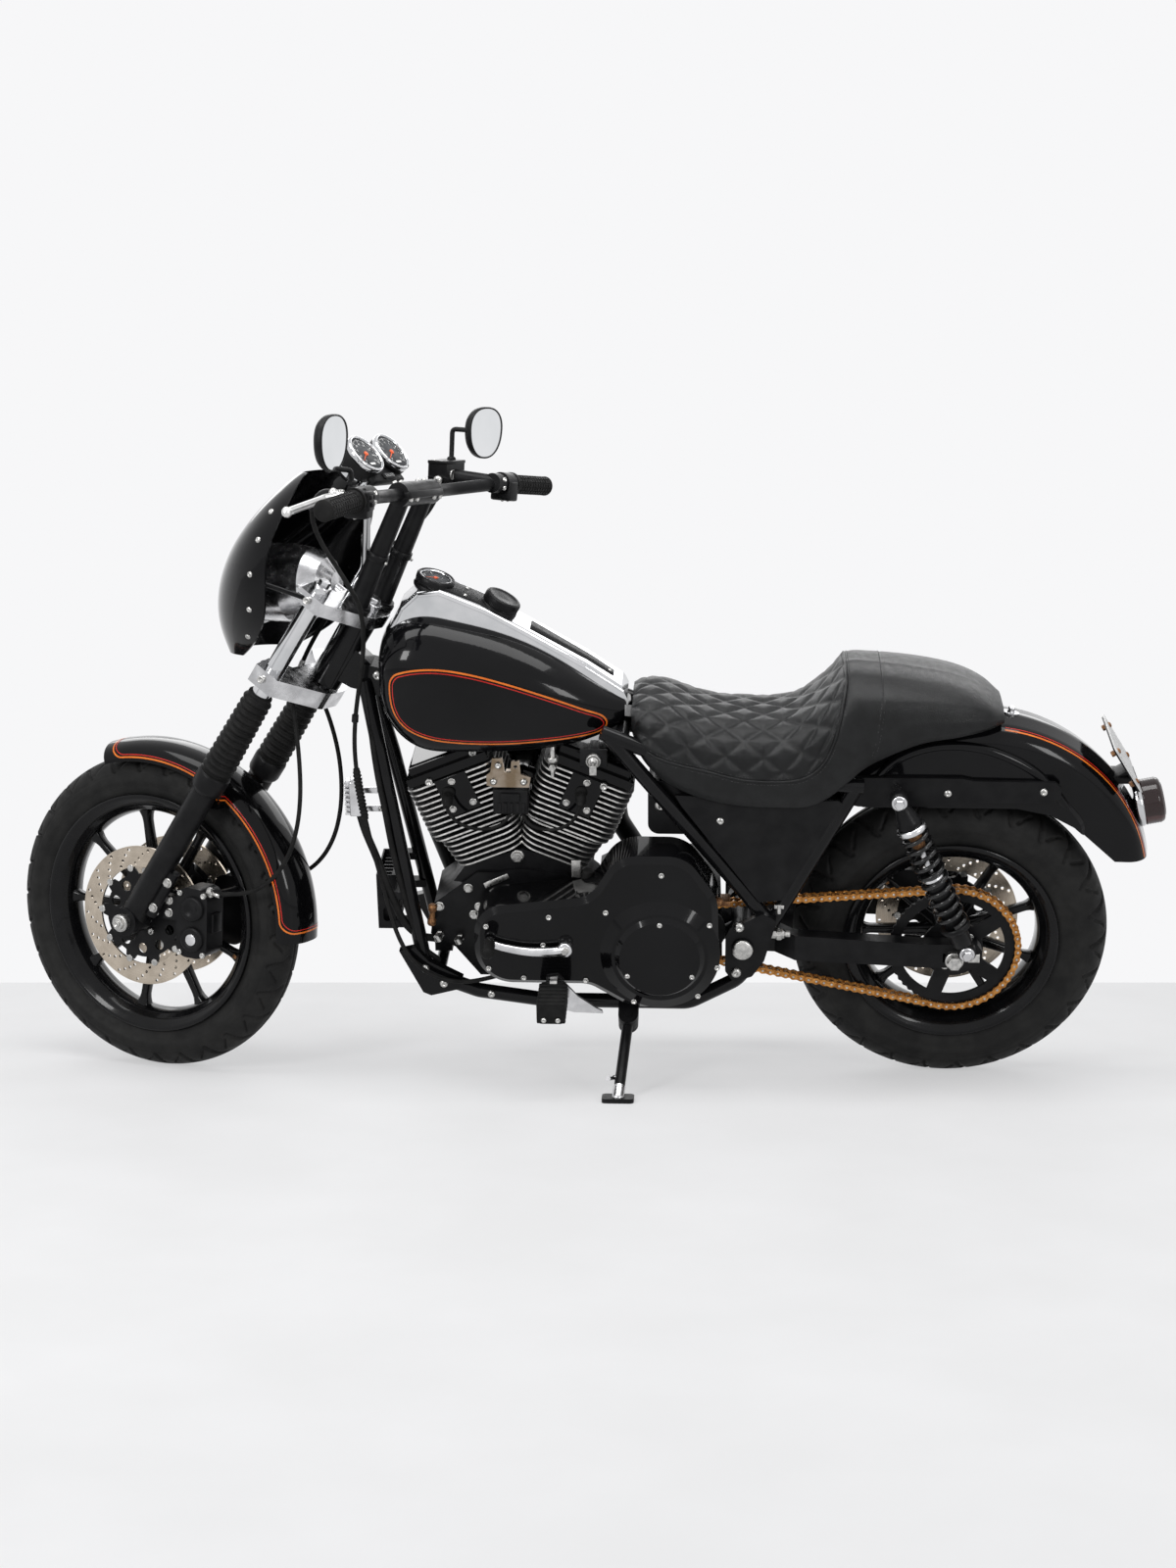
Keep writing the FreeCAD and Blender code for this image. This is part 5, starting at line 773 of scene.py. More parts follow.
def laid_ribbon(piece, tree, sights, width, lift=0.4, closed=False):
    """Painted line where each sight (point outside, direction inwards) meets a panel."""
    hits = []
    for start, aim in sights:
        place, facing, _, _ = tree.ray_cast(Vector(start), Vector(aim))
        hits.append((place, facing if facing is None or facing.dot(Vector(aim)) < 0 else -facing))
    count = len(hits)
    rows = []
    for i, (place, facing) in enumerate(hits):
        before = hits[(i - 1) % count][0] if closed or i else place
        after = hits[(i + 1) % count][0] if closed or i < count - 1 else place
        if place is None or before is None or after is None:
            rows.append(None)
            continue
        across = (after - before).cross(facing).normalized() * (width / 2)
        rows.append([place + across * k + facing * lift for k in (-1, 0, 1)])
    for i in range(count if closed else count - 1):
        near, far = rows[i], rows[(i + 1) % count]
        if near and far:
            piece.add(near + far, [(0, 1, 4, 3), (1, 2, 5, 4)])


def level_sight(x, z, sign):
    """Sight from one side of the motorcycle."""
    return Vector((x, sign * OUTSIDE, z)), Vector((0, -sign, 0))


def offset_loop(points, distance):
    path = smooth_path([(x, 0, z) for x, z in points], 12, True)
    out = []
    count = len(path)
    for i, p in enumerate(path):
        along = (path[(i + 1) % count] - path[i - 1]).normalized()
        out.append((p.x - along.z * distance, p.z + along.x * distance))
    return out


TANK_LOOP = [(1112, 905), (1086, 925), (1030, 932), (960, 922), (880, 899), (800, 868), (736, 838),
             (704, 822), (695, 804), (710, 790), (750, 784), (820, 780), (900, 777), (980, 780), (1040, 790),
             (1086, 812), (1110, 850)]


def tank_stripes():
    tank = surface("fuel_tank", "frame")
    for name, shift, width in (("orange", 0, 3.6), ("red", 6.0, 2.0)):
        piece = Piece("tank_stripe_" + name, name, "frame")
        line = smooth_path([(x, 0, z) for x, z in offset_loop(TANK_LOOP, shift)], 5, True)
        for sign in (1, -1):
            laid_ribbon(piece, tank, [level_sight(p.x, p.z, sign) for p in line], width, closed=True)
        piece.build()


tank_stripes()


def front_fender_stripes():
    """Twin line round the fender's whole edge: along both skirts and across both ends."""
    tree = surface("front_fender", "steering")
    front_end, rear_end, skirt, crown = 14.5, -88.5, FRONT_RADIUS, 34

    def from_side(degrees, radius, sign):
        angle = radians(degrees)
        place = FRONT_AXLE + Vector((radius * sin(angle), sign * 300, radius * cos(angle)))
        return place, Vector((0, -sign, 0))

    def from_outside(degrees, side):
        angle = radians(degrees)
        out = Vector((sin(angle), 0, cos(angle)))
        return FRONT_AXLE + out * 480 + Vector((0, side, 0)), -out

    def over_edge(degrees, turn, sign, radius):
        angle, turn = radians(degrees), radians(turn)
        out = Vector((sin(angle), 0, cos(angle)))
        facing = out * sin(turn) + Vector((0, sign * cos(turn), 0))
        return FRONT_AXLE + out * radius + Vector((0, sign * crown, 0)) + facing * 200, -facing

    def corner(end, inward, sign, radius):
        rows = [over_edge(end + inward * 4.3 * (1 - sin(radians(7.5 * k))),
                          72 * (1 - cos(radians(7.5 * k))), sign, radius) for k in range(13)]
        return rows + [over_edge(end, 81, sign, skirt), over_edge(end, 90, sign, skirt)]

    for name, inset, width in (("orange", 0, 3.4), ("red", 5.4, 1.9)):
        piece = Piece("front_fender_stripe_" + name, name, "steering")
        turn = inset / 5.8
        first, last = front_end - turn, rear_end + turn
        radius = skirt + inset
        along = [first - 4.3 + (last - first + 8.6) * k / 100 for k in range(100)]
        sights = [from_side(degrees, radius, 1) for degrees in along]
        sights += corner(last, 1, 1, radius)
        sights += [from_outside(last, crown - 4 * k) for k in range(1, 17)]
        sights += corner(last, 1, -1, radius)[::-1]
        sights += [from_side(degrees, radius, -1) for degrees in along[::-1]]
        sights += corner(first, -1, -1, radius)
        sights += [from_outside(first, -crown + 4 * k) for k in range(1, 17)]
        sights += corner(first, -1, 1, radius)[::-1]
        laid_ribbon(piece, tree, sights, width, closed=True)
        piece.build()


front_fender_stripes()

# Rear fender: a twin line along the crown's shoulder and round the tail
FENDER_CENTRE = REAR_AXLE + Vector((-34.5, 0, 127))
FENDER_RADIUS = 358


def rear_fender_stripes():
    tree = surface("rear_fender", "frame")

    def from_outside(degrees, side):
        out = upright(1, radians(degrees))
        return FENDER_CENTRE + out * 460 + Vector((0, side, 0)), -out

    for name, inset, width in (("orange", 0, 3.6), ("red", 5.4, 2.0)):
        piece = Piece("rear_fender_stripe_" + name, name, "frame")
        for sign in (1, -1):
            sights = [from_outside(98 + 0.6 * k, sign * (62 - inset)) for k in range(118)]
            laid_ribbon(piece, tree, sights, width)
        piece.build()


rear_fender_stripes()


# Seat

SEAT_HALF = 148
DIAMOND_LENGTH, DIAMOND_WIDTH = 76, 62
CREST_X, STRAP_X, STRAP_Z = 229, 158, 888
SEAT_STATIONS = [(646, 0.66, 792, 836), (628, 0.84, 752, 846), (600, 0.95, 722, 848), (560, 1, 694, 838),
                 (500, 1, 668, 818), (430, 1, 655, 811), (346, 1, 652, 814), (296, 1, 656, 838),
                 (258, 0.99, 676, 874), (226, 0.98, 704, 907), (180, 0.97, 744, 908), (90, 0.92, 784, 897),
                 (10, 0.84, 796, 880), (-44, 0.70, 803, 856), (-80, 0.46, 805, 828)]
SEAT_PROFILE = [(0.95, 0.0), (1.0, 0.16), (0.99, 0.45), (0.88, 0.78), (0.5, 0.96), (0.0, 1.0)]
WELT = [(650, 790), (612, 765), (577, 751), (500, 731), (424, 713), (347, 711), (302, 722), (270, 752),
        (250, 800), (238, 852), (230, 888)]
STRAP_SEAM = [(176, 764), (168, 800), (162, 850), (STRAP_X, STRAP_Z)]
UNDER_ROOF = [(120, 806), (180, 760), (250, 752), (400, 752), (560, 770), (600, 786), (660, 806)]


def interpolated(table, x):
    """Values of a table of rows, sorted by their first number, at x."""
    rows = sorted(table)
    if x <= rows[0][0]:
        return rows[0][1:]
    for low, high in zip(rows, rows[1:]):
        if x <= high[0]:
            share = (x - low[0]) / (high[0] - low[0])
            return tuple(a + (b - a) * share for a, b in zip(low[1:], high[1:]))
    return rows[-1][1:]


def line_distance(point, line):
    """Distance from a 2-D point to a polyline."""
    best = 1e9
    for (ax, ay), (bx, by) in zip(line, line[1:]):
        dx, dy = bx - ax, by - ay
        share = max(0.0, min(1.0, ((point[0] - ax) * dx + (point[1] - ay) * dy) / (dx * dx + dy * dy)))
        best = min(best, hypot(point[0] - ax - dx * share, point[1] - ay - dy * share))
    return best


def half_profile(count):
    """The seat's half section as shares of width and height, from the skirt's foot to the middle."""
    dense = smooth_path([(a, b, 0) for a, b in SEAT_PROFILE], 0.01)
    lengths = [0.0]
    for a, b in zip(dense, dense[1:]):
        lengths.append(lengths[-1] + (b - a).length)
    out = []
    i = 0
    for k in range(count):
        wanted = lengths[-1] * k / (count - 1)
        while i < len(dense) - 2 and lengths[i + 1] < wanted:
            i += 1
        share = (wanted - lengths[i]) / max(1e-9, lengths[i + 1] - lengths[i])
        p = dense[i].lerp(dense[i + 1], min(1.0, share))
        out.append((p.x, p.y))
    return out


def seat_cover():
    """Solo seat: a diamond-quilted sitting panel up to the bolster's crest, with smooth skirts, strap and
    tail. Each diamond is stuffed and each seam pulled in by a double row of stitches."""
    dense = smooth_path([(x, low, high) for x, _, low, high in SEAT_STATIONS], 2.3)
    widths = smooth_path([(x, share * 100, 0) for x, share, _, _ in SEAT_STATIONS], 2.0)
    width_rows = sorted((p.x, min(1.0, p.y / 100)) for p in widths)
    steps = 96
    half = half_profile(steps)
    panel = WELT + [(CREST_X, 1000), (720, 1000)]
    points = []
    rows = 0
    run = 0.0
    before = None
    for place in dense:
        x, low, high = place
        share = interpolated(width_rows, x)[0]
        wide = SEAT_HALF * share
        top = Vector((x, 0, high))
        if before is not None:
            run += (top - before).length
        before = top
        ring = []
        for sign in (-1, 1):
            side = []
            arc = 0.0
            last = None
            for across, up in reversed(half):
                p = Vector((x, sign * wide * across, low + (high - low) * up))
                if last is not None:
                    arc += (p - last).length
                last = p
                inset = 0.0
                reach = line_distance((p.x, p.z), WELT)
                if p.x > 228 and inside((p.x, p.z), panel):
                    fade = min(1.0, reach / 14)
                    first = (run / DIAMOND_LENGTH + arc / DIAMOND_WIDTH) % 1
                    second = (run / DIAMOND_LENGTH - arc / DIAMOND_WIDTH) % 1
                    gap = min(first, 1 - first, second, 1 - second) * 96 / 2
                    puff = 1 - exp(-(gap / 9.0) ** 2)
                    inset = fade * (1 - puff) * 4.6
                    inset += fade * 0.9 * exp(-((gap - 1.9) / 0.8) ** 2)
                    inset += 1.6 * exp(-(reach / 5) ** 2)
                else:
                    inset = 1.8 * exp(-(reach / 4) ** 2)
                    seam = line_distance((p.x, p.z), STRAP_SEAM) if p.z < STRAP_Z else abs(p.x - STRAP_X)
                    inset += 1.3 * exp(-(seam / 2.2) ** 2) if seam < 12 else 0
                outwards = Vector((0, p.y / max(wide, 1), (p.z - low) / (high - low) * 0.9 + 0.02))
                p = p - outwards.normalized() * inset
                side.append(p)
            ring.append(side)
        left, right = ring[1], ring[0]
        foot = min(wide * 0.95 - 8, 134)
        roof = max(low + 2, interpolated(UNDER_ROOF, x)[0]) if x < 664 else low + 2
        roof = min(roof, high - 12)
        loop = list(reversed(right)) + left[1:]
        loop += [Vector((x, foot, low)), Vector((x, foot - 3, roof)), Vector((x, 3 - foot, roof)),
                 Vector((x, -foot, low))]
        points += loop
        rows += 1
        count = len(loop)
    faces = grid(rows, count)
    faces += [tuple(range(count)), tuple(reversed(range((rows - 1) * count, rows * count)))]
    piece = Piece("seat_cover", "leather", "frame", ("seat",))
    piece.add(points, faces)
    made = piece.build()
    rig.padded(made, fill=0.8)
    return BVHTree.FromPolygons(points, faces)


seat_tree = seat_cover()


def seat_trim():
    """Piping along the panel's edge, stitches beside it and beside the strap's seams."""
    cast = seat_tree.ray_cast

    def on_side(x, z, sign):
        return cast(*level_sight(x, z, sign))

    def over_top(x, y):
        return cast(Vector((x, y, 1100)), Vector((0, 0, -1)))

    def seam(line, crest_x):
        """Seam from one side over the crest to the other, as (place, facing) pairs."""
        side_line = smooth_path([(x, 0, z) for x, z in line], 3)
        out = [on_side(p.x, p.z, 1)[:2] for p in side_line]
        reach = out[-1][0].y if out[-1][0] else 100
        steps = int(2 * reach / 3)
        out += [over_top(crest_x, reach - 2 * reach * k / steps)[:2] for k in range(1, steps)]
        out += [on_side(p.x, p.z, -1)[:2] for p in reversed(side_line)]
        return [(place, facing) for place, facing in out if place is not None]

    welt = seam(WELT[1:], CREST_X)
    piping = Piece("seat_piping", "leather", "frame")
    piping.sweep([place + facing * 0.8 for place, facing in welt], 2.7, 8)
    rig.padded(piping.build(), fill=1.0)
    thread = Piece("seat_stitches", "thread", "frame")

    def stitches(pairs, shift):
        travelled = 0.0
        for (here, facing), (after, _) in zip(pairs, pairs[1:]):
            travelled += (after - here).length
            if travelled < 5.6:
                continue
            travelled = 0.0
            along = (after - here).normalized()
            across = along.cross(facing).normalized()
            middle = here + across * shift + facing * 0.5
            thread.cylinder(middle - along * 1.7, middle + along * 1.7, 0.5, 6, 0.2)

    for pairs, shift in ((welt, 6.2), (seam(STRAP_SEAM, STRAP_X), 3.4)):
        stitches(pairs, shift)
        stitches(pairs, -shift)
    thread.build()


seat_trim()


# Fork

FORK_SIDE = 105
SLIDER_TOP = 385
LOWER_CLAMP = 608
UPPER_CLAMP = 804


def fork_dress():
    """Rounded bellows, dust collars, pinch bolts, fork caps and axle nuts."""
    bellows = Piece("fork_bellows", "rubber", "steering", ("fork_gaiters",))
    collars = Piece("slider_collars", "satin", "steering")
    bolts = Piece("fork_bolts", "zinc", "steering")
    caps = Piece("fork_caps", "polished", "steering")
    folds, start, end = 13, SLIDER_TOP + 2, LOWER_CLAMP - 22
    for sign in (1, -1):
        side = sign * FORK_SIDE
        profile = [(26, start - 1), (33.5, start)]
        for k in range(folds * 8 + 1):
            share = k / (folds * 8)
            wave = (0.5 + 0.5 * cos(tau * share * folds + pi)) ** 0.7
            profile.append((27.5 - 2.5 * share + (6.5 - 1.2 * share) * wave, start + 6 + (end - start - 14) * share))
        profile += [(25, end - 6), (25.5, end - 3), (25, end), (20.5, end + 1)]
        bellows.lathe(profile, on_leg(0, side), FORK_UP, 40)
        collars.lathe([(27.2, SLIDER_TOP - 44), (32, SLIDER_TOP - 38), (34, SLIDER_TOP - 32), (34.5, SLIDER_TOP - 2),
                       (33, SLIDER_TOP + 3), (24, SLIDER_TOP + 4)], on_leg(0, side), FORK_UP, 48)
        for base, height, boss in ((LOWER_CLAMP, 38, 32), (UPPER_CLAMP, 28, 30)):
            seat = on_leg(base + height / 2, sign * (FORK_SIDE + boss - 1))
            bolts.bolt(seat, (0, sign, 0), 7.5, 7, "socket")
        caps.lathe([(19, 843), (19, 850), (17, 852)], on_leg(0, side), FORK_UP, 32)
        caps.lathe([(12, 852), (12, 860), (11, 861)], on_leg(0, side), FORK_UP, 6, False)
        nut = FRONT_AXLE + Vector((0, sign * 145.5, 0))
        bolts.bolt(nut, (0, sign, 0), 13, 9, "hex")
        bolts.lathe([(6, 9), (6, 13), (4.5, 14), (4.5, 11), (0.01, 11)], nut, (0, sign, 0), 20)
        for along, height in ((-34, 62), (-34, 128)):
            seat = on_leg(height, sign * (FORK_SIDE + 11)) + FORK_FORWARD * along
            bolts.bolt(seat, (0, sign, 0), 8, 6, "hex")
    caps.lathe([(20, 842), (20, 846), (17, 848), (17, 843)], STEER_BASE, FORK_UP, 32)
    caps.lathe([(14, 846), (14, 855), (12.5, 857)], STEER_BASE, FORK_UP, 6, False)
    build_all(bellows, collars, bolts, caps)


fork_dress()


def caliper_dress():
    """Bolts, bleed screw, banjo, bridge rib and a bare round disc on each front caliper."""
    steel = Piece("front_caliper_bolts", "zinc", "steering")
    disc = Piece("front_caliper_plain_disc", "polished", "steering")
    black = Piece("front_caliper_covers", "satin", "steering")
    for sign in (1, -1):
        out = Vector((0, sign, 0))

        def at(x, z, side):
            return FRONT_AXLE + Vector((x, sign * side, z))

        for height in (-22, 42):
            black.lathe([(25.5, -3), (25.5, 4), (23, 6), (15, 6), (14, 4.6), (0.01, 4.6)],
                        at(-146, height, 101), out, 36)
        disc.lathe([(12, 0), (12, 1.4), (11.2, 1.9), (0.01, 1.9)], at(-146, -22, 105.4), out, 32)
        for x, z in ((-116, 72), (-172, 72), (-116, -52), (-172, -52)):
            steel.bolt(at(x, z, 98.6), out, 6, 5, "socket")
        for x, z in ((-84, 24), (-84, 50)):
            steel.bolt(at(x, z, 92.6), out, 7.5, 6, "hex")
        steel.lathe([(8, 0), (8, 4), (6.5, 5), (6.5, 10), (5, 11)],
                    at(-179, 77, 86), (0, sign * 0.2, 1), 6, False)
        black.box((-5, -16, -20), (5, 16, 20), origin=at(-180, 12, 68), bevel=2)
    build_all(steel, disc, black)


caliper_dress()

# Hoses and the clutch cable follow the part's own routes
HOSE_RADIUS = 4.5
HOSE_ROUTE = [(1316, 40, 852), (1298, 56, 806), (1281, 68, 752), (1268, 76, 694), (1262, 80, 634),
              (1265, 83, 574), (1280, 85, 516), (1310, 86, 466), (1354, 86, 430), (1408, 86, 412),
              (1466, 86, 408)]
MASTER_ROUTE = [(1136, -232, 1244), (1146, -222, 1205), (1170, -205, 1165), (1204, -183, 1128),
                (1240, -156, 1092), (1270, -128, 1048), (1296, -100, 1000), (1318, -72, 950),
                (1332, -46, 902), (1336, -24, 866)]
CLUTCH_BAR_ROUTE = [(1160, 226, 1226), (1182, 214, 1192)]
CLUTCH_FRAME_ROUTE = [(1162, 168, 1094), (1158, 138, 1042), (1160, 116, 988), (1168, 102, 932),
                      (1179, 94, 874), (1189, 92, 814), (1194, 91, 754), (1192, 91, 694),
                      (1185, 92, 634), (1175, 94, 574), (1163, 97, 514), (1149, 104, 458),
                      (1136, 117, 406), (1121, 133, 360), (1098, 145, 316), (1060, 148, 278),
                      (1012, 144, 258), (962, 134, 254), (914, 122, 264)]


def nurbs_object(name, places, depth=0.0):
    """One open NURBS spline with the route's points, in metres, as its control points."""
    curve = bpy.data.curves.new(name, "CURVE")
    curve.dimensions = "3D"
    curve.resolution_u = 10
    curve.bevel_depth = depth
    curve.bevel_resolution = 4
    curve.use_fill_caps = True
    spline = curve.splines.new("NURBS")
    spline.points.add(len(places) - 1)
    for point, place in zip(spline.points, places):
        point.co = (*place, 1)
    spline.order_u = 3
    spline.use_endpoint_u = True
    return bpy.data.objects.new(name, curve)


def line_of(places):
    """Points along the route's NURBS spline, and its length."""
    thin = nurbs_object("route_line", places)
    mesh = bpy.data.meshes.new_from_object(thin)
    line = [v.co.copy() for v in mesh.vertices]
    bpy.data.objects.remove(thin)
    return line, sum((b - a).length for a, b in zip(line, line[1:]))


def rubber_cord(name, places, radius, body, stiffness, *replaced):
    """Rubber line that hangs between two places on the object."""
    made = nurbs_object(name, places, radius * MM)
    show(made)
    made.data.materials.append(M["rubber"])
    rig.ride(made, body)
    if replaced:
        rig.replaces(made, *replaced)
    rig.slot(made, "rubber")
    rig.cord(made, exit=places[0], length=line_of(places)[1], diameter=2 * radius * MM, far_end="object",
            stiffness=stiffness, lay="hanging")


def hoses():
    mirrored = [(x, -y, z) for x, y, z in HOSE_ROUTE]
    for name, route in (("brake_hose_left", HOSE_ROUTE), ("brake_hose_right", mirrored),
                        ("master_hose", MASTER_ROUTE)):
        rubber_cord(name, [STEERED @ Vector(p) for p in route], HOSE_RADIUS, "steering", "medium", "brake_hoses")
    junction = Piece("hose_junction", "satin", "steering", ("brake_hoses",))
    junction.cylinder((1318, -44, 856), (1318, 44, 856), 7)
    junction.box((1312, -26, 846), (1344, 26, 866), bevel=2)
    junction.build()
    ends = Piece("hose_fittings", "zinc", "steering")
    for sign in (1, -1):
        last = Vector((1466, sign * 86, 408))
        ends.cylinder(last - Vector((24, 0, 2)), last - Vector((6, 0, 0.5)), 5.6, 16)
        ends.lathe([(9, -7), (9, 7), (7, 8)], last, (0, sign, 0), 6, False)
        first = Vector((1316, sign * 40, 852))
        ends.cylinder(first, first + Vector((-9, sign * 8, -23)), 5.8, 16)
    ends.cylinder((1136, -232, 1244), (1141, -227, 1224), 6, 16)
    ends.cylinder((1336, -24, 866), (1334, -35, 884), 5.8, 16)
    ends.bolt((1344, 0, 856), (1, 0, 0), 6, 5, "hex")
    ends.build()


hoses()


def clutch_line():
    """Clutch cable: a mesh tube on the route's spline, bending between the steering and the frame."""
    places = [STEERED @ Vector(p) for p in CLUTCH_BAR_ROUTE] + [FRAME @ Vector(p) for p in CLUTCH_FRAME_ROUTE]
    line, length = line_of(places)
    back = FRAME.inverted()
    tube = Piece("clutch_cable_line", "rubber", "frame", ("clutch_cable",))
    tube.sweep([back @ p for p in line], HOSE_RADIUS, 12)
    made = tube.build(ride=False)
    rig.blend(made, "steering", "frame", start=places[1], end=places[6])
    boot = Piece("clutch_cable_boot", "rubber", "frame")
    folds = [back @ p for p in line if 592 < (back @ p).z < 706]
    boot.sweep(smooth_path(folds, 1.6), 9.0, 16,
               scale_at=lambda s: 0.72 + 0.28 * (0.5 + 0.5 * cos(tau * s * 14)) * min(1, 8 * s, 8 - 8 * s))
    boot_object = boot.build()
    clip = Piece("clutch_cable_clip", "satin", "frame")
    clip.lathe([(6.8, -7), (6.8, 7), (6, 8), (6, -8)], (1189, 92, 814), (0.1, 0, -1), 20)
    clip_object = clip.build()
    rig.cord(made, exit=places[0], length=length, diameter=2 * HOSE_RADIUS * MM, far_end="object",
            stiffness="medium", lay="hanging", path=line, with_pieces=[boot_object, clip_object])
    elbow = Piece("clutch_cable_elbow", "satin", "steering")
    bend = smooth_path([(1074, 264, 1249), (1100, 252, 1254), (1128, 240, 1253), (1148, 231.5, 1242),
                        (1160, 226, 1226), (1164, 223.8, 1219.8)], 3)
    elbow.sweep(bend, 5.6, 20)
    elbow.cylinder((1156, 227.5, 1233), (1167, 222, 1216), 6.6, 20)
    elbow.build()
    adjuster = Piece("clutch_adjuster", "zinc", "steering")
    adjuster.lathe([(6, -2), (8, 0), (8, 12), (6.6, 13), (6.6, 22), (8.6, 23), (8.6, 29), (6, 31)], (1080, 261, 1250),
                   (0.9, -0.41, 0.16), 24)
    adjuster.build()


clutch_line()

# Handlebar group
BAR = FRONT_AXLE + Vector((-575, 0, 912))
GRIP_LENGTH = 135
BAR_END = Vector((BAR.x - 62, 444, BAR.z - 4))
GRIP_DIRECTION = (BAR_END - Vector((BAR.x - 44, 280, BAR.z + 8))).normalized()


def filleted(points, bend, steps=6):
    """Straight runs joined by arcs of one bend radius."""
    points = [Vector(p) for p in points]
    out = [points[0]]
    for before, corner, after in zip(points, points[1:], points[2:]):
        towards, away = (corner - before).normalized(), (after - corner).normalized()
        half_turn = towards.angle(away) / 2
        cut = min(bend * tan(half_turn), 0.45 * min((corner - before).length, (after - corner).length))
        first, last = corner - towards * cut, corner + away * cut
        for k in range(steps + 1):
            t = k / steps
            out.append(first * (1 - t) ** 2 + corner * (2 * t * (1 - t)) + last * t * t)
    return out + [points[-1]]


def bar_side(sign):
    end = Vector((BAR_END.x, sign * BAR_END.y, BAR_END.z))
    along = Vector((GRIP_DIRECTION.x, sign * GRIP_DIRECTION.y, GRIP_DIRECTION.z))
    return end, along


def grip_dress():
    """Waffle pads and end rings on the rubber grips."""
    pads = Piece("grip_pads", "rubber", "steering")
    for sign in (1, -1):
        end, along = bar_side(sign)
        up = along.cross(Vector((1, 0, 0))).normalized() * sign
        forward = along.cross(up).normalized()
        start = end - along * GRIP_LENGTH
        for row in range(12):
            near, far = 14 + row * 9.6, 14 + row * 9.6 + 7.0
            for k in range(14):
                corners = []
                for radius, trim in ((17.6, 0.0), (19.6, 0.16)):
                    for place, turn in ((near, k), (far, k), (far, k + 0.74), (near, k + 0.74)):
                        middle = (near + far) / 2
                        place += (middle - place) * trim
                        angle = tau * (turn + (0.37 + k - turn) * trim) / 14
                        out = up * cos(angle) + forward * sin(angle)
                        corners.append(start + along * place + out * radius)
                pads.add(corners, [(0, 1, 5, 4), (1, 2, 6, 5), (2, 3, 7, 6), (3, 0, 4, 7), (4, 5, 6, 7)], False)
        pads.lathe([(18.4, 4), (20.4, 6), (20.4, 11), (18.4, 13)], start, along, 36)
        pads.lathe([(18.2, GRIP_LENGTH - 6), (20, GRIP_LENGTH - 4), (20, GRIP_LENGTH - 1), (18, GRIP_LENGTH),
                    (12, GRIP_LENGTH + 0.4)], start, along, 36)
    pads.build()


grip_dress()


def control_dress():
    """Polished levers, switch pods with their buttons, clamp screws and the fluid reservoir's lid."""
    levers = Piece("lever_blades", "lever", "steering")
    pods = Piece("switch_pods", "satin", "steering")
    buttons = Piece("switch_buttons", "plastic", "steering")
    steel = Piece("control_screws", "zinc", "steering")
    for sign in (1, -1):
        end, along = bar_side(sign)
        middle = end - along * (GRIP_LENGTH + 50)
        pivot = middle + Vector((48, sign * 8, -4))
        knee = pivot + Vector((18, sign * 30, -2))
        tip = Vector((end.x + 76, sign * 442, end.z - 8))
        path = filleted([pivot - Vector((4, 0, 0)), knee, tip], 18)
        dense = []
        for a, b in zip(path, path[1:]):
            pieces = max(1, int((b - a).length / 6))
            dense += [a.lerp(b, k / pieces) for k in range(pieces)]
        dense.append(path[-1])
        levers.sweep(dense, 6.6, 14, scale_at=lambda s: 1.6 - 0.5 * min(1, s * 3))
        levers.lathe([(1, -10), (6, -8.4), (9, -4), (10, 0), (9, 4), (6, 8.4), (1, 10)], tip, tip - knee, 20)
        levers.lathe([(12, -12), (13, -10), (13, 9), (11.5, 11), (0.01, 11)], pivot, (0, 0, 1), 24)
        steel.bolt(pivot + Vector((0, 0, 11)), (0, 0, 1), 6, 4, "dome")
        switch = end - along * (GRIP_LENGTH + 18)
        turn = along.to_track_quat("Y", "Z").to_matrix()
        pods.box((-22, -17, -34), (24, 17, 6), turn, switch, 5)
        pods.box((-26, -14, -20), (-8, 14, 16), turn, switch, 4)
        for across, high, kind in ((-6, 6, 5), (6, 6, 5), (0, -8, 7)):
            buttons.box((-30, across - kind + 1, high - 4), (-24, across + kind - 1, high + 4), turn, switch, 1.4)
        buttons.lathe([(7, 0), (7, 3), (5.5, 5), (0.01, 5)], switch + turn @ Vector((-8, 0, 16)), (0, 0, 1), 20)
        for across in (-10, 10):
            steel.bolt(switch + turn @ Vector((4, across, -33.6)), (0, 0, -1), 3.2, 2.5, "dome")
        steel.bolt(middle + Vector((-18, 0, 8)), (-1, 0, 0.3), 4.5, 4, "socket")
        steel.bolt(middle + Vector((-18, 0, -8)), (-1, 0, -0.3), 4.5, 4, "socket")
    reservoir = BAR + Vector((57, -232, 25))
    pods.box((-22.5, -39.5, 19), (22.5, 39.5, 25.5), origin=reservoir, bevel=1.6)
    pods.box((-21.6, -38.6, -10), (21.6, 38.6, -6), origin=reservoir, bevel=1)
    for across in (-30, 30):
        steel.bolt(reservoir + Vector((12, across, 25.4)), (0, 0, 1), 3.4, 1.8, "dome")
    steel.lathe([(10, 0), (10, 2), (8.5, 3), (8.5, 1), (0.01, 1)], reservoir + Vector((-21, 14, -2)), (-1, 0, 0), 24)
    steel.lathe([(2, 0), (7, 2), (9, 6), (9, 10), (7, 14), (2, 16)], reservoir + Vector((-6, 37, -12)), (0, 1, 0), 24)
    build_all(levers, pods, buttons, steel)


control_dress()


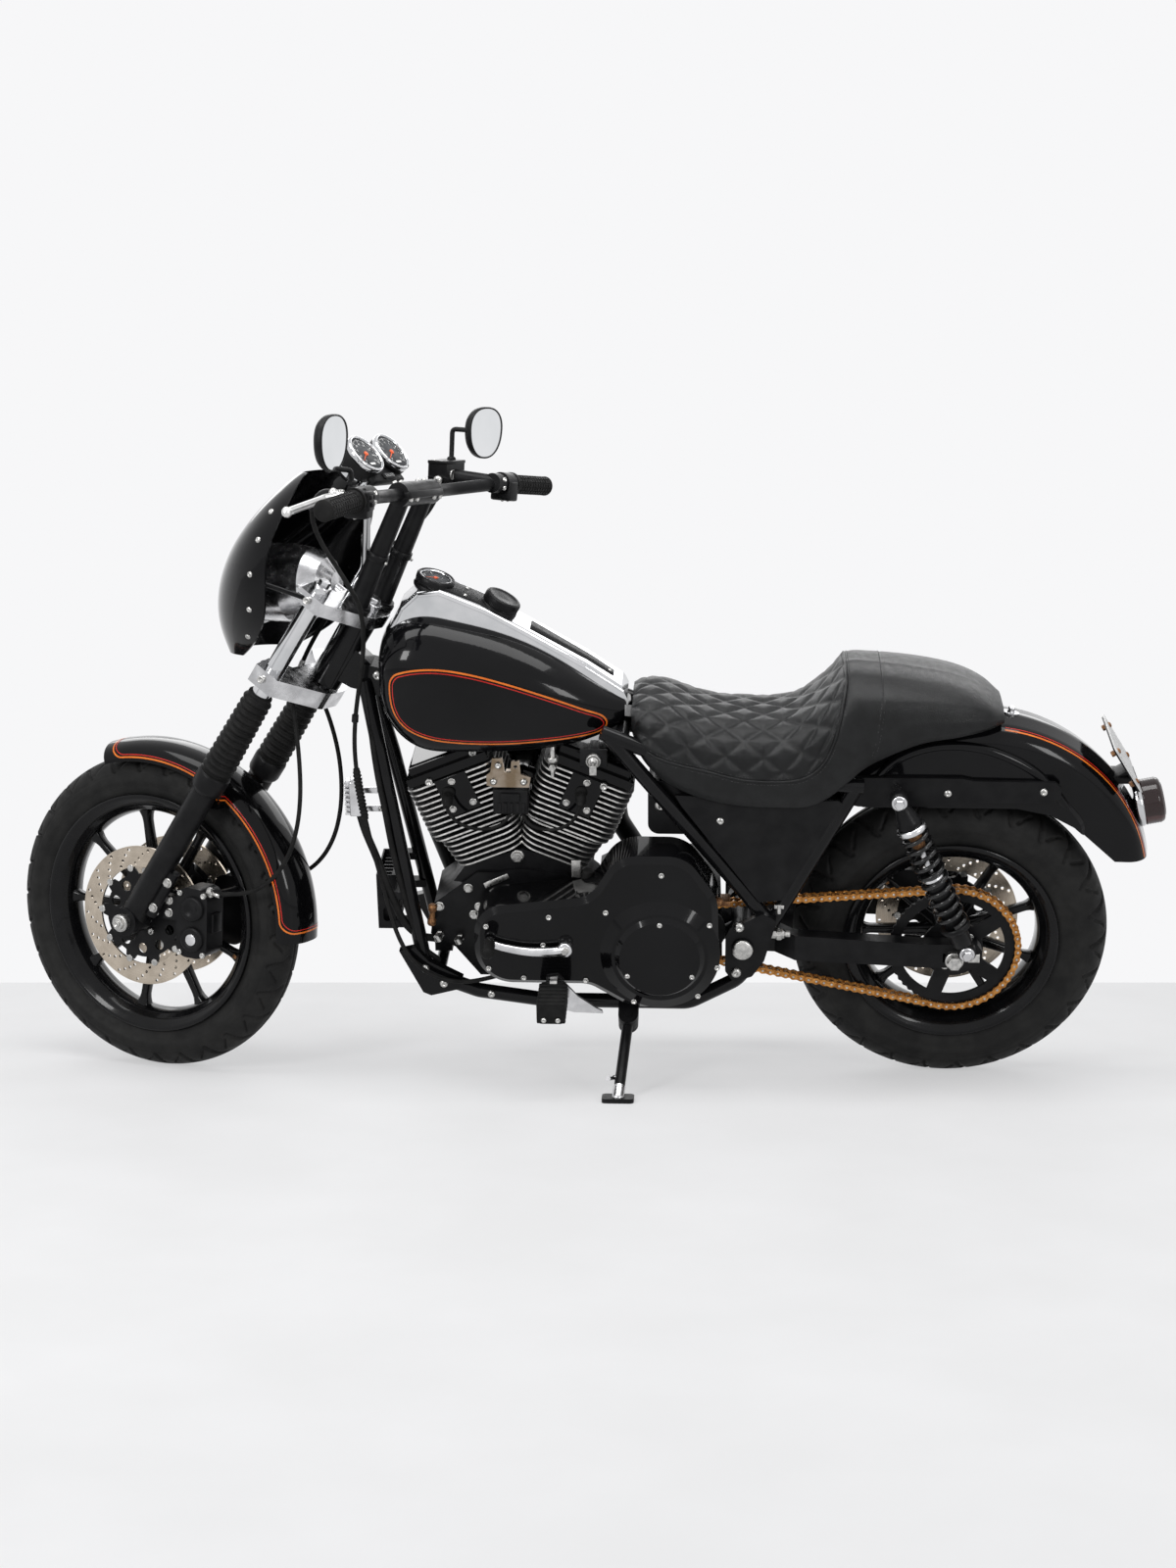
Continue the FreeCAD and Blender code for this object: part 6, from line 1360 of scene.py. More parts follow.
def riser_dress():
    """Bar clamp bolts, riser foot rings and the cable band."""
    steel = Piece("bar_clamp_bolts", "zinc", "steering")
    black = Piece("riser_bands", "satin", "steering")
    for side in (58, 34, -34, -58):
        steel.bolt(BAR + Vector((-22.6, side, -7)), (-0.95, 0, -0.3), 5, 4.5, "socket")
        steel.bolt(BAR + Vector((12, side, 20.4)), (0.5, 0, 0.86), 5, 4.5, "socket")
    black.box((-27, -66.5, -13), (-2, 66.5, 2), Matrix.Rotation(radians(16), 3, "Y"), BAR, 3)
    foot = on_steer(UPPER_CLAMP + 28)
    for sign in (1, -1):
        base = foot + Vector((0, sign * 46, 0)) + FORK_FORWARD * 4
        top = BAR + Vector((0, sign * 46, 0))
        middle = base.lerp(top, 0.46)
        black.lathe([(21.5, -7), (22.5, -6), (22.5, 6), (21.5, 7)], middle, top - base, 32)
        steel.bolt(middle + Vector((-21, sign * 5, -12)), (-1, 0, -0.3), 3.6, 3, "dome")
        black.lathe([(25.4, 0), (27.5, 1), (27.5, 9), (25, 11)], base, FORK_UP, 36)
    build_all(steel, black)


riser_dress()

DIAL_NORMAL = Vector((-0.72, 0, 0.69)).normalized()
DIAL_UP = Vector((0.69, 0, 0.72)).normalized()
DIAL_RIGHT = Vector((0, -1, 0))


def add_numeral(piece, words, height, place):
    """Raised plain numeral on a dial."""
    curve = bpy.data.curves.new("numeral", "FONT")
    curve.body = words
    curve.size = height
    curve.align_x = "CENTER"
    curve.align_y = "CENTER"
    text = bpy.data.objects.new("numeral", curve)
    mesh = bpy.data.meshes.new_from_object(text)
    points = [place + DIAL_RIGHT * v.co.x + DIAL_UP * v.co.y for v in mesh.vertices]
    piece.add(points, [tuple(p.vertices) for p in mesh.polygons], False)
    bpy.data.objects.remove(text)


def dial_axes(angle):
    """Outward and sideways directions on a dial."""
    return (DIAL_RIGHT * cos(angle) + DIAL_UP * sin(angle), DIAL_RIGHT * -sin(angle) + DIAL_UP * cos(angle))


def dial_mark(piece, base, out, across, far, near, half):
    piece.add([base + out * far + across * half, base + out * near + across * half,
               base + out * near - across * half, base + out * far - across * half], [(0, 1, 2, 3)], False)


def dial_needle(piece, base, out, across, tip, tail, half):
    piece.add([base + across * half - out * tail, base + out * tip + across * 0.4,
               base + out * tip - across * 0.4, base - across * half - out * tail], [(0, 1, 2, 3)], False)
def gauge_dress():
    """Two round dials with chrome bezels in a black housing that has a row of warning windows."""
    bezels = Piece("gauge_bezels", "chrome", "steering")
    faces = Piece("gauge_dials", "dial", "steering")
    marks = Piece("gauge_marks", "dial_white", "steering")
    needles = Piece("gauge_needles", "needle", "steering")
    house = Piece("gauge_housing", "plastic", "steering")
    glass = Piece("gauge_glasses", "lens", "steering")
    for index, sign in enumerate((1, -1)):
        centre = BAR + Vector((83, sign * 50, 71))
        bezels.ring([(43.4, -9), (44.4, -2), (43.6, 3.4), (41.4, 5.2), (38.6, 4.6), (37.4, 1.5), (38.4, -9)],
                    centre, DIAL_NORMAL, 64)
        faces.lathe([(38.2, 0.2), (38.2, 0.7), (0.01, 0.7)], centre, DIAL_NORMAL, 48)
        house.lathe([(8, -62), (24, -60), (35, -50), (41, -34), (43.8, -12), (43.8, -8)], centre, DIAL_NORMAL, 48)
        for k in range(41):
            out, across = dial_axes(radians(225 - 270 * k / 40))
            length, half = (6.5, 0.75) if k % 5 == 0 else (3.6, 0.35)
            base = centre + DIAL_NORMAL * 1.1
            dial_mark(marks, base, out, across, 35, 35 - length, half)
            if k % 5 == 0:
                add_numeral(marks, str(k // 5 * 20) if index == 0 else str(k // 5), 6.2, base + out * 23.5)
        face = Matrix((-DIAL_UP.cross(DIAL_NORMAL), DIAL_UP, DIAL_NORMAL)).transposed()
        marks.box((-9, -2.4, 0), (9, 2.4, 0.5), face, centre + DIAL_NORMAL * 0.8 - DIAL_UP * 24, 0.2)
        dial_needle(needles, centre + DIAL_NORMAL * 2.2, *dial_axes(radians(212)), 30, 7, 1.7)
        needles.lathe([(5, 0.9), (5, 3), (3.6, 3.6), (0.01, 3.6)], centre, DIAL_NORMAL, 24)
    plate = Matrix((DIAL_RIGHT * -1, DIAL_UP, DIAL_NORMAL)).transposed()
    middle = BAR + Vector((83, 0, 71))
    house.box((-58, -58, -30), (58, 6, -13), plate, middle, 7)
    house.box((-20, -54, -14), (20, -40, -9), plate, middle, 3)
    for k in range(5):
        across = -14 + 7 * k
        glass.box((across - 2.2, -51, -9.4), (across + 2.2, -43, -7.8), plate, middle, 0.6)
    build_all(bezels, faces, marks, needles, house, glass)


gauge_dress()


def superellipse(angle, power):
    """Distance from the middle to the edge of a rounded square of half width 1."""
    return (abs(cos(angle)) ** power + abs(sin(angle)) ** power) ** (-1 / power)
def mirror_dress():
    """Mirrors: domed black shells, thin rims and glass, each turned a little towards the rider, on bent stems."""
    glass = Piece("mirror_glasses", "mirror", "steering")
    shells = Piece("mirror_shells", "plastic", "steering", ("mirrors",))
    count = 72
    outline = [polar(superellipse(tau * k / count, 2.3), tau * k / count) for k in range(count)]
    half_w, half_h = 58, 52
    for sign in (1, -1):
        centre = BAR + Vector((6, sign * 300, 106))
        turn = Matrix.Rotation(radians(6.4) * sign, 3, "Z")

        def loop(size, depth):
            return [centre + turn @ Vector((depth, half_w * size * u * (1 + 0.1 * v), half_h * size * v))
                    for u, v in outline]

        shell = ((0.925, -0.6), (0.945, -2.4), (0.975, -2.8), (1, -1), (1, 5), (0.97, 11), (0.88, 16.5), (0.7, 20),
                 (0.4, 22), (0.1, 22.5))
        shells.add([p for size, depth in shell for p in loop(size, depth)], grid(len(shell), count))
        shells.add(loop(*shell[-1]), [tuple(range(count))], False)
        glass.add(loop(0.935, -1.0), [tuple(range(count))], False)
        end, along = bar_side(sign)
        if sign > 0:
            foot = end - along * (GRIP_LENGTH + 50) + Vector((34, -6, 20))
            path = [foot, foot + Vector((2, 2, 26)), centre + turn @ Vector((9, 0, -46))]
        else:
            foot = BAR + Vector((57, -252, 48.2))
            side = centre + turn @ Vector((9, 50, 6))
            path = [foot, Vector((foot.x, foot.y, side.z)), side]
        shells.sweep(filleted(path, 9), 5, 14)
        shells.lathe([(10, 0), (10, 5), (8, 8)], foot, (0, 0, 1), 6, False)
        shells.lathe([(7, -5), (8.5, -3), (8.5, 3), (7, 5)], path[-1], path[-1] - path[-2], 20)
    build_all(glass, shells)


mirror_dress()


def lamp_dress():
    """Headlamp rim, reflector, bulb shield and lens."""
    front = FRONT_AXLE + Vector((-221, 0, 709))
    back = FRONT_AXLE + Vector((-409, 0, 721))
    axis = (front - back).normalized()
    rim = Piece("headlamp_rim", "chrome", "steering")
    rim.ring([(83.5, -12), (85.5, -4), (84.5, 8), (80, 13), (75, 12), (74, 6), (78, -12)], front, axis, 72)
    rim.build()
    bowl = Piece("headlamp_reflector", "lamp_inside", "steering")
    bowl.lathe([(75.5, 8), (66, 4.6), (50, 2.4), (30, 1.0), (16, 0.6), (0.01, 0.5)], front, axis, 64)
    bowl.lathe([(14, 0.6), (15, 5), (12, 8), (0.01, 8.6)], front, axis, 32)
    bowl.build()
    lens = Piece("headlamp_lens", "lens", "steering")
    lens.lathe([(75.5, 8.6), (72, 11.5), (56, 15.4), (34, 17.8), (12, 18.8), (0.01, 19)], front, axis, 64)
    lens.build()


lamp_dress()


def fairing_dress():
    """Screws along the fairing's rear edge."""
    tree = surface("fairing", "steering")
    screws = Piece("fairing_screws", "zinc", "steering")
    for sign in (1, -1):
        for x, z in ((1330, 1008), (1322, 1078), (1306, 1146), (1290, 1200), (1352, 950)):
            place, facing, _, _ = tree.ray_cast(*level_sight(x, z, sign))
            if place is not None:
                facing = facing if facing.y * sign > 0 else -facing
                screws.bolt(place - facing * 0.4, facing, 6, 3.4, "dome")
    screws.build()


fairing_dress()


# Engine and frame fittings

SIDE_NODES = ("cylinders", "rocker_boxes", "crankcase", "primary_cover", "gearbox", "pivot_plates", "side_covers",
              "oil_tank", "front_mount_plates", "cradle_tubes", "rear_frame_tubes", "fender_struts",
              "steering_head_and_backbone", "swingarm", "rear_axle", "rear_fender", "rear_caliper")
side_trees = {name: surface(name, "frame") for name in SIDE_NODES}
HEAD_SIDE = 80


def seat_at(x, z, names=SIDE_NODES, sign=1):
    """Outermost place on the named parts, seen level from one side at (x, z)."""
    best = None
    for name in names:
        place = side_trees[name].ray_cast(*level_sight(x, z, sign))[0]
        if place is not None and (best is None or place.y * sign > best.y * sign):
            best = place
    return best


def side_bolts(piece, spots, radius, height, kind="socket", names=SIDE_NODES, sides=(1,)):
    for x, z in spots:
        for sign in sides:
            place = seat_at(x, z, names, sign)
            if place is not None:
                piece.bolt(place - Vector((0, sign * 0.5, 0)), (0, sign, 0), radius, height, kind)


def on_cylinder(sign, across, side, level):
    """Point on the front (1) or rear (-1) cylinder."""
    return CRANK + Matrix.Rotation(sign * FIN_HALF_ANGLE, 3, "Y") @ Vector((across, side, level))


def engine_bolts():
    zinc = Piece("engine_bolts", "zinc", "frame")
    side_bolts(zinc, [(1050, 672), (982, 695), (962, 733), (780, 700), (702, 669), (742, 722)], 7.5, 7, "socket",
               ("rocker_boxes", "cylinders"), (1, -1))
    side_bolts(zinc, [(879, 503), (879, 443)], 11, 9, "hex", ("crankcase", "cylinders"))
    side_bolts(zinc, [(980, 434), (959, 392), (970, 374), (1040, 392), (1022, 436)], 8, 7, "hex",
               ("crankcase",))
    side_bolts(zinc, [(808, 436), (695, 448), (585, 531), (490, 423), (474, 329), (512, 264), (933, 414),
                      (820, 374), (736, 296), (640, 250), (860, 300), (930, 320)], 5.6, 4.5, "socket",
               ("primary_cover",))
    side_bolts(zinc, [(588, 432), (652, 318), (524, 318)], 5.6, 3.6, "dome", ("primary_cover",))
    side_bolts(zinc, [(1066, 283), (1029, 250)], 9, 8, "dome", ("front_mount_plates",), (1, -1))
    side_bolts(zinc, [(933, 226)], 8, 7, "dome", ("cradle_tubes",), (1, -1))
    side_bolts(zinc, [(431, 392), (436, 290)], 11, 9, "dome", ("pivot_plates",), (1, -1))
    side_bolts(zinc, [(471, 618), (247, 591)], 8, 5, "dome", ("side_covers",), (1, -1))
    side_bolts(zinc, [(589, 638)], 12, 8, "dome", ("oil_tank",), (1, -1))
    side_bolts(zinc, [(26, 670), (-160, 675)], 8, 5, "dome", ("fender_struts",), (1, -1))
    side_bolts(zinc, [(1150, 880)], 10, 6, "dome", ("steering_head_and_backbone",), (1, -1))
    for sign in (1, -1):
        place = seat_at(424, 344, ("pivot_plates",), sign)
        zinc.lathe([(21.6, -3), (21.6, 1), (19, 4), (8, 4.6), (0.01, 4.6)], place, (0, sign, 0), 40)
        zinc.bolt(Vector((0, sign * 142, 320)), (0, sign, 0), 15, 15, "hex")
        zinc.box((-5, -2, -9), (18, 3, 9), origin=(-46, sign * 131, 322), bevel=1)
    zinc.build()


engine_bolts()


def sparking_side():
    """Plug pads, boots and leads, and the holder between the heads."""
    pads = Piece("plug_pads", "paint", "frame", slot="satin_black")
    boots = Piece("plug_boots", "rubber", "frame")
    zinc = Piece("head_fittings", "zinc", "frame")
    black = Piece("coil_block", "plastic", "frame")
    bracket = Piece("head_bracket", "heat_steel", "frame")
    for sign in (1, -1):
        turn = Matrix.Rotation(sign * FIN_HALF_ANGLE, 3, "Y")
        for side in (1, -1):
            low, high = sorted([side * (HEAD_SIDE - 3), side * (HEAD_SIDE + 1.6)])
            pads.box((-34, low, 281), (34, high, 364), turn, CRANK, 2)
        for across, level in ((-22, 296), (22, 296), (0, 352)):
            zinc.bolt(on_cylinder(sign, across, HEAD_SIDE + 1.4, level), (0, 1, 0), 6, 5, "hex")
    for x, z in ((1012, 652), (747, 656)):
        boots.lathe([(13, 0), (13, 4), (10, 6), (10, 16), (11.5, 18), (11.5, 30), (8, 34), (7, 44), (4.5, 47)],
                    (x, HEAD_SIDE, z), (0, 1, -0.28), 20)
    black.box((852, 58, 611), (922, 95, 664), bevel=3)
    black.box((868, 94, 640), (906, 101, 658), bevel=1.5)
    for k in range(5):
        black.box((858 + 12 * k, 94, 615), (864 + 12 * k, 97, 636), bevel=0.8)
    outline = [(934, 694), (934, 672), (920, 668), (850, 668), (846, 690), (866, 696), (868, 724), (884, 724),
               (886, 700), (898, 700), (902, 730), (922, 730), (926, 700)]
    bracket.plate(outline, [circle(876, 712, 4, 16)], 84, 90, lambda u, v, h: Vector((u, h, v)))
    bracket.box((880, 40, 672), (900, 86, 688), bevel=1.5)
    for x, z in ((910, 716), (920, 681), (860, 681)):
        zinc.bolt((x, 90, z), (0, 1, 0), 7.5, 7, "dome")
    for name, route in (("plug_lead_front", [(1012, 124, 640), (1004, 121, 616), (984, 112, 594), (950, 103, 580),
                                             (914, 98, 584), (893, 91, 600), (888, 84, 612)]),
                        ("plug_lead_rear", [(747, 124, 644), (756, 121, 616), (776, 112, 594), (806, 103, 580),
                                            (842, 98, 584), (861, 91, 600), (866, 84, 612)])):
        rubber_cord(name, [FRAME @ Vector(p) for p in route], 3.5, "frame", "stiff")
    zinc.lathe([(9, -14), (9, 14), (7, 18), (7, 24)], (802, 78, 716), (0, 1, 0), 6, False)
    zinc.cylinder((802, 88, 762), (802, 88, 700), 5.5, 16)
    zinc.lathe([(11, -5), (12, -4), (12, 4), (11, 5)], (802, 88, 730), (0, 0, 1), 24)
    zinc.box((-3, 0, -20), (3, 4, 4), origin=(802, 101, 716), bevel=1)
    black.box((-30, -2, -18), (24, 3, 20), origin=(724, 94, 734), bevel=2)
    black.box((-9, -60, -6), (9, 0, 6), origin=(721, 94, 742), bevel=1)
    zinc.lathe([(15, 0), (15, 8), (12.5, 11), (12.5, 9), (6, 9), (6, 12), (0.01, 12)], (721, 97, 732),
               (0, 1, 0), 36)
    zinc.box((-1.2, 10, -9), (1.2, 26, 4), origin=(721, 97, 732), bevel=0.4)
    zinc.box((-7, 24, -16), (7, 26.5, 3), origin=(721, 97, 726), bevel=1)
    build_all(pads, boots, zinc, black, bracket)


sparking_side()


def lower_side():
    """Tag, oil fittings, linkage and the folded box on the downtube."""
    zinc = Piece("side_fittings", "zinc", "frame")
    bronze = Piece("bronze_fittings", "rust", "frame")
    polished = Piece("horn_box", "polished", "frame")
    black = Piece("side_hoses", "rubber", "frame")
    tag = seat_at(922, 452, ("crankcase",))
    turn = Matrix.Rotation(radians(25), 3, "Y")
    zinc.box((-27, -1, -6), (27, 3, 6), turn, tag, 1)
    for x, z, height in ((1041, 330, 26), (1000, 322, 20)):
        place = seat_at(x, z, ("crankcase",)) or Vector((x, 60, z))
        zinc.lathe([(9, -6), (9, 6), (6.5, 8), (6.5, height)], place, (0, 1, 0), 6, False)
        zinc.lathe([(8, -3), (8, 9)], place + Vector((0, height, 0)), (0.4, 0, 0.9), 20)
    bronze.lathe([(7, 0), (9, 3), (9, 12), (6, 15), (6, 30), (9, 33), (9, 44), (5, 47)], (1056, 86, 358),
                 (-0.1, 0, 1), 16)
    bronze.lathe([(7, 0), (9, 3), (9, 12), (6, 15), (6, 24)], (465, 126, 437), (1, 0, 0.2), 16)
    bronze.box((-16, -30, -5), (4, 8, 5), origin=(465, 126, 437), bevel=1)
    zinc.lathe([(9, -16), (9, 10), (6, 13), (6, 22)], (351, 133, 372), (-1, 0, 0), 6, False)
    zinc.lathe([(8, -10), (8, 8)], (351, 133, 372), (0, 0, 1), 20)
    zinc.box((-10, 0, -4), (10, 5, 4), origin=(352, 130, 432), bevel=1.5)
    zinc.lathe([(5, -14), (5, 6)], (352, 132, 432), (0, 0, 1), 16)
    zinc.box((748, 92, 474), (768, 98, 512), bevel=2)
    black.lathe([(12, 0), (13, 2), (13, 26), (11, 29)], (738, 96, 462), (-0.2, 0, 1), 24)
    polished.box((1190, 30, 589), (1214, 66, 664), bevel=3)
    for k in range(7):
        polished.box((1213, 31, 592 + 10.4 * k), (1223.5, 65, 597 + 10.4 * k), bevel=1)
    polished.box((1138, 58, 600), (1192, 64, 612), bevel=1)
    polished.box((1138, 58, 640), (1192, 64, 652), bevel=1)
    for z in (606, 646):
        zinc.bolt((1152, 64, z), (0, 1, 0), 5, 4, "dome")
    hose = smooth_path([(1196, 52, 590), (1184, 66, 556), (1164, 86, 516), (1146, 98, 470), (1128, 104, 420),
                        (1108, 104, 372), (1080, 98, 340), (1048, 84, 326)], 6)
    black.sweep(hose, 8, 14)
    wires = smooth_path([(1168, 38, 820), (1162, 62, 760), (1152, 82, 690), (1140, 92, 620), (1128, 98, 540),
                         (1112, 104, 460), (1096, 108, 390), (1072, 108, 320), (1040, 104, 286)], 8)
    black.sweep(wires, 6, 12)
    build_all(zinc, bronze, polished, black)


lower_side()


def foot_dress():
    """Polished levers with rubber toe pegs, ribbed foot rubbers and the left peg's plate."""
    levers = Piece("foot_levers", "polished", "frame", ("foot_controls",))
    rubber = Piece("foot_rubbers", "rubber", "frame")
    steel = Piece("foot_bolts", "zinc", "frame")
    shift = smooth_path([(776, 214, 372), (800, 213, 367), (850, 212, 366), (896, 212, 374), (926, 212, 384)], 5)
    levers.sweep(shift, 8.6, 16, scale_at=lambda s: 1.25 - 0.35 * s)
    levers.lathe([(14, 0), (15, 2), (15, 20), (13, 22), (7, 22.5), (0.01, 22.5)], (776, 198.3, 372), (0, 1, 0), 32)
    levers.lathe([(10, -8), (11, -6), (11, 8), (9, 10)], (926, 212, 384), (0, 1, 0), 28)
    steel.bolt((776, 220.5, 372), (0, 1, 0), 7, 6, "hex")
    rubber.lathe([(9, 8), (12, 10)] + [(12.5 - 1.6 * (k % 2), 12 + 3 * k) for k in range(15)] + [(10, 58), (4, 59)],
                 (926, 204, 384), (0, 1, 0), 28)
    brake = smooth_path([(804, -236, 236), (832, -238, 240), (866, -240, 252), (905, -243, 276), (936, -246, 300)], 5)
    levers.sweep(brake, 7, 16)
    levers.lathe([(13, -14), (13, 14)], (804, -236, 236), (0, 1, 0), 28)
    rubber.lathe([(9, -40), (11.5, -38)] + [(12 - 1.4 * (k % 2), -36 + 4 * k) for k in range(14)] + [(10, 20)],
                 (936, -246, 300), (0, 1, 0), 28)
    for sign, out in ((1, Vector((800, 206, 274))), (-1, Vector((800, -236, 274)))):
        for k in range(6):
            near, far = sorted([sign * (8 + 15 * k), sign * (18 + 15 * k)])
            rubber.box((-28.6, near, -22.6), (28.6, far, 22.6), origin=out, bevel=3)
        for across in (-14, 14):
            steel.bolt(out + Vector((across, sign * 97.5, -12)), (0, sign, 0), 5.5, 4, "dome")
        steel.lathe([(9, -7), (9, 7)], out + Vector((0, sign * 3, 20)), (1, 0, 0), 20)
    outline = [(814, 304), (792, 308), (776, 290), (752, 262), (716, 236), (704, 230), (702, 224), (760, 226),
               (800, 238), (822, 262)]
    levers.plate(outline, [], 199, 205, lambda u, v, h: Vector((u, h, v)))
    build_all(levers, rubber, steel)


foot_dress()


def shock_dress():
    """Coil-over shocks: eyes, black top body, silver collar, bronze stop, shaft, coil and lower body."""
    body = Piece("shock_bodies", "satin", "frame", ("rear_shocks",))
    coil = Piece("shock_coils", "spring", "frame")
    silver = Piece("shock_collars", "polished", "frame")
    stop = Piece("shock_stops", "rust", "frame", slot="rubber")
    side, wire, turns = 168, 4.7, 10.5
    for sign in (1, -1):
        top, foot = Vector((126, sign * side, 684)), Vector((-20, sign * side, 357))
        axis = (foot - top).normalized()
        length = (foot - top).length
        for point, inner in ((top, 103.2), (foot, 129.2)):
            body.lathe([(16, -13), (18, -11), (18, 11), (16, 13)], point, (0, sign, 0), 32)
            silver.lathe([(10, -15), (10, 15)], point, (0, sign, 0), 24)
            silver.cylinder((point.x, sign * inner, point.z), point, 8, 20)
            silver.lathe([(15, 15), (15, 17.5), (12, 18)], point, (0, sign, 0), 32)
            silver.lathe([(11, 18), (11, 24), (9.5, 26)], point, (0, sign, 0), 6, False)
        body.lathe([(11, 12), (15, 18), (19, 30), (22, 44), (25, 48), (25, 58), (22, 61), (8, 62)], top, axis, 36)
        silver.lathe([(26, 60), (30, 62), (30.5, 68), (29, 72), (24, 73), (8, 73)], top, axis, 40)
        stop.lathe([(9, 72), (14, 76), (15, 84), (12, 90), (15, 96), (13, 106), (9, 110)], top, axis, 28)
        silver.lathe([(6.2, 62), (6.2, 200)], top, axis, 20)
        body.lathe([(8, 168), (19, 170), (20, 176), (20, length - 20), (12, length - 10)], top, axis, 36)
        silver.lathe([(21, 176), (22.5, 178), (22.5, 184), (21, 186)], top, axis, 36)
        body.lathe([(20, length - 62), (30, length - 66), (30.5, length - 58), (27, length - 52), (20, length - 50)],
                   top, axis, 40)
        turn = axis.to_track_quat("Z", "Y").to_matrix()
        start, end = 76, length - 69
        path = []
        for k in range(int(turns * 28) + 1):
            share = k / (turns * 28)
            path.append(top + turn @ Vector((*polar(25.5, tau * turns * share), start + (end - start) * share)))
        coil.sweep(path, wire, 10)
    build_all(body, coil, silver, stop)


shock_dress()


def fender_place(degrees, lift):
    return FENDER_CENTRE + upright(1, radians(degrees)) * (FENDER_RADIUS + lift)


def tail_dress():
    """Round tail lamp on a bright base, blank plate on a black bracket, and the tab behind the seat."""
    base, out = fender_place(153.4, -3), Vector((-0.94, 0, 0.2))
    ring = Piece("tail_lamp_base", "chrome", "frame", ("tail_lamp",))
    ring.lathe([(43, 2), (45, 3), (47.6, 6), (48, 15), (46.5, 18), (44, 19)], base, out, 56)
    ring.build()
    lens = Piece("tail_lamp_lens", "smoked", "frame")
    profile = [(44, 17), (46, 20)]
    profile += [(46.6 - 1.2 * (k % 2), 22 + 2.6 * k) for k in range(12)]
    profile += [(44, 55), (40, 58), (34, 59), (33, 60.5), (24, 61), (22, 60), (10, 61.5), (0.01, 61.8)]
    lens.lathe(profile, base, out, 56)
    lens.build()
    foot = fender_place(145.2, 29)
    turn = Matrix.Rotation(radians(32), 3, "Y")

    def on_plate(u, v, height):
        return foot + turn @ Vector((-height, u, v))

    corners = ((82, 102, 0), (-82, 102, 90), (-82, 10, 180), (82, 10, 270))
    outline = [(cx + x, cy + y) for cx, cy, first in corners
               for x, y in (polar(10, radians(first + 18 * k)) for k in range(6))]
    plate = Piece("number_plate", "plate", "frame", ("plate_bracket",))
    plate.plate(outline, [], -0.5, 2, on_plate)
    inner = [(u * 0.93, 56 + (v - 56) * 0.9) for u, v in outline]
    plate.plate(inner, [], 2, 2.5, on_plate)
    plate.build()
    back = Piece("number_plate_bracket", "satin", "frame")
    back.plate([(u * 0.96, 56 + (v - 56) * 0.96) for u, v in outline], [], -4, -0.4, on_plate)
    back.box((foot.x, -30, foot.z - 6), (foot.x + 60, 30, foot.z + 8), bevel=2)
    back.box((-34, -24, -4), (-4, 24, 6), turn, foot + turn @ Vector((36, 0, 22)), 2)
    back.build()
    bolts = Piece("number_plate_bolts", "rust", "frame")
    for u in (-66, 66):
        for v in (94, 18):
            bolts.bolt(on_plate(u, v, 2.4), turn @ Vector((-1, 0, 0)), 6, 4, "dome")
            bolts.bolt(on_plate(u, v, -4), turn @ Vector((1, 0, 0)), 6, 9, "hex")
    bolts.build()
    tab = Piece("seat_tab", "polished", "frame")
    crown = fender_place(100.4, 0.6)
    tilt = Matrix.Rotation(radians(-10), 3, "Y")
    tab.plate([(17 * cos(tau * k / 40), 11 * sin(tau * k / 40)) for k in range(40)], [],
              0, 3, lambda u, v, h: crown + tilt @ Vector((u, v, h)))
    tab.lathe([(8, 2), (8, 4), (6, 6), (7, 9), (7, 12), (5, 14)], crown, tilt @ Vector((0, 0, 1)), 28)
    tab.build()


tail_dress()


def strip(piece, line, section_at):
    """Skin along a line on the middle plane; section_at gives the (height, half width) pairs of one side."""
    rows = []
    last = len(line) - 1
    for i, p in enumerate(line):
        along = (line[min(i + 1, last)] - line[max(i - 1, 0)]).normalized()
        lift = Vector((-along.z, 0, along.x))
        lift = lift if lift.z > 0 else -lift
        side = section_at(i / last)
        rows.append([p + lift * height + Vector((0, wide, 0))
                     for height, wide in side + [(height, -wide) for height, wide in reversed(side)]])
    n = len(rows[0])
    for near, far in zip(rows, rows[1:]):
        piece.add(near + far, [(i, i + 1, i + n + 1, i + n) for i in range(n - 1)])
    for row in (rows[0], rows[-1]):
        piece.add(row, [tuple(range(n))], False)


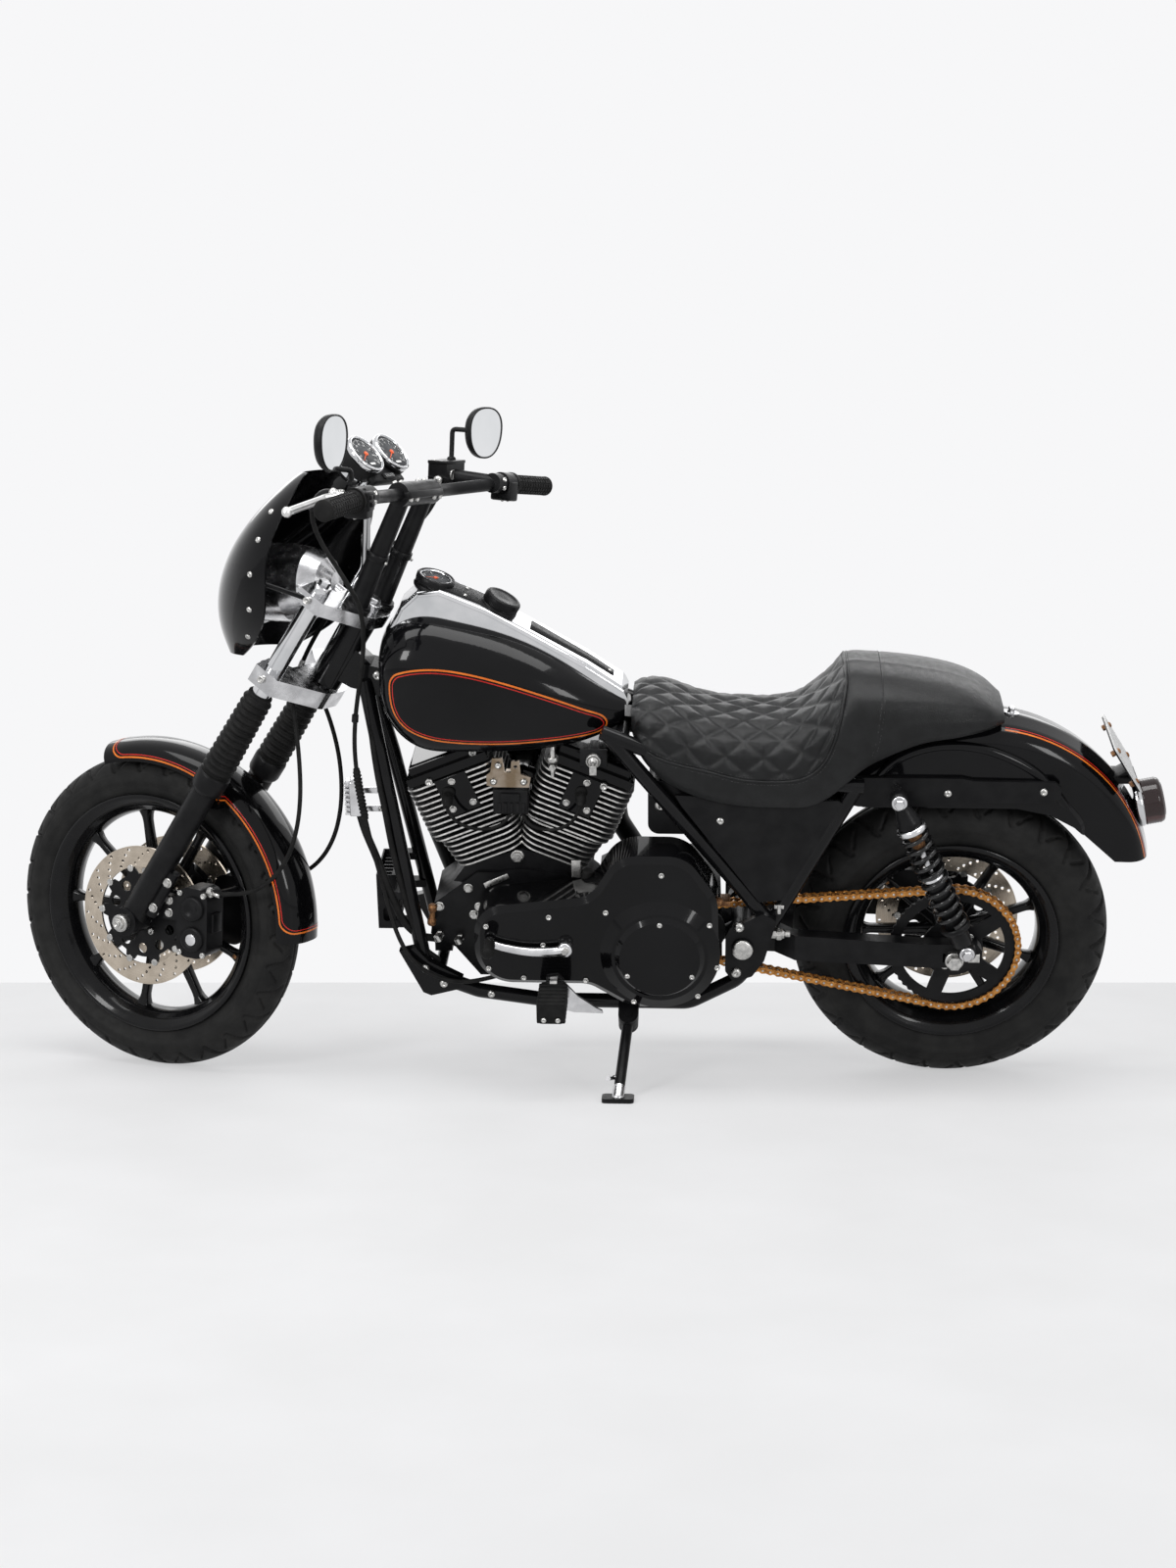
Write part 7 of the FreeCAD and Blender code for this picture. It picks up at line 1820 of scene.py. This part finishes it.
def console_dress():
    """Black panel and strip on the bright console, black fuel cap and a small round gauge."""
    panel = Piece("console_panel", "plastic", "frame")

    def panel_section(share):
        end = min(share, 1 - share)
        wide = 31 * min(1.0, sqrt(max(0.0, 1 - (1 - min(1.0, end / 0.09)) ** 2)) + 0.05)
        return [(-4, wide), (1.0, wide), (1.8, wide * 0.95)]

    strip(panel, smooth_path([(1066, 0, 1058.5), (1050, 0, 1061.6), (1019.9, 0, 1064), (985, 0, 1050),
                              (930, 0, 1026), (905, 0, 1011.8), (884, 0, 999.8)], 6), panel_section)
    strip(panel, smooth_path([(846, 0, 978.6), (790, 0, 945.5), (734, 0, 912), (700, 0, 888.8), (684, 0, 877.8)], 6),
          lambda share: [(-2, 22 - 8 * share), (0.9, 22 - 8 * share)])
    panel.build()
    cap = Piece("fuel_cap", "satin", "frame")
    cap_foot, cap_axis = Vector((912, 0, 1008)), Vector((-0.48, 0, 0.88)).normalized()
    cap.lathe([(37.5, 4), (38, 6), (38, 10), (35.5, 12)], cap_foot, cap_axis, 64)
    teeth = 96
    place = turned(cap_foot, cap_axis)
    grip = [place(radius - 0.9 * (k % 2), tau * k / teeth, along)
            for radius, along in ((35.4, 11), (37, 13), (37, 27), (35.6, 30.4)) for k in range(teeth)]
    cap.add(grip, grid(4, teeth))
    cap.lathe([(35.2, 30), (33, 32), (28, 32.4), (26.5, 31.4), (12, 32), (0.01, 32.2)], cap_foot, cap_axis, 64)
    foot, axis = Vector((1037.9, 0, 1050)), Vector((-0.3, 0, 0.95)).normalized()
    cap.lathe([(39, 4), (40, 8), (37.4, 12)], foot, axis, 64)
    cap.ring([(37.4, 10), (38.6, 20), (38.2, 28), (35.5, 30.4), (32, 29.6), (31, 25), (31, 12)], foot, axis, 64)
    cap.build()
    rim = Piece("fuel_gauge_rim", "chrome", "frame")
    rim.ring([(32.2, 25), (32, 28.8), (30.6, 29.4), (29.6, 26), (29.8, 24.6)], foot, axis, 64)
    rim.build()
    face = Piece("fuel_gauge_dial", "dial", "frame")
    face.lathe([(30.6, 24.4), (30.6, 25), (0.01, 25)], foot, axis, 48)
    face.build()
    marks = Piece("fuel_gauge_marks", "dial_white", "frame")
    forward = Vector((0.95, 0, 0.3)).normalized()

    def gauge_axes(angle):
        out = forward * cos(angle) + Vector((0, -1, 0)) * sin(angle)
        return out, out.cross(axis).normalized()

    for k in range(9):
        half, inner = (1.0, 20) if k % 4 == 0 else (0.5, 23)
        dial_mark(marks, foot + axis * 25.5, *gauge_axes(radians(-60 + 15 * k)), 27, inner, half)
    marks.build()
    needle = Piece("fuel_gauge_needle", "needle", "frame")
    dial_needle(needle, foot + axis * 26.2, *gauge_axes(radians(-30)), 22, 6, 1.4)
    needle.lathe([(4, 25), (4, 27), (3, 27.6), (0.01, 27.6)], foot, axis, 24)
    needle.build()
    screws = Piece("console_screws", "zinc", "frame")
    for x, side, z in ((972, 20, 1047), (972, -20, 1047), (893, 0, 1007)):
        screws.bolt((x, side, z - 1.5), (-0.4, 0, 0.91), 4, 3, "dome")
    screws.bolt((692, 0, 884), (-0.56, 0, 0.83), 4, 2.4, "dome")
    screws.build()


console_dress()


def stand_dress():
    """Side stand: bright foot and small kick peg."""
    pivot, foot = Vector((653, 157, 184)), Vector((668, 322, 99))
    bright = Piece("stand_foot", "polished", "side_stand", slot="satin_black")
    along = (foot - pivot).normalized()
    bright.sweep([foot - along * 26, foot - along * 10, foot + along * 1], 12.4, 20)
    bright.lathe([(12.4, 0), (12, 5), (9, 9), (0.01, 11)], foot, along, 20)
    peg = pivot.lerp(foot, 0.72)
    bright.sweep(smooth_path([peg, peg + Vector((16, 6, -2)), peg + Vector((24, 26, 8))], 3), 5, 12)
    bright.build()


stand_dress()


def wheel_dress():
    """Valve stem on each wheel."""
    for name, centre, rim, place in (("front", FRONT_AXLE, FRONT_RIM, 200), ("rear", REAR_AXLE, REAR_RIM, 40)):
        stem = Piece(name + "_valve_stem", "rust", name + "_wheel")
        out = upright(1, radians(place))
        seat = centre + out * (rim - 6) + Vector((0, 12, 0))
        stem.lathe([(6, -4), (6, 4), (4, 6), (3.6, 20), (4.6, 21), (4.6, 30), (3, 32)], seat, -out, 16)
        stem.build()


wheel_dress()


# Wheels

HUB_RADIUS, HUB_HALF = 46, 59.5
SPOKES = 9


def cast_rim(name, centre, rim_radius, bead_half, lean_out):
    """Nine slim spokes that flare into a rim with rounded lips, and a turned hub."""
    piece = Piece(name + "_casting", "frame_paint", name + "_wheel", (name + "_rim",))
    seat, edge = rim_radius - 0.3, bead_half + lean_out
    half = [(seat - 10, 0), (seat, bead_half - 12), (seat, bead_half + 0.3), (seat + 12, edge),
            (seat + 12.8, edge + 3), (seat + 11, edge + 6.2), (seat + 6, edge + 7), (seat + 1, edge + 5),
            (seat - 3, bead_half + 7),
            (seat - 9, bead_half + 5), (seat - 13, bead_half - 3), (seat - 21, bead_half - 9),
            (seat - 25, bead_half - 16), (seat - 28, bead_half - 30), (seat - 29, 0)]
    loop = half + [(r, -y) for r, y in reversed(half[1:-1])]
    piece.ring(loop, centre, (0, 1, 0), 180)
    hub = [(12, HUB_HALF), (38, HUB_HALF), (44, HUB_HALF - 2), (HUB_RADIUS, HUB_HALF - 8), (40, 14), (38, 0)]
    piece.ring([(r, -y) for r, y in hub] + hub[-2::-1], centre, (0, 1, 0), 72)
    root, outer = 36, seat - 22
    sections, around = 22, 20
    for spoke in range(SPOKES):
        angle = tau * (spoke + 0.25) / SPOKES
        out = Vector((sin(angle), 0, cos(angle)))
        across = Vector((cos(angle), 0, -sin(angle)))
        points = []
        for i in range(sections):
            share = i / (sections - 1)
            reach = root + (outer - root) * share
            wide = 8.2 + 5.5 * (1 - share) ** 2 + 10 * max(0.0, (share - 0.84) / 0.16) ** 2
            deep = 11.5 + 3 * (1 - share) + 5 * max(0.0, (share - 0.8) / 0.2) ** 2
            for k in range(around):
                turn = tau * k / around
                c, s = cos(turn), sin(turn)
                shape = superellipse(turn, 3.2)
                groove = 1 - 0.2 * exp(-((c * shape) / 0.3) ** 2) * min(1.0, 8 * share, 8 * (1 - share))
                points.append(centre + out * reach + across * (wide * c * shape)
                              + Vector((0, deep * s * shape * groove, 0)))
        piece.add(points, grid(sections, around))
    piece.build()


cast_rim("front", FRONT_AXLE, FRONT_RIM, 36, 6.3)
cast_rim("rear", REAR_AXLE, REAR_RIM, 50, 5.4)


def open_sprocket():
    """Toothed ring on five arms, bolted to the wheel's left side."""
    piece = Piece("sprocket_ring", "satin", "rear_wheel", ("rear_sprocket",))
    arms, teeth = 5, 312
    outline = [polar(125.2 + 3.2 * (0.5 + 0.5 * cos(tau * k / 6)), tau * k / teeth) for k in range(teeth)]
    windows = [circle(0, 0, 24, 40)]
    for k in range(arms):
        middle = tau * (k + 0.5) / arms
        windows.append([polar(106, middle + t / 10 * 0.48) for t in range(-10, 11)]
                       + [polar(62, middle - t / 10 * 0.36) for t in range(-10, 11)])
    piece.plate(outline, windows, -3.5, 3.5, lambda u, v, h: REAR_AXLE + Vector((u, CHAIN_SIDE + h, v)))
    piece.ring([(24, -23), (HUB_RADIUS, -23), (HUB_RADIUS, -3.5), (24, -3.5)],
               REAR_AXLE + Vector((0, CHAIN_SIDE, 0)), (0, 1, 0), 60)
    piece.build()
    bolts = Piece("sprocket_bolts", "zinc", "rear_wheel")
    for k in range(arms):
        bolts.bolt(REAR_AXLE + upright(42, tau * k / arms, CHAIN_SIDE + 3.4), (0, 1, 0), 6.5, 6, "hex")
    bolts.build()


open_sprocket()


def right_side():
    """Pushrod tubes, air cleaner cover, cam cover screws, exhaust clamps and the muffler's mouth."""
    tubes = Piece("pushrod_tubes", "chrome", "frame")
    for sign in (1, -1):
        for across in (-18, 18):
            tubes.cylinder(on_cylinder(sign, across, -92, 128), on_cylinder(sign, across, -92, 365), 8.8, 24)
            for low, high in ((132, 146), (236, 246), (350, 362)):
                tubes.cylinder(on_cylinder(sign, across, -92, low), on_cylinder(sign, across, -92, high), 12.5, 24)
    tubes.build()
    cover = Piece("air_cleaner_face", "satin", "frame")
    middle = CRANK + Vector((0, -198, 314))
    cover.lathe([(70, -4), (72, 0), (69, 2), (64, 2.2), (62, 0.8), (44, 1.4), (42, 3.4), (14, 4.4), (12, 6),
                 (0.01, 6.4)], middle, (0, -1, 0), 72)
    for k in range(24):
        angle = tau * k / 24
        cover.box((-8, -2.2, -1.2), (8, 0.4, 1.2), Matrix.Rotation(-angle, 3, "Y"),
                  middle + upright(53, angle, -0.6), 0.8)
    cover.build()
    screws = Piece("right_side_screws", "zinc", "frame")
    for k in range(3):
        screws.bolt(middle + upright(28, tau * k / 3 + 0.5, -3), (0, -1, 0), 5, 5, "socket")
    spots = [(916 + x, 330 + z) for x, z in (polar(73, 0.4 + 1.256 * k) for k in range(5))]
    side_bolts(screws, spots, 5.5, 5, "socket", ("crankcase",), (-1,))
    side_bolts(screws, [(560, 300), (660, 300), (660, 400), (560, 410)], 6, 6, "hex", ("gearbox",), (-1,))
    pipe = Piece("exhaust_clamps", "polished", "frame")
    for at, along, radius in (((1046, -118, 603), (0.1, -1, 0), 26), ((698, -118, 603), (-0.1, -1, 0), 26),
                              ((655, -188, 247), (1, 0, 0), 30)):
        pipe.lathe([(radius - 3, -9), (radius, -8), (radius, 8), (radius - 3, 9)], at, along, 40)
        screws.bolt(Vector(at) + Vector((0, -4, radius + 2)), (0, 0, 1), 6, 6, "hex")
    pipe.ring([(44.6, -22), (46, -20), (46, 2), (43, 6), (31, 6), (28, 3), (28, -16), (30, -22)], (236, -188, 246),
              (-1, 0, 0), 64)
    pipe.ring([(44.6, -6), (46, -4), (46, 4), (44.6, 6)], (560, -188, 246), (1, 0, 0), 64)
    pipe.build()
    screws.build()
    mouth = Piece("muffler_mouth", "rubber", "frame")
    mouth.lathe([(27.8, 0.4), (27.8, 1.2), (0.01, 1.2)], (236, -188, 246), (-1, 0, 0), 48)
    mouth.build()


right_side()


def fender_beads():
    """Rounded edge along the raised side panels of the rear fender."""
    bead = Piece("rear_fender_beads", "paint", "frame")
    path = smooth_path([(186, 0, 640), (168, 0, 686), (126, 0, 733), (68, 0, 759), (0, 0, 764), (-70, 0, 748),
                        (-142, 0, 709), (-199, 0, 648), (-236, 0, 592)], 6)
    for sign in (1, -1):
        bead.sweep([p + Vector((0, sign * 85.5, 0)) for p in path], 9.5, 20,
                   scale_at=lambda s: min(1.0, 0.3 + 5 * s, 0.3 + 5 * (1 - s)))
    bead.build()


fender_beads()


# Studio

VIEW_HEADING = 4.354  # degrees from the row frame to the photograph's floor


def seen_directly(tree):
    """1 for rays that show a surface to the camera, also in a mirror or through glass; 0 for its light."""
    rays = node(tree, "LightPath").outputs
    either = calc(tree, "MAXIMUM", rays["Is Camera Ray"], rays["Is Glossy Ray"])
    return calc(tree, "MAXIMUM", either, rays["Is Transmission Ray"])


def background():
    world = bpy.data.worlds.new("studio_world")
    bpy.context.scene.world = world
    world.use_nodes = True
    tree = world.node_tree
    tree.nodes.clear()
    seen, light = (node(tree, "Background", {"Color": (*colour, 1), "Strength": strength}).outputs["Background"]
                   for colour, strength in (((0.93, 0.93, 0.94), 1.0), ((0.9, 0.92, 0.95), 0.3)))
    mix = node(tree, "MixShader", {0: seen_directly(tree), 1: light, 2: seen})
    fill(tree, node(tree, "OutputWorld"), {"Surface": mix.outputs["Shader"]})


def floor():
    """Pale floor that ends along the photograph's wall line, partly lit by itself so that it stays even."""
    mesh = bpy.data.meshes.new("studio_floor")
    turn = Matrix.Rotation(radians(VIEW_HEADING - 1.27), 4, "Z")
    corners = ((-9, -0.89), (11, -0.89), (11, 9), (-9, 9))
    mesh.from_pydata([turn @ Vector((x, y, -0.0005)) for x, y in corners], [], [(0, 1, 2, 3)])
    made = bpy.data.objects.new("studio_floor", mesh)
    show(made)
    mesh.materials.append(finish_material("pale_floor", (0.7, 0.7, 0.7), (0.76, 0.76, 0.765), (0.5, 0.65),
                                          grain=3, bump=0.02, specular=0.2))
    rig.stage(made)
    tree = mesh.materials[0].node_tree
    shader, out = (next(n for n in tree.nodes if n.bl_idname == kind)
                   for kind in ("ShaderNodeBsdfPrincipled", "ShaderNodeOutputMaterial"))
    pale = node(tree, "Emission", {"Color": (0.86, 0.86, 0.87, 1), "Strength": 1.0}).outputs["Emission"]
    share = calc(tree, "MULTIPLY", seen_directly(tree), 0.55)
    mix = node(tree, "MixShader", {0: share, 1: shader.outputs["BSDF"], 2: pale})
    fill(tree, out, {"Surface": mix.outputs["Shader"]})


def softbox(name, place, target, size, power):
    lamp = bpy.data.lights.new(name, "AREA")
    lamp.shape = "RECTANGLE"
    lamp.size, lamp.size_y = size
    lamp.energy = power
    made = bpy.data.objects.new(name, lamp)
    made.location = place
    made.rotation_euler = (Vector(target) - Vector(place)).to_track_quat("-Z", "Y").to_euler()
    show(made)


def photo_camera():
    """Camera at the photograph's place."""
    to_row = Matrix.Rotation(radians(VIEW_HEADING), 3, "Z")
    eye = to_row @ Vector((0.85813, 5.13205, 1.23286))
    yaw, dip = 0.0221, radians(7.015)
    look = to_row @ Vector((-sin(yaw) * cos(dip), -cos(yaw) * cos(dip), -sin(dip)))
    right = to_row @ Vector((-cos(yaw), sin(yaw), 0))
    data = bpy.data.cameras.new("photo_camera")
    data.lens, data.sensor_width = 57.6, 36
    camera = bpy.data.objects.new("photo_camera", data)
    camera.matrix_world = (Matrix.Translation(eye)
                           @ Matrix((right, right.cross(look), -look)).transposed().to_4x4())
    show(camera)
    bpy.context.scene.camera = camera
    bpy.context.scene.view_settings.view_transform = "Standard"


background()
floor()
softbox("overhead_softbox", (0.8, 0.9, 3.6), (0.8, 0.2, 0), (4.4, 1.3), 100)
softbox("key_softbox", (3.6, 3.8, 2.6), (0.8, 0, 0.6), (1.0, 1.5), 90)
softbox("fill_softbox", (-2.6, 4.2, 1.8), (0.8, 0, 0.6), (0.9, 1.6), 58)
softbox("back_softbox", (0.8, -2.8, 2.4), (0.8, 0, 0.6), (5.0, 1.2), 40)
photo_camera()

json.dump({"cad": [list(map(float, corner)) for corner in cad_box],
           "scene": [list(map(float, corner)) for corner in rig.bounds()]},
          open("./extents.json", "w"))
